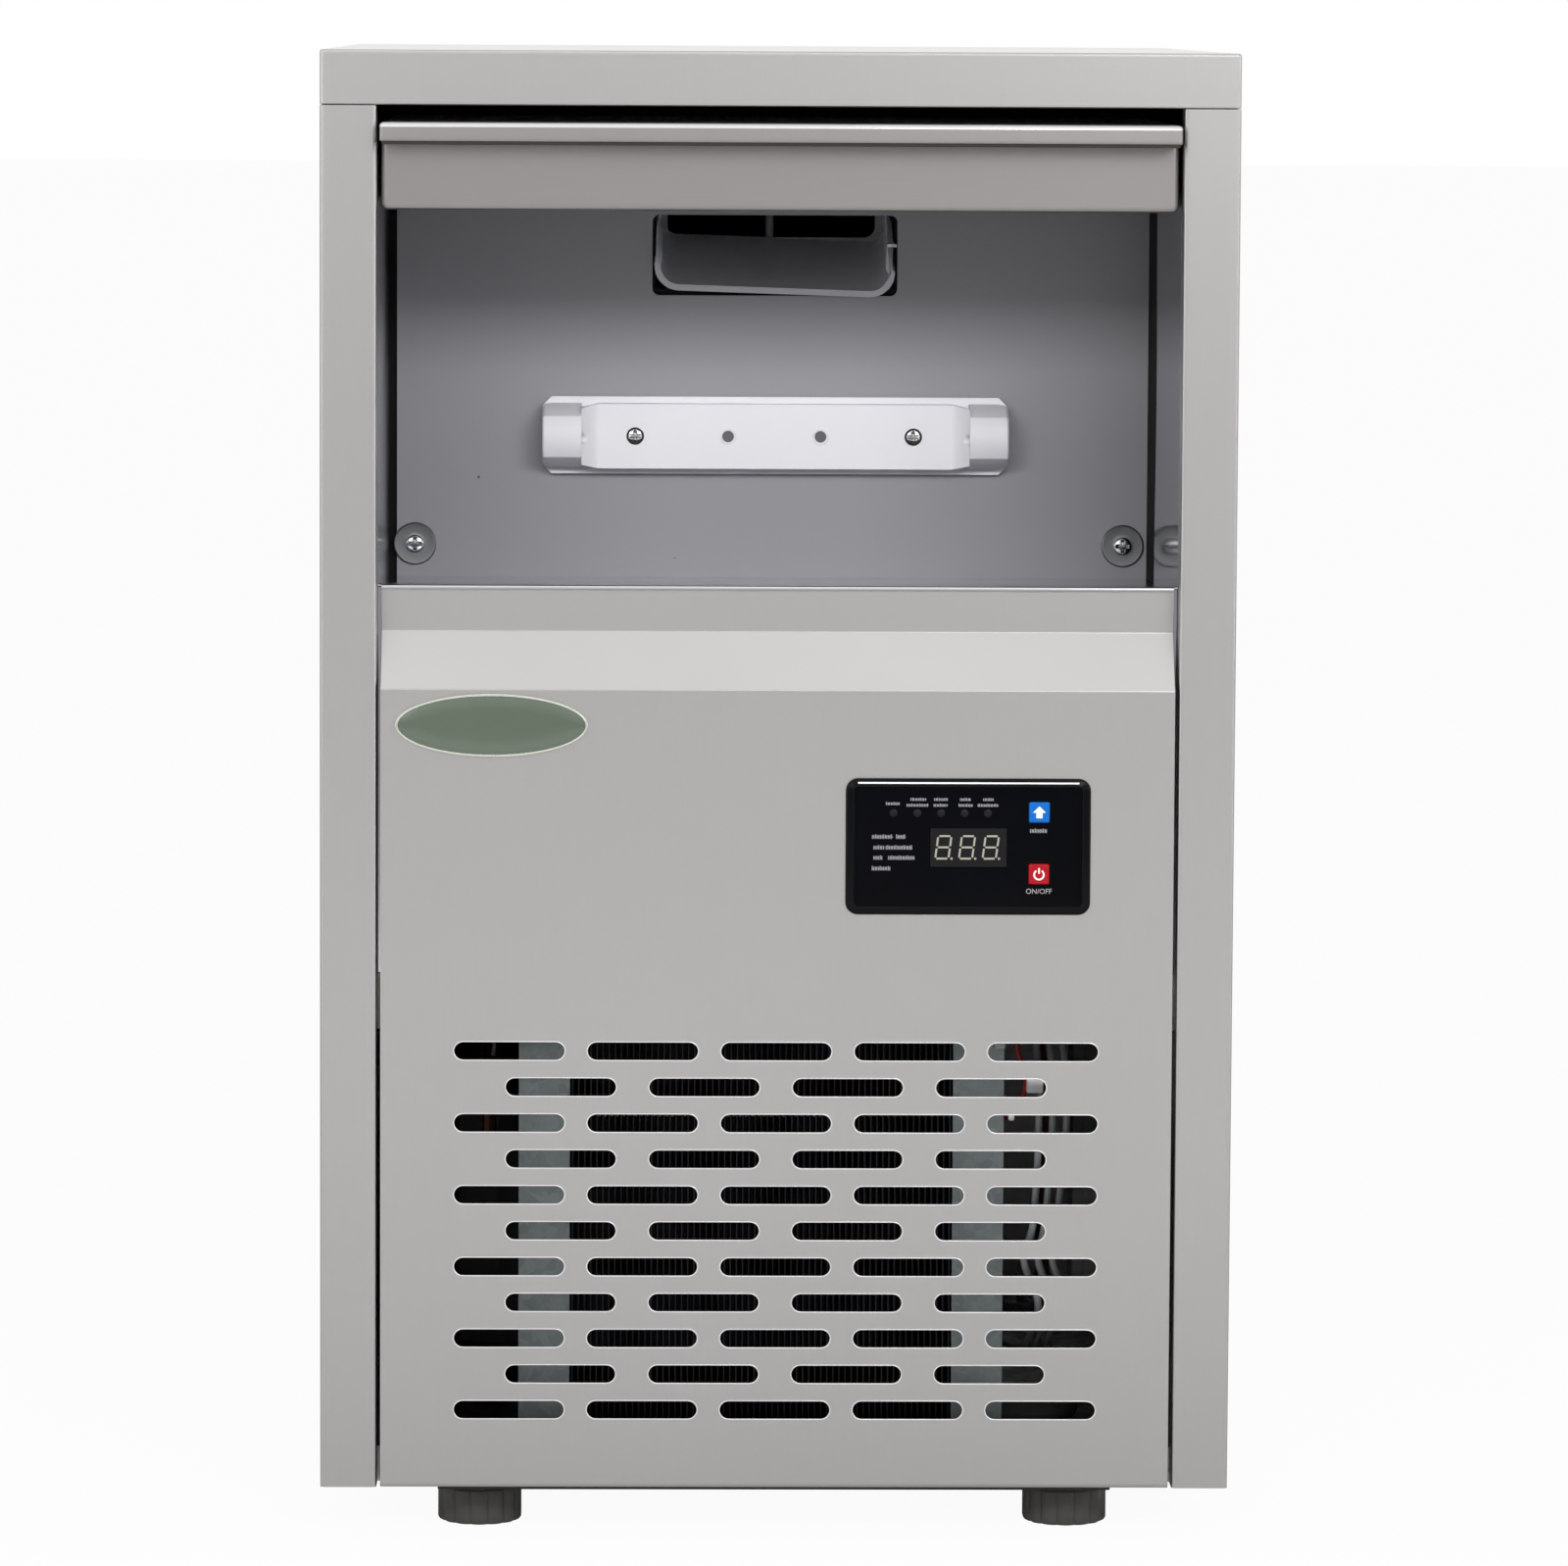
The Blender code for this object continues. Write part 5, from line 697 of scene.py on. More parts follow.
panel = {"faceTop": 0.3567, "slantTop": 0.37975, "setback": 0.014, "return": 0.014, "bend": 0.0016,
         "thick": 0.001, "slotLength": 0.046, "slotHeight": 0.0074, "rows": 11, "rowPitch": 0.01512,
         "topRow": 0.2055, "columns": ((5, 0.0556), (4, 0.0598)),  # count and pitch in turn
         "openingInset": 0.0035, "openingRadius": 0.001, "highlightLine": (
             (0.0005, 0.00005), (0.00042, -0.00003), (0.0001, -0.00003), (-0.00005, 0.00012),
             (-0.00005, 0.0009), (0.0003, 0.0009)),
         "bendPoints": 8, "gauge": 0.1}  # a height on the face, past the first bend, that places the pattern


def frontPanel():
    # bottom return, face, slanted band and recessed upper band from one flat pattern with all its slots
    low, high = spans("front_panel")
    corners = [(faceY + panel["return"], low[2]), (faceY, low[2]), (faceY, panel["faceTop"]),
               (faceY + panel["setback"], panel["slantTop"]), (faceY + panel["setback"], high[2])]
    route, _, arc = bentLine(corners, panel["bend"])
    past = panel["bendPoints"]
    start = np.interp(panel["gauge"], route[past:, 1], arc[past:]) - panel["gauge"]
    length, tall = panel["slotLength"], panel["slotHeight"]
    holes, edges = [], []
    for row in range(panel["rows"]):
        count, pitch = panel["columns"][row % 2]
        z = panel["topRow"] - row * panel["rowPitch"]
        for column in range(count):
            x = (column - (count - 1) / 2) * pitch
            holes.append(longSlot(x, z + start, length, tall))
            rings = [placed("y", *longSlot(x, z, length + 2 * out, tall + 2 * out).T, faceY + depth)
                     for out, depth in panel["highlightLine"]]  # a rolled edge lines the slot, in brighter steel that paints its highlight
            edges.append(loft(np.array(rings), wrap=True))
    bezelLow, bezelHigh = spans("control_bezel")
    inset = panel["openingInset"]
    holes.append(roundedRectangle(bezelLow[0] + inset, bezelLow[2] + inset + start, bezelHigh[0] - inset,
                                  bezelHigh[2] - inset + start, panel["openingRadius"], 2)())
    makePiece("slotHighlights", together(*edges), "paintedEdgeHighlight", "stainless", crease=50)
    shell = bentSheet(corners, panel["bend"], (low[0], high[0]), (0, 1, 2), panel["thick"], holes)
    makePiece("frontPanel", shell, "stainless", stands=["front_panel"], **sheetLook)


back = {"ventLength": 0.080, "ventHeight": 0.006, "ventPitch": 0.018, "ventRows": 6, "columnPitch": 0.130,
        "ventBottom": 0.120, "screwInset": 0.009, "screwMargin": 0.02, "screwRows": 5, "headRadius": 0.0036,
        "headHeight": 0.0016, "thick": 0.001, "lip": 0.0002, "valveHole": 0.0105,
        "drainHole": ((0.140, 0.062), 0.0075)}
recess = {"reach": 0.6, "slot": 0.16, "depth": 0.55, "slopeStart": 1.25, "slopeRun": 0.5}
headShape = {"rings": 19, "steps": 72, "edge": 0.45, "rise": 0.55, "fullness": 0.96, "power": 2.2,
             "hollow": 0.5}


def panHead(centre, seat, toward, radius, height, reach=recess["reach"], slot=recess["slot"],
            depth=recess["depth"], shank=0.0):
    # a dome with a cross recess: height over a polar grid, lowered where the cross arms pass
    r = np.linspace(0, 1, headShape["rings"])[:, None]
    angle = (np.arange(headShape["steps"]) * tau / headShape["steps"])[None]
    across, up = r * np.cos(angle), r * np.sin(angle)
    arm = np.minimum(np.maximum(abs(across) / reach, abs(up) / slot),
                     np.maximum(abs(up) / reach, abs(across) / slot))
    sunk = np.clip((recess["slopeStart"] - arm) / recess["slopeRun"], 0, 1)
    crown = np.sqrt(np.clip(1 - (r * headShape["fullness"]) ** headShape["power"], 0, 1))
    bulge = headShape["edge"] + headShape["rise"] * crown - depth * sunk
    across, up = (np.vstack([grid, turn, turn * headShape["hollow"]])
                  for grid, turn in ((across, np.cos(angle)), (up, np.sin(angle))))
    lift = np.vstack([bulge, np.zeros((2, headShape["steps"]))])
    return loft(placed("y", centre[0] + across * radius, centre[1] + up * radius,
                       seat + toward * (lift * height - shank)))


def backPanel():
    # a flat sheet behind the cabinet with vent slots, port holes and screws
    low, high = spans("back_panel")
    holes = []
    for column in (-1, 1):
        for row in range(back["ventRows"]):
            holes.append(longSlot(column * back["columnPitch"] / 2,
                                  high[2] - back["ventBottom"] - row * back["ventPitch"],
                                  back["ventLength"], back["ventHeight"]))
    for (x, z), radius in ((middleOf(*spans("inlet_valve")), back["valveHole"]), back["drainHole"]):
        angle = np.arange(32) * tau / 32
        holes.append(np.stack([x + radius * np.cos(angle), high[2] - z + radius * np.sin(angle)], -1))
    sheet = bentSheet([(high[1], high[2]), (high[1], low[2])], cabinet["bend"], (low[0], high[0]), (0, 1, 2),
                      back["thick"], holes, back["lip"])
    makePiece("backPanel", sheet, "stainless", stands=["back_panel"], **sheetLook)
    margin = back["screwMargin"]
    heads = [panHead((x, z), high[1], 1, back["headRadius"], back["headHeight"])
             for x in (low[0] + back["screwInset"], high[0] - back["screwInset"])
             for z in np.linspace(low[2] + margin, high[2] - margin, back["screwRows"])]
    makePiece("backScrews", together(*heads), "screw", "polished")


trim = {"wall": 0.001, "leg": 0.0133, "legFront": 0.0013, "hem": 0.006, "proud": 0.0006, "hang": 0.0022,
        "radius": 0.0010, "gap": 0.0001, "edge": 0.0002}


def sillTrim():
    # an upturned channel with a rounded lip in front of the panel: its section carried from side to side
    low, high = spans("sill_trim")
    front, rear, top = low[1], high[1], high[2]
    radius, lipFront, lipRear = trim["radius"], front - trim["proud"], front - trim["gap"]
    legFront, under, hem = front + trim["legFront"], top - trim["wall"], top - trim["wall"] - trim["hem"]
    turn = np.linspace(0, math.pi / 2, 5)
    lip = np.stack([lipFront + radius * (1 - np.cos(turn)), top - radius * (1 - np.sin(turn))], -1)
    profile = np.vstack([[(lipRear, top - trim["hang"]), (lipFront, top - trim["hang"])], lip,
                         [(rear, top), (rear, hem), (rear - trim["wall"], hem), (rear - trim["wall"], under),
                          (legFront + trim["wall"], under), (legFront + trim["wall"], top - trim["leg"]),
                          (legFront, top - trim["leg"]), (legFront, under), (lipRear, under)]])
    rings = placed("x", profile[:, 0], profile[:, 1], np.array([low[0], high[0]])[:, None])
    makePiece("sillTrim", loft(rings), "polished", stands=["sill_trim"], crease=30, bevel=trim["edge"])


base = {"front": 0.004, "deep": 0.010, "drop": 0.0016, "half": 0.141, "gap": 0.0001, "edge": 0.0004}


def baseEdgeShade():
    # the folded edge of the base that shows under the front panel, dark brown to paint the shade under the
    # cabinet
    bottom = spans("front_panel")[0][2]
    lip = box((-base["half"], faceY + base["front"], bottom - base["drop"]),
              (base["half"], faceY + base["front"] + base["deep"], bottom - base["gap"]))
    makePiece("baseEdgeShade", lip, "paintedShadeBrown", "galvanised", crease=30, bevel=base["edge"])


sidePanels()
topCover()
frontPanel()
backPanel()
sillTrim()
baseEdgeShade()
print("stage: cabinet sheets made")


door = {"cornerRadius": 0.0015, "lipRadius": 0.0018, "lowerRadius": 0.0012, "wall": 0.001, "ledge": 0.003,
        "rim": 0.0004, "rimShare": 0.8, "rimDrop": 0.0001, "support": 0.0006, "panEdge": 0.0018,
        "panCorner": 0.0026, "shadeDrop": 0.0013, "shadeInset": 0.0009, "shadeDeep": 0.016, "shadeLap": 0.0002,
        "shadeEdge": 0.0003, "edgeUnder": 0.00006, "edgeDrop": 0.0019, "edgeWall": 0.0003, "edgeReach": 0.0004,
        "faceInset": 0.0024, "faceSlope": 0.0002}
doorLook = {"body": "door", **sheetLook}


def foldHighlight(outline, top):
    # a band round the lip's fold in brighter steel that paints its highlight, from below the top to just past
    # the bend
    wall, radius = door["edgeWall"], door["lipRadius"]
    reach, foot = radius + door["edgeReach"], top - door["edgeDrop"]
    bend = quarterRound(radius, top, -1, 6)
    levels = [(0, foot)] + bend[::-1] + [(reach, top), (reach, top - wall)]
    levels += [(inset + wall, along - wall) for inset, along in bend] + [(wall, foot)]
    return stacked(outline, levels, "z", wrap=True)


def doorPieces():
    # the skin is a tray with a folded lip in darker steel that is partly painted shade, a band on the fold
    # whose brighter steel paints its highlight, a plate over its face, and a dark strip under the lip that
    # paints the shade there
    low, high = spans("door_skin")
    outline = roundedRectangle(low[0], low[1], high[0], high[1], door["cornerRadius"])
    top, bottom, wall = high[2], low[2], door["wall"]
    under, radius, support = door["edgeUnder"], door["lipRadius"], door["support"]
    levels = [(wall + door["ledge"], top - wall), (wall + radius, top - wall), (wall, top - wall - radius),
              (wall, bottom + door["rim"]), (wall * door["rimShare"], bottom + door["rimDrop"])]
    levels += quarterRound(door["lowerRadius"] / 2, bottom, 1, 3) + [(0, bottom + door["lowerRadius"])]
    levels += [(inset + under, along - under) for inset, along in quarterRound(radius, top, -1, 6)[::-1]]
    levels += [(radius + support, top)]
    makePiece("doorFoldHighlight", foldHighlight(outline, top), "paintedFoldHighlight", "stainless", body="door", crease=50)
    makePiece("doorSkin", stacked(outline, levels, "z"), "doorShadedSteel", stands=["door_skin"], **doorLook)
    face = door["faceInset"]
    skin = [(face, top - wall), (face, top), (face + door["faceSlope"], top + under)]
    makePiece("doorFace", stacked(outline, skin, "z"), "doorFace", **doorLook)
    # a dark strip under the lip paints the shadow there
    inset = door["shadeInset"]
    shadeStrip = box((low[0] + inset, low[1] + inset, bottom - door["shadeDrop"]),
               (high[0] - inset, low[1] + door["shadeDeep"], bottom + door["shadeLap"]))
    makePiece("lipShade", shadeStrip, "paintedShadeBrown", "dark_plastic", body="door", crease=30, bevel=door["shadeEdge"])

    # the pan under the skin, as wide as it
    panLow, panHigh = spans("door_pan")
    outline = roundedRectangle(low[0], panLow[2], high[0], panHigh[2], door["panCorner"], 8)
    edge, front, rear = door["panEdge"], panLow[1], panHigh[1]
    levels = [(edge + support, front)] + quarterRound(edge, front, 1)
    levels += [(0, front + edge + support), (0, rear - edge)]
    levels += quarterRound(edge, rear, -1)[::-1] + [(edge + support, rear)]
    makePiece("doorPan", stacked(outline, levels, "y"), "doorShadedSteel", stands=["door_pan"], **doorLook)


doorPieces()
print("stage: door made")


bar = {"baseReach": 0.0038, "plateReach": 0.014, "plateTop": 0.0142, "podReach": 0.022, "podRadius": 0.018,
       "podHalf": 0.0090, "podShoulder": 0.0095, "flankReach": 0.0195, "flankTop": 0.0124, "flankRun": 0.0078,
       "flankPower": 1.5, "flankRise": 1.05, "flankGap": 0.00002, "cornerCut": 0.0040, "podWidth": 0.0173,
       "edge": 0.0004, "step": 0.0006, "stepShrink": 0.0003, "shrinkRate": 40, "rimGap": 0.0004,
       "flat": 0.0006, "endLevels": ((0, 0.0012), (0.0003, 0.0005), (0.001, 0.0))}
eye = {"radius": 0.0017, "setback": 0.0006, "drop": 0.001, "reach": (0.004, 0.006), "lens": 0.0019,
       "depth": 0.0035, "length": 0.001}
# the places of screws and plugs along the bar, and their outlines as (radius, depth under its face)
barHoles = {"seats": (-0.0594, 0.0631), "plugs": (-0.0185, 0.0222),
            "seatCut": ((0, -0.002), (0.0041, -0.002), (0.0041, 0), (0.0038, 0.0003), (0.0038, 0.0022),
                        (0, 0.0022)),
            "plugCut": ((0, -0.002), (0.0026, -0.002), (0.0026, 0.0012), (0, 0.0012)),
            "seatRing": ((0.0030, 0.0009), (0.0038, 0.0009), (0.0038, 0.0020), (0.0030, 0.0020)),
            "plug": ((0, 0.0011), (0.00255, 0.0011), (0.00255, 0.0006), (0.0019, 0.00045), (0.0012, 0.00055),
                     (0, 0.00055)),
            "ringRadius": 0.0031, "ringHalf": 0.0006, "ringHeight": 0.0004, "ringLift": 0.0001}
barScrew = {"radius": 0.0034, "height": 0.0016, "reach": 0.62, "slot": 0.17, "depth": 0.6, "shank": 0.0012}
screwSeat = 0.0010  # from the plate's face to the underside of the screw's head


def barSection(kind, top, shoulder, reach, shrink=0.0):
    # the section from the wall round the front and back to the wall, as (reach, height) pairs
    base = [(0.0, top), (bar["baseReach"], top), (bar["baseReach"], shoulder)]
    if kind == "pod":
        radius = bar["podRadius"]
        limit = math.asin(bar["podHalf"] / radius)
        angle = np.linspace(limit, -limit, 11)
        front = np.stack([reach - radius * (1 - np.cos(angle)), radius * np.sin(angle)], -1)
        high = [(bar["podShoulder"], shoulder)]
    else:
        edge = shoulder - bar["flat"]
        front = np.stack([np.full(11, reach), np.linspace(edge, -edge, 11)], -1)
        high = [(reach, shoulder)]
    low = [(r, -z) for r, z in high]
    section = np.vstack([base, high, front, low, [(r, -z) for r, z in base[::-1]]])
    section[3:-3, 0] -= shrink
    section[:, 1] *= 1 - shrink * bar["shrinkRate"]
    return section


def barStations(low, high, half):
    # sections at places along the bar: a pod, a flank that falls to the plate, and their mirror image
    cut, width, left = bar["cornerCut"], bar["podWidth"], []
    inner = (cut, 0.0), (width - bar["step"], 0.0), (width, bar["stepShrink"])
    for distance, shrink in bar["endLevels"] + inner:
        top = half - cut + min(distance, cut)
        shoulder = min(bar["plateTop"], top - bar["rimGap"])
        left.append((distance, barSection("pod", top, shoulder, bar["podReach"], shrink)))
    for q in np.linspace(0, 1, 7):
        reach = bar["plateReach"] + (bar["flankReach"] - bar["plateReach"]) * (1 - q) ** bar["flankPower"]
        shoulder = bar["flankTop"] + (bar["plateTop"] - bar["flankTop"]) * min(1, q * bar["flankRise"])
        distance = width + bar["flankGap"] + q * bar["flankRun"]
        left.append((distance, barSection("plate", half, shoulder, reach)))
    along = [low + distance for distance, _ in left] + [high - distance for distance, _ in left[::-1]]
    return np.array(along), np.array([section for _, section in left + left[::-1]])


def sensorBar():
    low, high = spans("ice_sensor_bar")
    wallY, middle, half = high[1], (low[2] + high[2]) / 2, (high[2] - low[2]) / 2
    width, plateY = bar["podWidth"], wallY - bar["plateReach"]
    along, sections = barStations(low[0], high[0], half)
    rings = placed("x", wallY - sections[..., 0], middle + sections[..., 1], along[:, None])
    made = makePiece("sensorBar", loft(rings), "white_plastic", stands=["ice_sensor_bar"], crease=28,
                     bevel=bar["edge"])
    seats, plugs = barHoles["seats"], barHoles["plugs"]

    def onPlate(profile, places, steps=32, wrap=False):
        return [turned(np.asarray(profile) + (0, plateY), (x, middle), "y", steps, wrap) for x in places]

    cutters = onPlate(barHoles["seatCut"], seats) + onPlate(barHoles["plugCut"], plugs)
    eyeY, eyeZ = wallY - bar["flankReach"] + eye["setback"], middle - eye["drop"]
    for x, way in ((low[0] + width, 1), (high[0] - width, -1)):
        start, end = sorted((x - way * eye["reach"][0], x + way * eye["reach"][1]))
        cutters.append(rod(eye["radius"], start, end, (eyeY, eyeZ), "x", 24))
    carve(made, *cutters)
    for side, x in zip(("Left", "Right"), seats):
        head = panHead((x, middle), plateY + screwSeat, -1, **barScrew)
        makePiece("sensorScrew" + side, head, "screw", "polished", ["sensor_screw_" + side.lower()])
    # dark rings at the floor of the screw recesses paint the shade there
    seatShadeRings = onPlate(barHoles["seatRing"], seats, wrap=True)
    makePiece("screwSeatShade", together(*seatShadeRings), "paintedShadeBrown", "dark_plastic")
    turn = np.linspace(0, math.pi, 7)
    radius, half, height = barHoles["ringRadius"], barHoles["ringHalf"], barHoles["ringHeight"]
    crest = np.stack([radius - half * np.cos(turn), barHoles["ringLift"] - height * np.sin(turn)], -1)
    ring = np.vstack([crest, [(radius + half, height), (radius - half, height)]])
    makePiece("plugRings", together(*onPlate(ring, plugs, 40, True)), "white_plastic", crease=60)
    makePiece("sensorPlugs", together(*onPlate(barHoles["plug"], plugs)), "plugGreyAndPaintedShade", "hose")
    lenses = [rod(eye["lens"], start, start + eye["length"], (eyeY, eyeZ), "x", 24)
              for start in (low[0] + width - eye["depth"], high[0] - width + eye["depth"] - eye["length"])]
    makePiece("sensorEyes", together(*lenses), "gloss_black")


wallScrew = {"seatY": -0.0138, "washer": 0.0012, "headRadius": 0.0039, "headHeight": 0.0022, "profile": (
    (0, 0), (0.00895, 0), (0.00935, -0.0003), (0.00935, -0.0007), (0.00915, -0.0010), (0.00875, -0.0012),
    (0.00825, -0.00115), (0.005, -0.0010), (0.0046, -0.0012), (0, -0.0012))}


def binScrews():
    # a slightly dished washer and a pan head with a cross recess
    seat, headSize = wallScrew["seatY"], (wallScrew["headRadius"], wallScrew["headHeight"])
    for side in ("Left", "Right"):
        node = "bin_screw_" + side.lower()
        centre = middleOf(*spans(node))
        washer = turned(np.asarray(wallScrew["profile"]) + (0, seat), centre, "y", 64)
        makePiece("binWasher" + side, washer, "washer", "polished", [node], crease=30, even=True)
        head = panHead(centre, seat - wallScrew["washer"], -1, *headSize)
        makePiece("binScrew" + side, head, "screw", "polished")


chute = {"half": 0.0525, "leftHalf": 0.0535, "leftJog": 0.0005, "wall": 0.0027, "radius": 0.0109,
         "height": 0.030, "jogHeight": 0.0109, "jog": 0.0013, "jogRun": (0.0018, 0.0004), "armTop": 0.0240,
         "armStep": 0.0001, "armSetback": 0.030, "front": 0.222, "back": 0.2842, "rise": 0.33, "lift": 0.0010,
         "tilt": 1.8, "centre": 0.002, "sill": 0.512, "edge": 0.0003,
         "depthShares": (0, 0.012, 0.3, 0.65, 1.0)}
shoulder = {"spans": ((-0.0519, -0.0476), (0.0512, 0.0559)), "top": 0.5586, "setback": 0.0014,
            "thick": 0.0012, "lap": 0.0008, "slope": 0.012, "hookX": (0.0512, 0.0556),
            "hookY": (0.0006, 0.0072), "hook": 0.0016}
throat = {"plate": ((-0.0515, 0.530), (0.0555, 0.529), (0.0555, 0.567), (-0.0515, 0.567)),
          "hole": (-0.0452, 0.5362, 0.0478, 0.563, 0.0052), "cup": (-0.0458, 0.5356, 0.0484, 0.5636, 0.0058),
          "cupLevels": ((0.0, 0.0016), (0.0, 0.012), (0.0008, 0.013), (0.0008, 0.0115), (0.0008, 0.0016)),
          "thick": 0.0015, "gap": 0.0008, "pinX": 0.0005, "pinGap": 0.0022, "lugX": (-0.0235, 0.0065),
          "lugGap": 0.0010,
          "pin": ((0, 0.5365), (0.0014, 0.5365), (0.0019, 0.5371), (0.0019, 0.5460), (0, 0.5460)),
          "lug": ((0, 0.5500), (0.0012, 0.5502), (0.0012, 0.558), (0, 0.558))}


def chuteSection():
    # the trough's outer line from the top of its left arm round to the right one, and the way inwards
    half, r, jog, armTop = chute["half"], chute["radius"], chute["jog"], chute["armTop"]
    fall, run = chute["jogRun"]
    turn = np.linspace(0, math.pi / 2, 9)
    arm = [(jog - half, chute["height"]), (jog - half, armTop + chute["armStep"]), (jog - half, armTop),
           (jog - half, chute["jogHeight"] + fall), (-half, chute["jogHeight"] + run)]
    left = np.vstack([arm, np.stack([-half + r - r * np.cos(turn), r - r * np.sin(turn)], -1)])
    section = np.vstack([left, left[::-1] * (-1, 1)])
    section[:len(left), 0] -= chute["leftHalf"] - half  # the left side stands closer to the opening
    section[:4, 0] += chute["leftJog"] - jog
    heads = np.gradient(section, axis=0)
    heads /= np.linalg.norm(heads, axis=1)[:, None]
    return section, np.stack([-heads[:, 1], heads[:, 0]], -1)


def iceChute():
    # a trough: its section carried back, with its arms cut away at the front above armTop
    section, inward = chuteSection()
    front, angle = chute["front"], math.radians(chute["tilt"])
    raised = section[:, 1] > chute["armTop"] + chute["armStep"] / 2
    start = np.where(raised, front + chute["armSetback"], front)
    share = np.array(chute["depthShares"])[:, None]
    depth = start * (1 - share) + chute["back"] * share

    def surface(offset):
        flat = section + inward * offset
        x = flat[:, 0] * math.cos(angle) + flat[:, 1] * math.sin(angle)
        z = flat[:, 1] * math.cos(angle) - flat[:, 0] * math.sin(angle)
        lift = chute["sill"] + chute["lift"] + (depth - front) * chute["rise"]
        return placed("y", chute["centre"] + x, z + lift, depth + faceY)

    rings = np.concatenate([surface(0.0), surface(chute["wall"])[:, ::-1]], 1)
    makePiece("chuteTrough", loft(rings), "chute_plastic", stands=["ice_chute"], crease=35,
              bevel=chute["edge"], segments=2)

    # set-back shoulders close the gaps beside the arms, in near-black that paints the shade there, and the
    # right arm ends in a hook
    armZ = chute["sill"] + chute["lift"] + chute["armTop"]
    plateY = faceY + front + chute["armSetback"] - shoulder["setback"]
    plates = [box((left, plateY, armZ - shoulder["lap"] - left * shoulder["slope"]),
                  (right, plateY + shoulder["thick"], shoulder["top"])) for left, right in shoulder["spans"]]
    (left, right), (near, far) = shoulder["hookX"], shoulder["hookY"]
    top = armZ - right * math.sin(angle)
    hook = box((left, faceY + front + near, top - shoulder["hook"]), (right, faceY + front + far, top))
    for name, shell, look in (("chuteShoulders", together(*plates), "paintedShadeBlack"),
                              ("chuteHook", hook, "chute_plastic")):
        makePiece(name, shell, look, "chute_plastic", crease=30, bevel=chute["edge"], segments=2)

    # throat plate at the back in a darker grey that paints its shade, with a black cup that paints the shade
    # of the outlet, and the pin in it in a grey darkened for its shade
    backY = faceY + chute["back"] - throat["gap"]
    hole = roundedRectangle(*throat["hole"], 8)()
    shell = flatPlate(np.array(throat["plate"]), [hole], backY, throat["thick"], 3)
    makePiece("chuteThroat", shell, "throatPaintedShadeGrey", "chute_plastic", crease=40, even=True)
    levels = np.array(throat["cupLevels"]) + (0, backY)
    cup = stacked(roundedRectangle(*throat["cup"], 8), levels)
    makePiece("chuteOutlet", cup, "paintedShadeBlack", "black_foam", crease=40)
    pin = turned(throat["pin"], (throat["pinX"], backY - throat["pinGap"]), "z", 24)
    lugs = [turned(throat["lug"], (x, backY + throat["lugGap"]), "z", 16) for x in throat["lugX"]]
    makePiece("outletPin", together(pin, *lugs), "plugGreyAndPaintedShade", "hose")


ledge = {"top": 0.3876, "thick": 0.001, "deep": 0.046, "half": 0.1672, "drop": 0.008, "bend": 0.0012,
         "gap": 0.0002}
shadeStrip = {"inner": 0.1673, "outer": 0.1679, "deep": 0.044, "wave": 0.007, "low": 0.3880, "high": 0.5540,
        "steps": 40}


def binTrim():
    # a bright ledge along the foot of the back wall, and a dark strip in the bin's rear corner that paints
    # the shade there
    wallY = spans("bin_back_panel")[0][1] - ledge["gap"]
    frontY = wallY - ledge["deep"]
    corners = [(frontY, ledge["top"] - ledge["drop"]), (frontY, ledge["top"]), (wallY, ledge["top"])]
    sheet = bentSheet(corners, ledge["bend"], (-ledge["half"], ledge["half"]), (0, 1, 2), ledge["thick"])
    makePiece("binLedge", sheet, "linerSteel", "polished", crease=40, even=True)
    z = np.linspace(shadeStrip["low"], shadeStrip["high"], shadeStrip["steps"])
    share = (z - shadeStrip["low"]) / (shadeStrip["high"] - shadeStrip["low"])
    front = wallY - shadeStrip["deep"] - shadeStrip["wave"] * np.sin(share * math.pi) ** 2  # it bows forward half way up
    x = np.array([shadeStrip["inner"], shadeStrip["outer"], shadeStrip["outer"], shadeStrip["inner"]])
    rear = np.full(shadeStrip["steps"], wallY)
    y = np.stack([front, front, rear, rear], -1)
    makePiece("cornerShade", loft(placed("z", x[None], y, z[:, None])), "paintedShadeSteel", "black_foam", crease=50)


sensorBar()
binScrews()
iceChute()
binTrim()
print("stage: bin fittings made")


control = {"rim": 0.0030, "radius": 0.0052, "edge": 0.0012, "crestShare": 0.1, "recess": 0.0010,
           "plate": 0.0014, "slant": 0.0008, "fall": 0.0004, "gap": 0.0002, "backInset": 0.0012,
           "backEdge": (0.0004, 0.0003), "crestDip": 0.00002,
           "crestLine": ((-0.0001, 0), (0.0002, -0.00004), (0.0005, 0.0001)),
           "seatDrop": 0.0001, "plateInset": 0.0004, "windowGap": 0.0002, "windowRadius": 0.0003,
           "windowEdge": 0.0002, "windowLift": 0.00015, "holeHalf": 0.0046, "holeRadius": 0.0009,
           "housing": 0.0041, "housingRadius": 0.0008, "housingWall": 0.0014, "highlightDrop": 0.0018,
           "highlightReach": 0.0050, "highlightWidth": 0.0007, "highlightThick": 0.00014, "mark": 0.00012, "lift": 0.00005}
bezelLow, bezelHigh = spans("control_bezel")
windowLow, windowHigh = spans("display_module")
buttonPlaces = {name: middleOf(*spans(name)) for name in ("mode_button", "power_button")}
plateY = bezelLow[1] + control["recess"]


def boxOutline(low, high, radius, steps, out=0.0):
    # the rounded outline of a box as the front view shows it, grown by out
    return roundedRectangle(low[0] - out, low[2] - out, high[0] + out, high[2] + out, radius, steps)


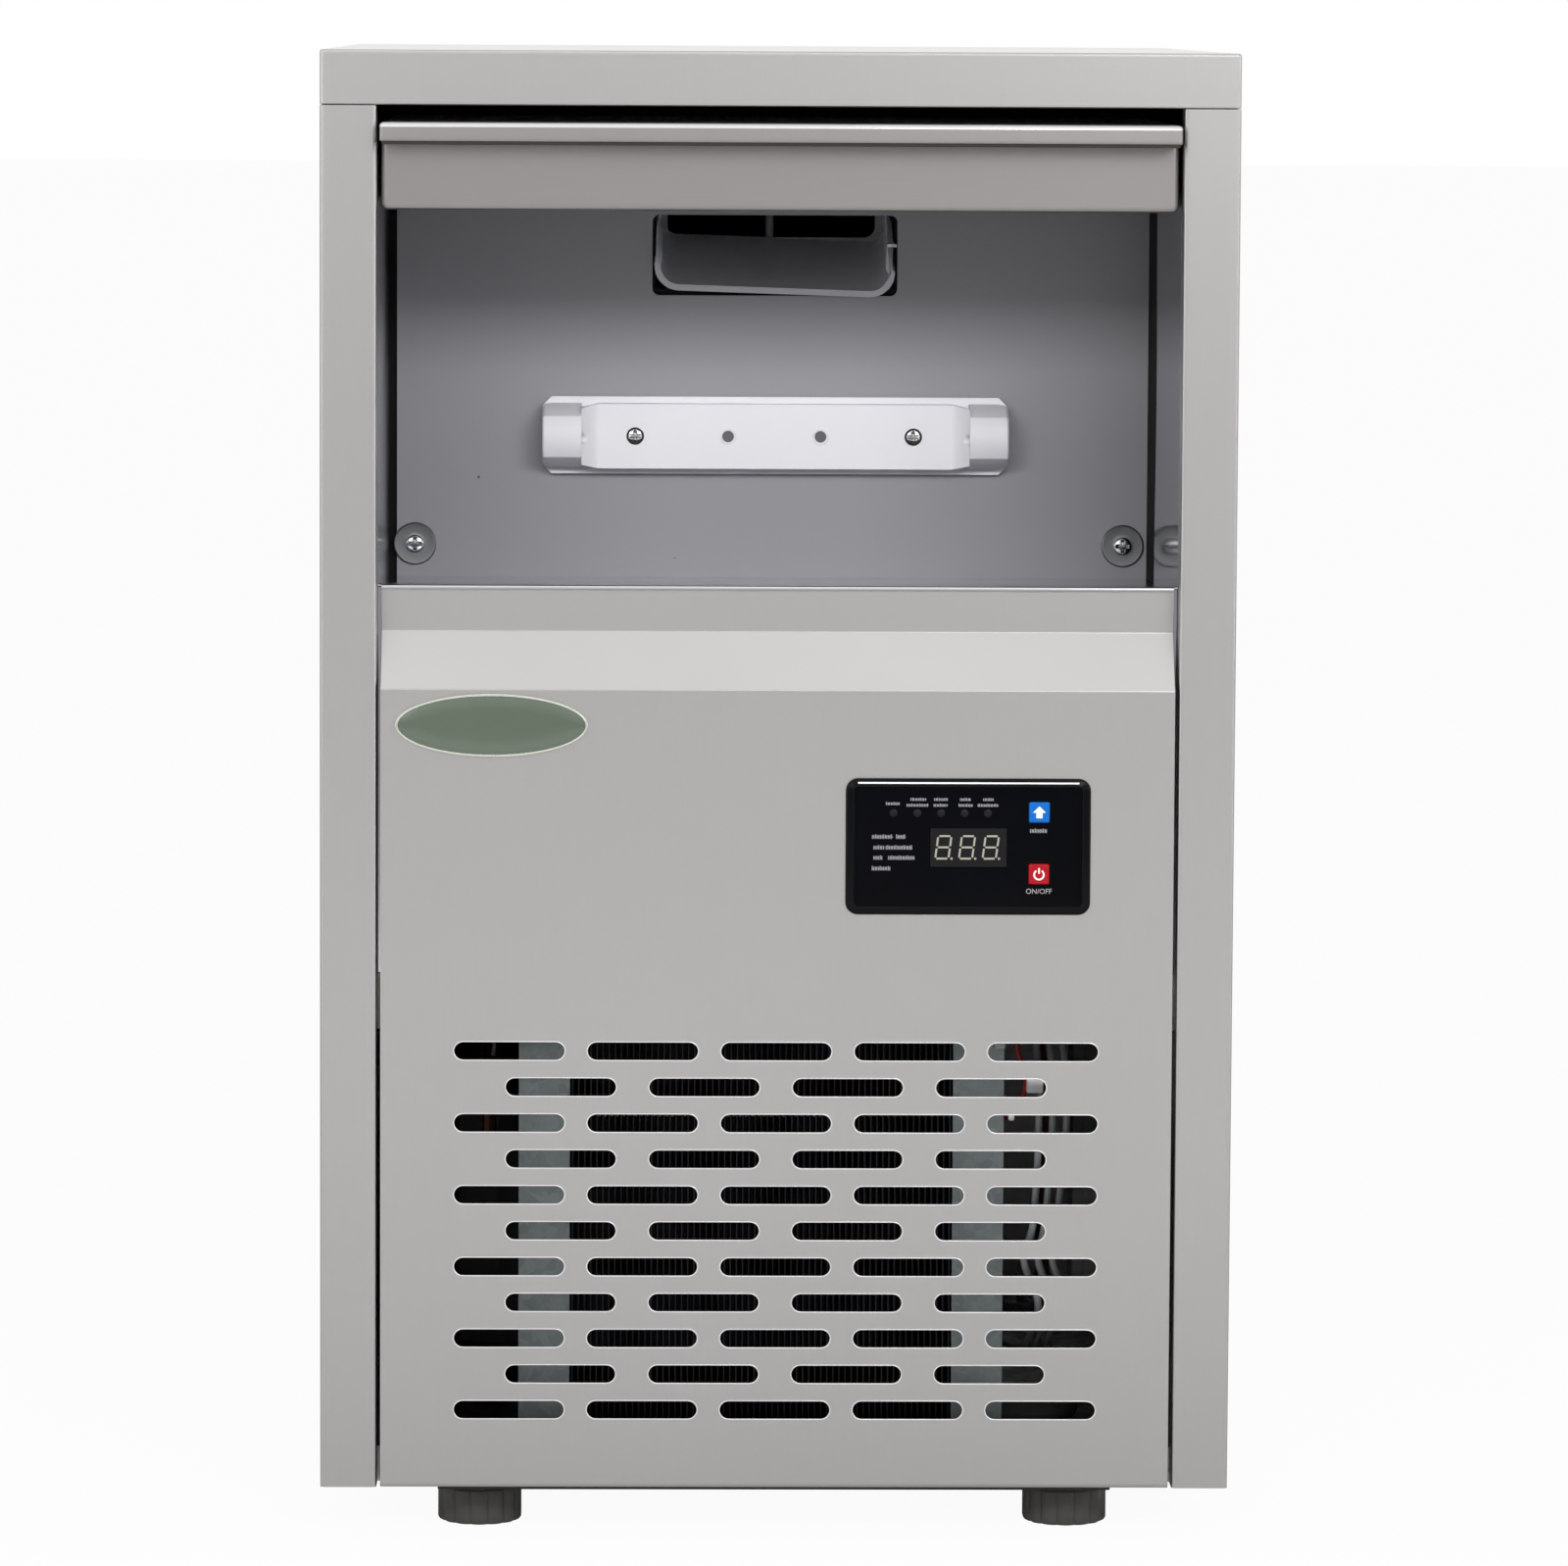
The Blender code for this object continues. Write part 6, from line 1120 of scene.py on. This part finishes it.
def strip(points, width, y, thick=control["mark"]):
    # a flat stroke of one width along a line of (x, z) points
    points = np.asarray(points, float)
    ahead = np.gradient(points, axis=0)
    ahead /= np.linalg.norm(ahead, axis=1)[:, None]
    side = np.stack([-ahead[:, 1], ahead[:, 0]], -1) * width / 2
    flat = np.stack([points + side, points - side], 1)
    front, rear = (placed("y", flat[..., 0], flat[..., 1], depth) for depth in (y - thick, y))
    return loft(np.concatenate([front, rear[:, ::-1]], 1))


def shapePlate(corners, y, thick=control["mark"]):
    corners = np.asarray(corners, float)
    return loft(placed("y", corners[:, 0], corners[:, 1], np.array([y - thick, y])[:, None]))


def controlCase():
    # the moulded rim with the housing behind it, a pale strip on the rim that paints its highlight, and the
    # glossy plate inside
    outline = boxOutline(bezelLow, bezelHigh, control["radius"], 8)
    rim, edge, fall, far = control["rim"], control["edge"], control["fall"], control["backInset"]
    faceBack, crest = faceY - control["gap"], bezelLow[1] + edge * control["crestShare"]
    inset, drop = control["backEdge"]
    levels = [(rim + far, faceBack), (inset, faceBack), (0, faceBack - drop), (0, crest + edge + fall)]
    levels += quarterRound(edge, crest + fall, 1, 5)[::-1][:-1] + [(edge, crest + fall - control["crestDip"])]
    levels += [(rim + inset, crest + depth) for inset, depth in control["crestLine"]]
    levels += [(rim + control["slant"], plateY), (rim + far, plateY + control["seatDrop"])]
    ring = stacked(outline, levels, wrap=True)
    housing = boxOutline(bezelLow, bezelHigh, control["housingRadius"], 2, -control["housing"])
    wall, start, end = control["housingWall"], plateY + control["plate"], bezelHigh[1]
    walls = stacked(housing, [(wall, start), (0, start), (0, end), (wall, end)], wrap=True)
    makePiece("controlBezel", together(ring, walls), "rimGloss", "gloss_black", ["control_bezel"], crease=50)
    # a pale strip along the top of the rim paints its highlight
    reach, highlightZ = control["highlightReach"], bezelHigh[2] - control["highlightDrop"]
    line = [(x, highlightZ) for x in np.linspace(bezelLow[0] + reach, bezelHigh[0] - reach, 3)]
    highlightStrip = strip(line, control["highlightWidth"], crest - control["crestDip"], control["highlightThick"])
    makePiece("rimHighlight", highlightStrip, "symbol", "white_plastic", crease=30)
    holes = [boxOutline(windowLow, windowHigh, control["windowRadius"], 2, control["windowGap"])()]
    half = control["holeHalf"]
    holes += [roundedRectangle(x - half, z - half, x + half, z + half, control["holeRadius"], 3)()
              for x, z in buttonPlaces.values()]
    plate = flatPlate(outline(rim + control["plateInset"]), holes, plateY, control["plate"])
    makePiece("controlPlate", plate, "gloss_black", crease=35, even=True)


digits = {"left": 0.0021, "bottom": 0.0036, "pitch": 0.00985, "width": 0.0055, "tall": 0.0094,
          "stroke": 0.00078, "gapShare": 0.62, "slope": 0.13, "dotX": 0.0068, "dot": 0.0005}


def digitEight(x, z):
    # seven separate strokes of a figure eight, leaning by slope
    width, tall = digits["width"], digits["tall"]
    gap, half = digits["stroke"] * digits["gapShare"], digits["tall"] / 2
    lines = [((gap, height), (width - gap, height)) for height in (tall, half, 0)]
    lines += [((side, start + gap), (side, start + half - gap)) for side in (0, width) for start in (0, half)]
    return [strip([(x + u + v * digits["slope"], z + v) for u, v in line], digits["stroke"],
                  plateY - control["lift"]) for line in lines]


def display():
    # a dark window with three unlit figures, each with its point
    edge, start, end = control["windowEdge"], plateY + control["windowLift"], windowHigh[1]
    window = boxOutline(windowLow, windowHigh, control["windowRadius"], 2)
    levels = [(edge, plateY - control["lift"]), (0, start), (0, end), (edge, end)]
    makePiece("displayWindow", stacked(window, levels), "display", stands=["display_module"])
    near, z, strokes, dots = plateY - control["lift"], windowLow[2] + digits["bottom"], [], []
    for k in range(3):
        x = windowLow[0] + digits["left"] + k * digits["pitch"]
        strokes += digitEight(x, z)
        dots.append(rod(digits["dot"], near, near - control["mark"], (x + digits["dotX"], z), "y", 16))
    makePiece("displayDigits", together(*strokes, *dots), "digit", "display", crease=60)


# places in the photograph: the panel's edges, the row of lamps, and the start, end and height of each line
# of print
photo = {"left": 863.0, "right": 1113.0, "top": 794.0, "bottom": 934.0, "lampRow": 829.4,
         "lampColumns": (911.8, 936.0, 960.2, 984.2, 1007.9), "smallAbove": 823, "print": (
             (904, 918.5, 820.0), (925, 947, 821.5), (929, 944, 815.5), (952.5, 967, 821.5),
             (953, 967, 815.5), (978, 991, 821.5), (979.5, 989.5, 815.5), (997.5, 1018, 821.5),
             (1003, 1013.5, 815.5), (890, 911, 854.0), (914.5, 924, 854.0), (891.5, 902, 865.0),
             (904, 930.5, 865.0), (891.5, 901, 875.5), (906.5, 934, 875.5), (890, 909, 886.5),
             (1051, 1068.5, 847.5))}
lampDome = {"radius": 0.0015, "height": 0.0004, "lift": 0.0001, "flange": 0.0017, "deep": 0.0002}
tick = {"pitch": 0.00066, "width": 0.00030, "smallHalf": 0.00056, "half": 0.00078, "tallShare": 1.35,
        "link": 0.00014, "linkLift": 0.00001}


def panelSpot(u, v):
    # where a place in the photograph lies on the panel, from the panel's own edges there
    x = bezelLow[0] + (u - photo["left"]) * (bezelHigh[0] - bezelLow[0]) / (photo["right"] - photo["left"])
    z = bezelHigh[2] - (v - photo["top"]) * (bezelHigh[2] - bezelLow[2]) / (photo["bottom"] - photo["top"])
    return x, z


def panelMarks():
    # lamp domes, and rows of plain ticks where the panel has its small print
    turn = np.linspace(0, math.pi / 2, 6)
    lift, flange, deep = lampDome["lift"], lampDome["flange"], lampDome["deep"]
    dome = [(lampDome["radius"] * math.sin(t), -lift - lampDome["height"] * math.cos(t)) for t in turn]
    profile = np.array(dome + [(flange, -lift), (flange, deep), (0, deep)]) + (0, plateY)
    lamps = [turned(profile, panelSpot(u, photo["lampRow"]), "y", 24) for u in photo["lampColumns"]]
    makePiece("statusLamps", together(*lamps), "lamp", "display")

    ticks = []
    wide, pitch, link = tick["width"], tick["pitch"], tick["link"]

    def block(left, right, bottom, top, y):
        ticks.append(shapePlate([(left, bottom), (right, bottom), (right, top), (left, top)], y))

    for row, (u0, u1, v) in enumerate(photo["print"]):
        (start, z), (end, _) = panelSpot(u0, v), panelSpot(u1, v)
        half = tick["smallHalf"] if v < photo["smallAbove"] else tick["half"]
        for k in range(int((end - start) / pitch) + 1):
            left = start + k * pitch
            tall = half * (tick["tallShare"] if (k * 3 + row) % 5 == 0 else 1.0)
            block(left, left + wide, z - half, z + tall, plateY)
            if (k + row) % 2:
                block(left, left + pitch, z - link, z + link, plateY - tick["linkLift"])
    makePiece("panelMarks", together(*ticks), "ink", "white_plastic", crease=60)


onOff = {"size": 0.0030, "extrude": 0.00004, "lift": 0.00006, "drop": 0.0073}


def onOffWords():
    # lettering under the power button, made flat and turned upright
    words = bpy.data.curves.new("onOffWords", "FONT")
    words.body, words.size, words.extrude = "ON/OFF", onOff["size"], onOff["extrude"]
    words.align_x, words.align_y = "CENTER", "CENTER"
    holder = newObject("onOffWords", words)
    bpy.context.view_layer.update()
    mesh = bpy.data.meshes.new_from_object(holder.evaluated_get(bpy.context.evaluated_depsgraph_get()))
    bpy.data.objects.remove(holder)
    x, z = buttonPlaces["power_button"]
    place = Matrix.Translation((x, plateY - onOff["lift"], z - onOff["drop"]))
    mesh.transform(place @ Matrix.Rotation(math.pi / 2, 4, "X"))
    mesh.materials.clear()
    mesh.materials.append(finishes["ink"])
    piece = newObject("onOffWords", mesh)
    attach(piece, "cabinet")


cap = {"half": 0.0043, "radius": 0.0008, "edge": 0.0007, "edgeDrop": 0.00005, "crown": 0.0012,
       "markDrop": 0.00003, "flange": 0.0018, "flangeOut": 0.001, "flangeThick": 0.001, "foot": 0.0005,
       "stroke": 0.0007, "ring": 0.0020, "ringDrop": 0.0002, "ringTurn": (125, 415),
       "bar": (0.0026, 0.0002), "arrow": (
           (0, 0.0026), (0.0027, -0.0001), (0.0013, -0.0001), (0.0013, -0.0024), (-0.0013, -0.0024),
           (-0.0013, -0.0001), (-0.0027, -0.0001))}


def pushButtons():
    # a cap with a flange behind the plate, and a raised arrow or power symbol
    half, out, foot = cap["half"], cap["flangeOut"], cap["foot"]
    start = plateY + cap["flange"]
    end = start + cap["flangeThick"]
    angle = np.radians(np.linspace(*cap["ringTurn"], 25))
    ring = cap["ring"] * np.stack([np.cos(angle), np.sin(angle)], -1) - (0, cap["ringDrop"])
    for kind, colour in (("mode", "blue"), ("power", "red")):
        node = kind + "_button"
        x, z = buttonPlaces[node]
        low, high = spans(node)
        outline = roundedRectangle(x - half, z - half, x + half, z + half, cap["radius"], 5)
        y = low[1] + cap["markDrop"]
        levels = [(cap["crown"], y)] + quarterRound(cap["edge"], low[1] + cap["edgeDrop"], 1, 4)
        levels += [(0, start), (-out, start), (-out, end), (0, end), (0, high[1]), (foot, high[1])]
        makePiece(kind + "Button", stacked(outline, levels), colour, stands=[node], body=node, crease=35)
        if kind == "mode":
            marks = [shapePlate(np.array(cap["arrow"]) + (x, z), y)]
        else:
            marks = [strip(ring + (x, z), cap["stroke"], y),
                     strip([(x, z + height) for height in cap["bar"]], cap["stroke"], y)]
        makePiece(kind + "ButtonSymbol", together(*marks), "symbol", "white_plastic", body=node, crease=60)


badge = {"rim": 0.0013, "edge": 0.0004, "side": 0.0006, "slope": ((-0.0003, 0.0001), (0, 0.0005)),
         "dome": 0.0005, "steps": 8, "lap": 0.0001, "flat": 0.0008}


def ovalBadge():
    # a bright rim round a bare green dome
    low, high = spans("badge_plate")
    outline = oval(*middleOf(low, high), high[0] - low[0], high[2] - low[2])
    front, rear, rim, side = low[1], high[1], badge["rim"], low[1] + badge["side"]
    levels = [(rim, rear), (0, rear), (0, side)] + quarterRound(badge["edge"], front, 1, 4)[::-1]
    levels += [(rim + inset, front + depth) for inset, depth in badge["slope"]]
    makePiece("badgeRim", stacked(outline, levels, wrap=True), "rim", "polished", ["badge_plate"], crease=40)
    reach = (high[2] - low[2]) / 2 - rim - badge["flat"]
    dome = [(rim - badge["lap"], rear)]
    dome += [(rim + reach * (1 - share), side - badge["dome"] * math.sqrt(1 - share * share))
             for share in np.linspace(1, 0, badge["steps"])]
    makePiece("badgeFace", stacked(outline, dome), "badge_green", crease=60)


controlCase()
display()
panelMarks()
onOffWords()
pushButtons()
ovalBadge()
print("stage: control panel and badge made")


foot = {"radius": 0.018, "gap": 0.0001, "flutes": 14, "flute": 0.0011, "flutePower": 0.7, "fluteFade": 0.008,
        "steps": 168, "body": 0.0148, "toe": ((0.003, 0), (0.0016, 0), (0.00064, 0.00056), (0, 0.0016)),
        "crown": ((0, -0.0008), (0.0003, -0.0002), (0.001, 0), (0.0035, 0), (0.004, -0.0008),
                  (0.0085, -0.0008))}
stem = {"radius": 0.004, "top": 0.0408, "collarRadius": 0.009, "collar": 0.0035, "edge": 0.0006, "lap": 0.001,
        "collarFoot": 0.0004, "collarTop": 0.0005, "thread": 0.0005, "pitch": 0.00125, "margin": 0.001}


def feetPieces():
    # a fluted pad whose radius falls by a rounded flute between lobes, and a steel stem turned with a thread
    tall, radius, wide, edge = foot["body"], stem["radius"], stem["collarRadius"], stem["edge"]
    collar, top, margin = tall + stem["collar"], stem["top"], stem["margin"]
    pad = list(foot["toe"]) + [(inset, tall + drop) for inset, drop in foot["crown"]]
    profile = [(0, tall - stem["lap"]), (wide - edge, tall - stem["lap"]), (wide, tall - stem["collarFoot"]),
               (wide, collar - stem["collarTop"]), (wide - edge, collar), (radius, collar)]
    profile += [(radius - stem["thread"] * (k % 2), z)
                for k, z in enumerate(np.arange(collar + margin, top - margin, stem["pitch"] / 2))]
    profile += [(radius - edge, top), (0, top)]
    angle = np.arange(foot["steps"]) * tau / foot["steps"]
    valley = 1 - np.abs(np.sin(angle * foot["flutes"] / 2)) ** foot["flutePower"]
    for body in (f"foot_{end}_{side}" for end in ("front", "rear") for side in ("left", "right")):
        low, high = spans(body)
        x, y = (low[0] + high[0]) / 2, (low[1] + high[1]) / 2

        def outline(inset, x=x, y=y):
            fade = min(1, max(0, 1 - inset / foot["fluteFade"]))
            reach = foot["radius"] - foot["gap"] - inset - foot["flute"] * valley * fade
            return np.stack([x + reach * np.cos(angle), y + reach * np.sin(angle)], -1)

        label = body[5:].title().replace("_", "")
        makePiece("foot" + label, stacked(outline, pad, "z"), "dark_plastic", None, [body], body, crease=50)
        bolt = turned(profile, (x, y), "z", 36)
        makePiece("footStem" + label, bolt, "tubes", "polished", body=body, crease=30)


feetPieces()
print("stage: feet made")


coil = {"left": -0.0882, "right": 0.0774, "radius": 0.0042, "collar": 0.0052, "pitch": 0.0026, "steps": 4,
        "setback": 0.0075, "rows": (0.1750, 0.1448, 0.1000, 0.0550)}


def condenserTubes():
    # tubes through the fins with a pressed collar at each fin
    y = spans("condenser_core")[0][1] + coil["setback"]
    along = np.arange(coil["left"], coil["right"], coil["pitch"] / coil["steps"])
    radius = np.where(np.arange(len(along)) % coil["steps"] == 0, coil["collar"], coil["radius"])
    profile = np.stack([radius, along], -1)
    makePiece("condenserTubes", together(*(turned(profile, (y, z), "x", 16) for z in coil["rows"])), "tubes",
              "polished", crease=50)


# routes, as x, depth behind the face and height; the grey wires fan out by the second value
wires = {"redRadius": 0.0011, "greyRadius": 0.0016, "plugEdge": 0.0006,
         "red": ((0.100, 0.014, 0.262), (0.104, 0.030, 0.235), (0.102, 0.036, 0.205), (0.106, 0.034, 0.188),
                 (0.100, 0.048, 0.172), (0.088, 0.085, 0.168), (0.060, 0.108, 0.150), (0.020, 0.118, 0.130)),
         "grey": ((0.104, 0.004, 0.014, 0.262), (0.108, 0.005, 0.030, 0.225), (0.112, 0.006, 0.044, 0.180),
                  (0.110, 0.005, 0.040, 0.130), (0.106, 0.006, 0.042, 0.112), (0.112, 0.006, 0.040, 0.094),
                  (0.110, 0.004, 0.050, 0.080), (0.106, 0.004, 0.090, 0.066), (0.095, 0.000, 0.180, 0.060),
                  (0.080, -0.004, 0.300, 0.060)),
         "plugs": (((0.1060, 0.028, 0.1845), (0.1130, 0.040, 0.1960)),
                   ((0.0925, 0.030, 0.2030), (0.0970, 0.038, 0.2110)),
                   ((0.0985, 0.030, 0.1725), (0.1010, 0.036, 0.1790)))}


def wireLoom():
    # wires from the control board to the fan motor and the drive motor, and their connectors
    behind = np.array((0, faceY, 0))
    red = smoothPath(np.array(wires["red"]) + behind)
    makePiece("wireRed", tube(red, wires["redRadius"]), "wireRed", "red")
    route = np.array(wires["grey"])
    greys = [tube(smoothPath(route[:, (0, 2, 3)] + behind + route[:, 1:2] * (k, 0, 0)), wires["greyRadius"])
             for k in range(3)]
    makePiece("wireGrey", together(*greys), "wireGrey", "hose")
    plugs = [box(low + behind, high + behind) for low, high in wires["plugs"]]
    makePiece("wirePlugs", together(*plugs), "white_plastic", crease=30, bevel=wires["plugEdge"])


sleeve = {"start": 0.0965, "side": 0.125, "front": -0.1835, "back": -0.110, "height": 0.045, "radius": 0.0058,
          "bend": 0.010}


def pipeSleeve():
    # black foam over the condenser's outlet pipe, where it passes behind the lowest slots
    side, front, height, bend = sleeve["side"], sleeve["front"], sleeve["height"], sleeve["bend"]
    turn = np.linspace(0, math.pi / 2, 7)
    x, y = side - bend * (1 - np.sin(turn)), front + bend * (1 - np.cos(turn))
    corner = np.stack([x, y, np.full(7, height)], -1)
    path = np.vstack([[(sleeve["start"], front, height)], corner, [(side, sleeve["back"], height)]])
    makePiece("pipeSleeve", tube(path, sleeve["radius"], 20, (0, 0, 1)), "black_foam", crease=50)


condenserTubes()
wireLoom()
pipeSleeve()
print("stage: parts behind the slots made")


port = {"neckRadius": 0.0100, "thread": 0.0006, "pitch": 0.0018, "threadGap": 0.003, "threadEnd": 0.0015,
        "body": ((0.013, 0), (0.0155, 0.002), (0.016, 0.004)), "lip": 0.001, "bore": 0.0045,
        "flange": ((0.016, -0.0035), (0.0155, -0.0013))}
socket = {"outline": (0.022, 0.486, 0.072, 0.516, 0.003), "edge": 0.0008, "proud": 0.0036, "side": 0.0028,
          "well": ((0.0042, 0.0036), (0.0050, 0.0030), (0.0052, 0.0006)), "pins": (0.040, 0.047, 0.054),
          "pinHalf": 0.0010, "pinSpan": (0.0005, 0.0032), "pinHeights": (0.4975, 0.5045), "pinEdge": 0.0003}


def rearFittings():
    # the threaded water inlet, and a plain power inlet with three pins
    low, high = spans("inlet_valve")
    panelY, neck, bore = spans("back_panel")[1][1], port["neckRadius"], port["bore"]
    profile = [(0, low[1])] + [(radius, low[1] + along) for radius, along in port["body"]]
    profile += [(radius, panelY + along) for radius, along in port["flange"]]
    profile += [(neck, panelY + port["flange"][-1][1]), (neck, panelY + port["threadGap"])]
    profile += [(neck - port["thread"] * (k % 2), y) for k, y in enumerate(
        np.arange(panelY + port["threadGap"], high[1] - port["threadEnd"], port["pitch"] / 2))]
    profile += [(neck - port["lip"], high[1]), (bore, high[1]), (bore, panelY), (0, panelY)]
    makePiece("inletValve", turned(profile, middleOf(low, high), "y", 48), "white_plastic",
              stands=["inlet_valve"], crease=30)
    levels = [(0, 0), (0, socket["side"])] + quarterRound(socket["edge"], socket["proud"], -1, 3)[::-1]
    levels = np.array(levels + list(socket["well"])) + (0, panelY)
    shell = stacked(roundedRectangle(*socket["outline"], 5), levels)
    makePiece("powerInlet", shell, "gloss_black", crease=35)
    half, (near, far), (bottom, top) = socket["pinHalf"], socket["pinSpan"], socket["pinHeights"]
    pins = [box((x - half, panelY + near, bottom), (x + half, panelY + far, top)) for x in socket["pins"]]
    makePiece("inletPins", together(*pins), "screw", "polished", crease=30, bevel=socket["pinEdge"])


rearFittings()
print("stage: rear fittings made")


# each lamp: name, watts, width and height, place, and whether metal shows it
studio = {"floor": 0.80, "floorRough": 0.9, "floorHalf": 30, "whiteShare": 0.95, "sky": 0.42,
          "aim": (0, -0.2, 0.42), "lamps": (
              ("keySoftbox", 33.5, (2.7, 0.30), (0.02, -2.3, 1.12), False),
              ("sheenSoftbox", 8.5, (1.0, 0.6), (0.78, -2.3, 1.15), True),
              ("leftFill", 3.5, (0.8, 0.8), (-0.9, -2.4, 1.0), True),
              ("topSoftbox", 3.0, (1.5, 1.0), (0, -1.5, 2.4), True),
              ("leftStrip", 8.0, (0.45, 1.8), (-2.17, -1.1, 0.7), True),
              ("rightStrip", 8.0, (0.45, 1.8), (2.17, -1.1, 0.7), True))}


def buildFloor():
    # a matt floor that the camera sees nearly white
    half, tone = studio["floorHalf"], studio["floor"]
    mesh = bpy.data.meshes.new("floor")
    corners = [(-half, -half, 0), (half, -half, 0), (half, half, 0), (-half, half, 0)]
    mesh.from_pydata(corners, [], [(0, 1, 2, 3)])
    newObject("floor", mesh)
    made = bpy.data.materials.new("paleFloor")
    made.use_nodes = True
    tree = made.node_tree
    shader = tree.nodes["Principled BSDF"]
    for label, value in (("Base Color", (tone, tone, tone, 1)), ("Roughness", studio["floorRough"]),
                         ("Specular IOR Level", 0.0)):
        shader.inputs[label].default_value = value
    path = newNode(tree, "LightPath")
    seen = mathNode(tree, "MAXIMUM", path.outputs["Is Camera Ray"], path.outputs["Is Transmission Ray"])
    share = mathNode(tree, "MULTIPLY", seen, studio["whiteShare"])
    glow = newNode(tree, "Emission", [("Color", (1, 1, 1, 1)), ("Strength", 1.0)])
    mix = newNode(tree, "MixShader", [(0, share), (1, shader.outputs[0]), (2, glow.outputs[0])])
    tree.links.new(mix.outputs[0], tree.nodes["Material Output"].inputs[0])
    mesh.materials.append(made)


def buildSky():
    # white where the camera or a reflection sees it, and dimmer as a light
    world = bpy.data.worlds.new("studio")
    bpy.context.scene.world = world
    world.use_nodes = True
    tree = world.node_tree
    tree.nodes.clear()
    path = newNode(tree, "LightPath")
    mirrored = mathNode(tree, "MAXIMUM", path.outputs["Is Glossy Ray"], path.outputs["Is Transmission Ray"])
    seen = mathNode(tree, "MAXIMUM", path.outputs["Is Camera Ray"], mirrored)
    plain, bright = (newNode(tree, "Background", [("Color", (1, 1, 1, 1)), ("Strength", strength)])
                     for strength in (studio["sky"], 1.0))
    mix = newNode(tree, "MixShader", [(0, seen), (1, plain.outputs[0]), (2, bright.outputs[0])])
    newNode(tree, "OutputWorld", [("Surface", mix.outputs[0])])


def buildLamps():
    for name, power, size, place, sheen in studio["lamps"]:
        data = bpy.data.lights.new(name, "AREA")
        data.shape, data.size, data.size_y, data.energy = "RECTANGLE", size[0], size[1], power
        lamp = newObject(name, data)
        lamp.location = place
        lamp.rotation_euler = (Vector(studio["aim"]) - Vector(place)).to_track_quat("-Z", "Y").to_euler()
        lamp.visible_camera = False
        lamp.visible_glossy = sheen


view = {"yaw": -0.0202, "pitch": -0.0965, "roll": -0.0052, "lens": 183.42, "sensor": 36, "reach": 100,
        "place": (-0.0641, -3.5424, 0.6377)}


def buildCamera():
    # found from the photograph: place, small yaw, pitch and roll, and a long lens
    turn = Matrix.Rotation(view["yaw"], 3, "Z") @ Matrix.Rotation(view["pitch"], 3, "X")
    turn = turn @ Matrix.Rotation(view["roll"], 3, "Y")
    right, forward, up = turn.col[0], turn.col[1], turn.col[2]
    data = bpy.data.cameras.new("camera")
    data.sensor_width, data.lens, data.clip_end = view["sensor"], view["lens"], view["reach"]
    camera = newObject("camera", data)
    matrix = Matrix((right, up, -forward)).transposed().to_4x4()
    matrix.translation = view["place"]
    camera.matrix_world = matrix
    bpy.context.scene.camera = camera


buildFloor()
buildSky()
buildLamps()
buildCamera()
bpy.context.scene.view_settings.view_transform = "Standard"
print("stage: studio ready")
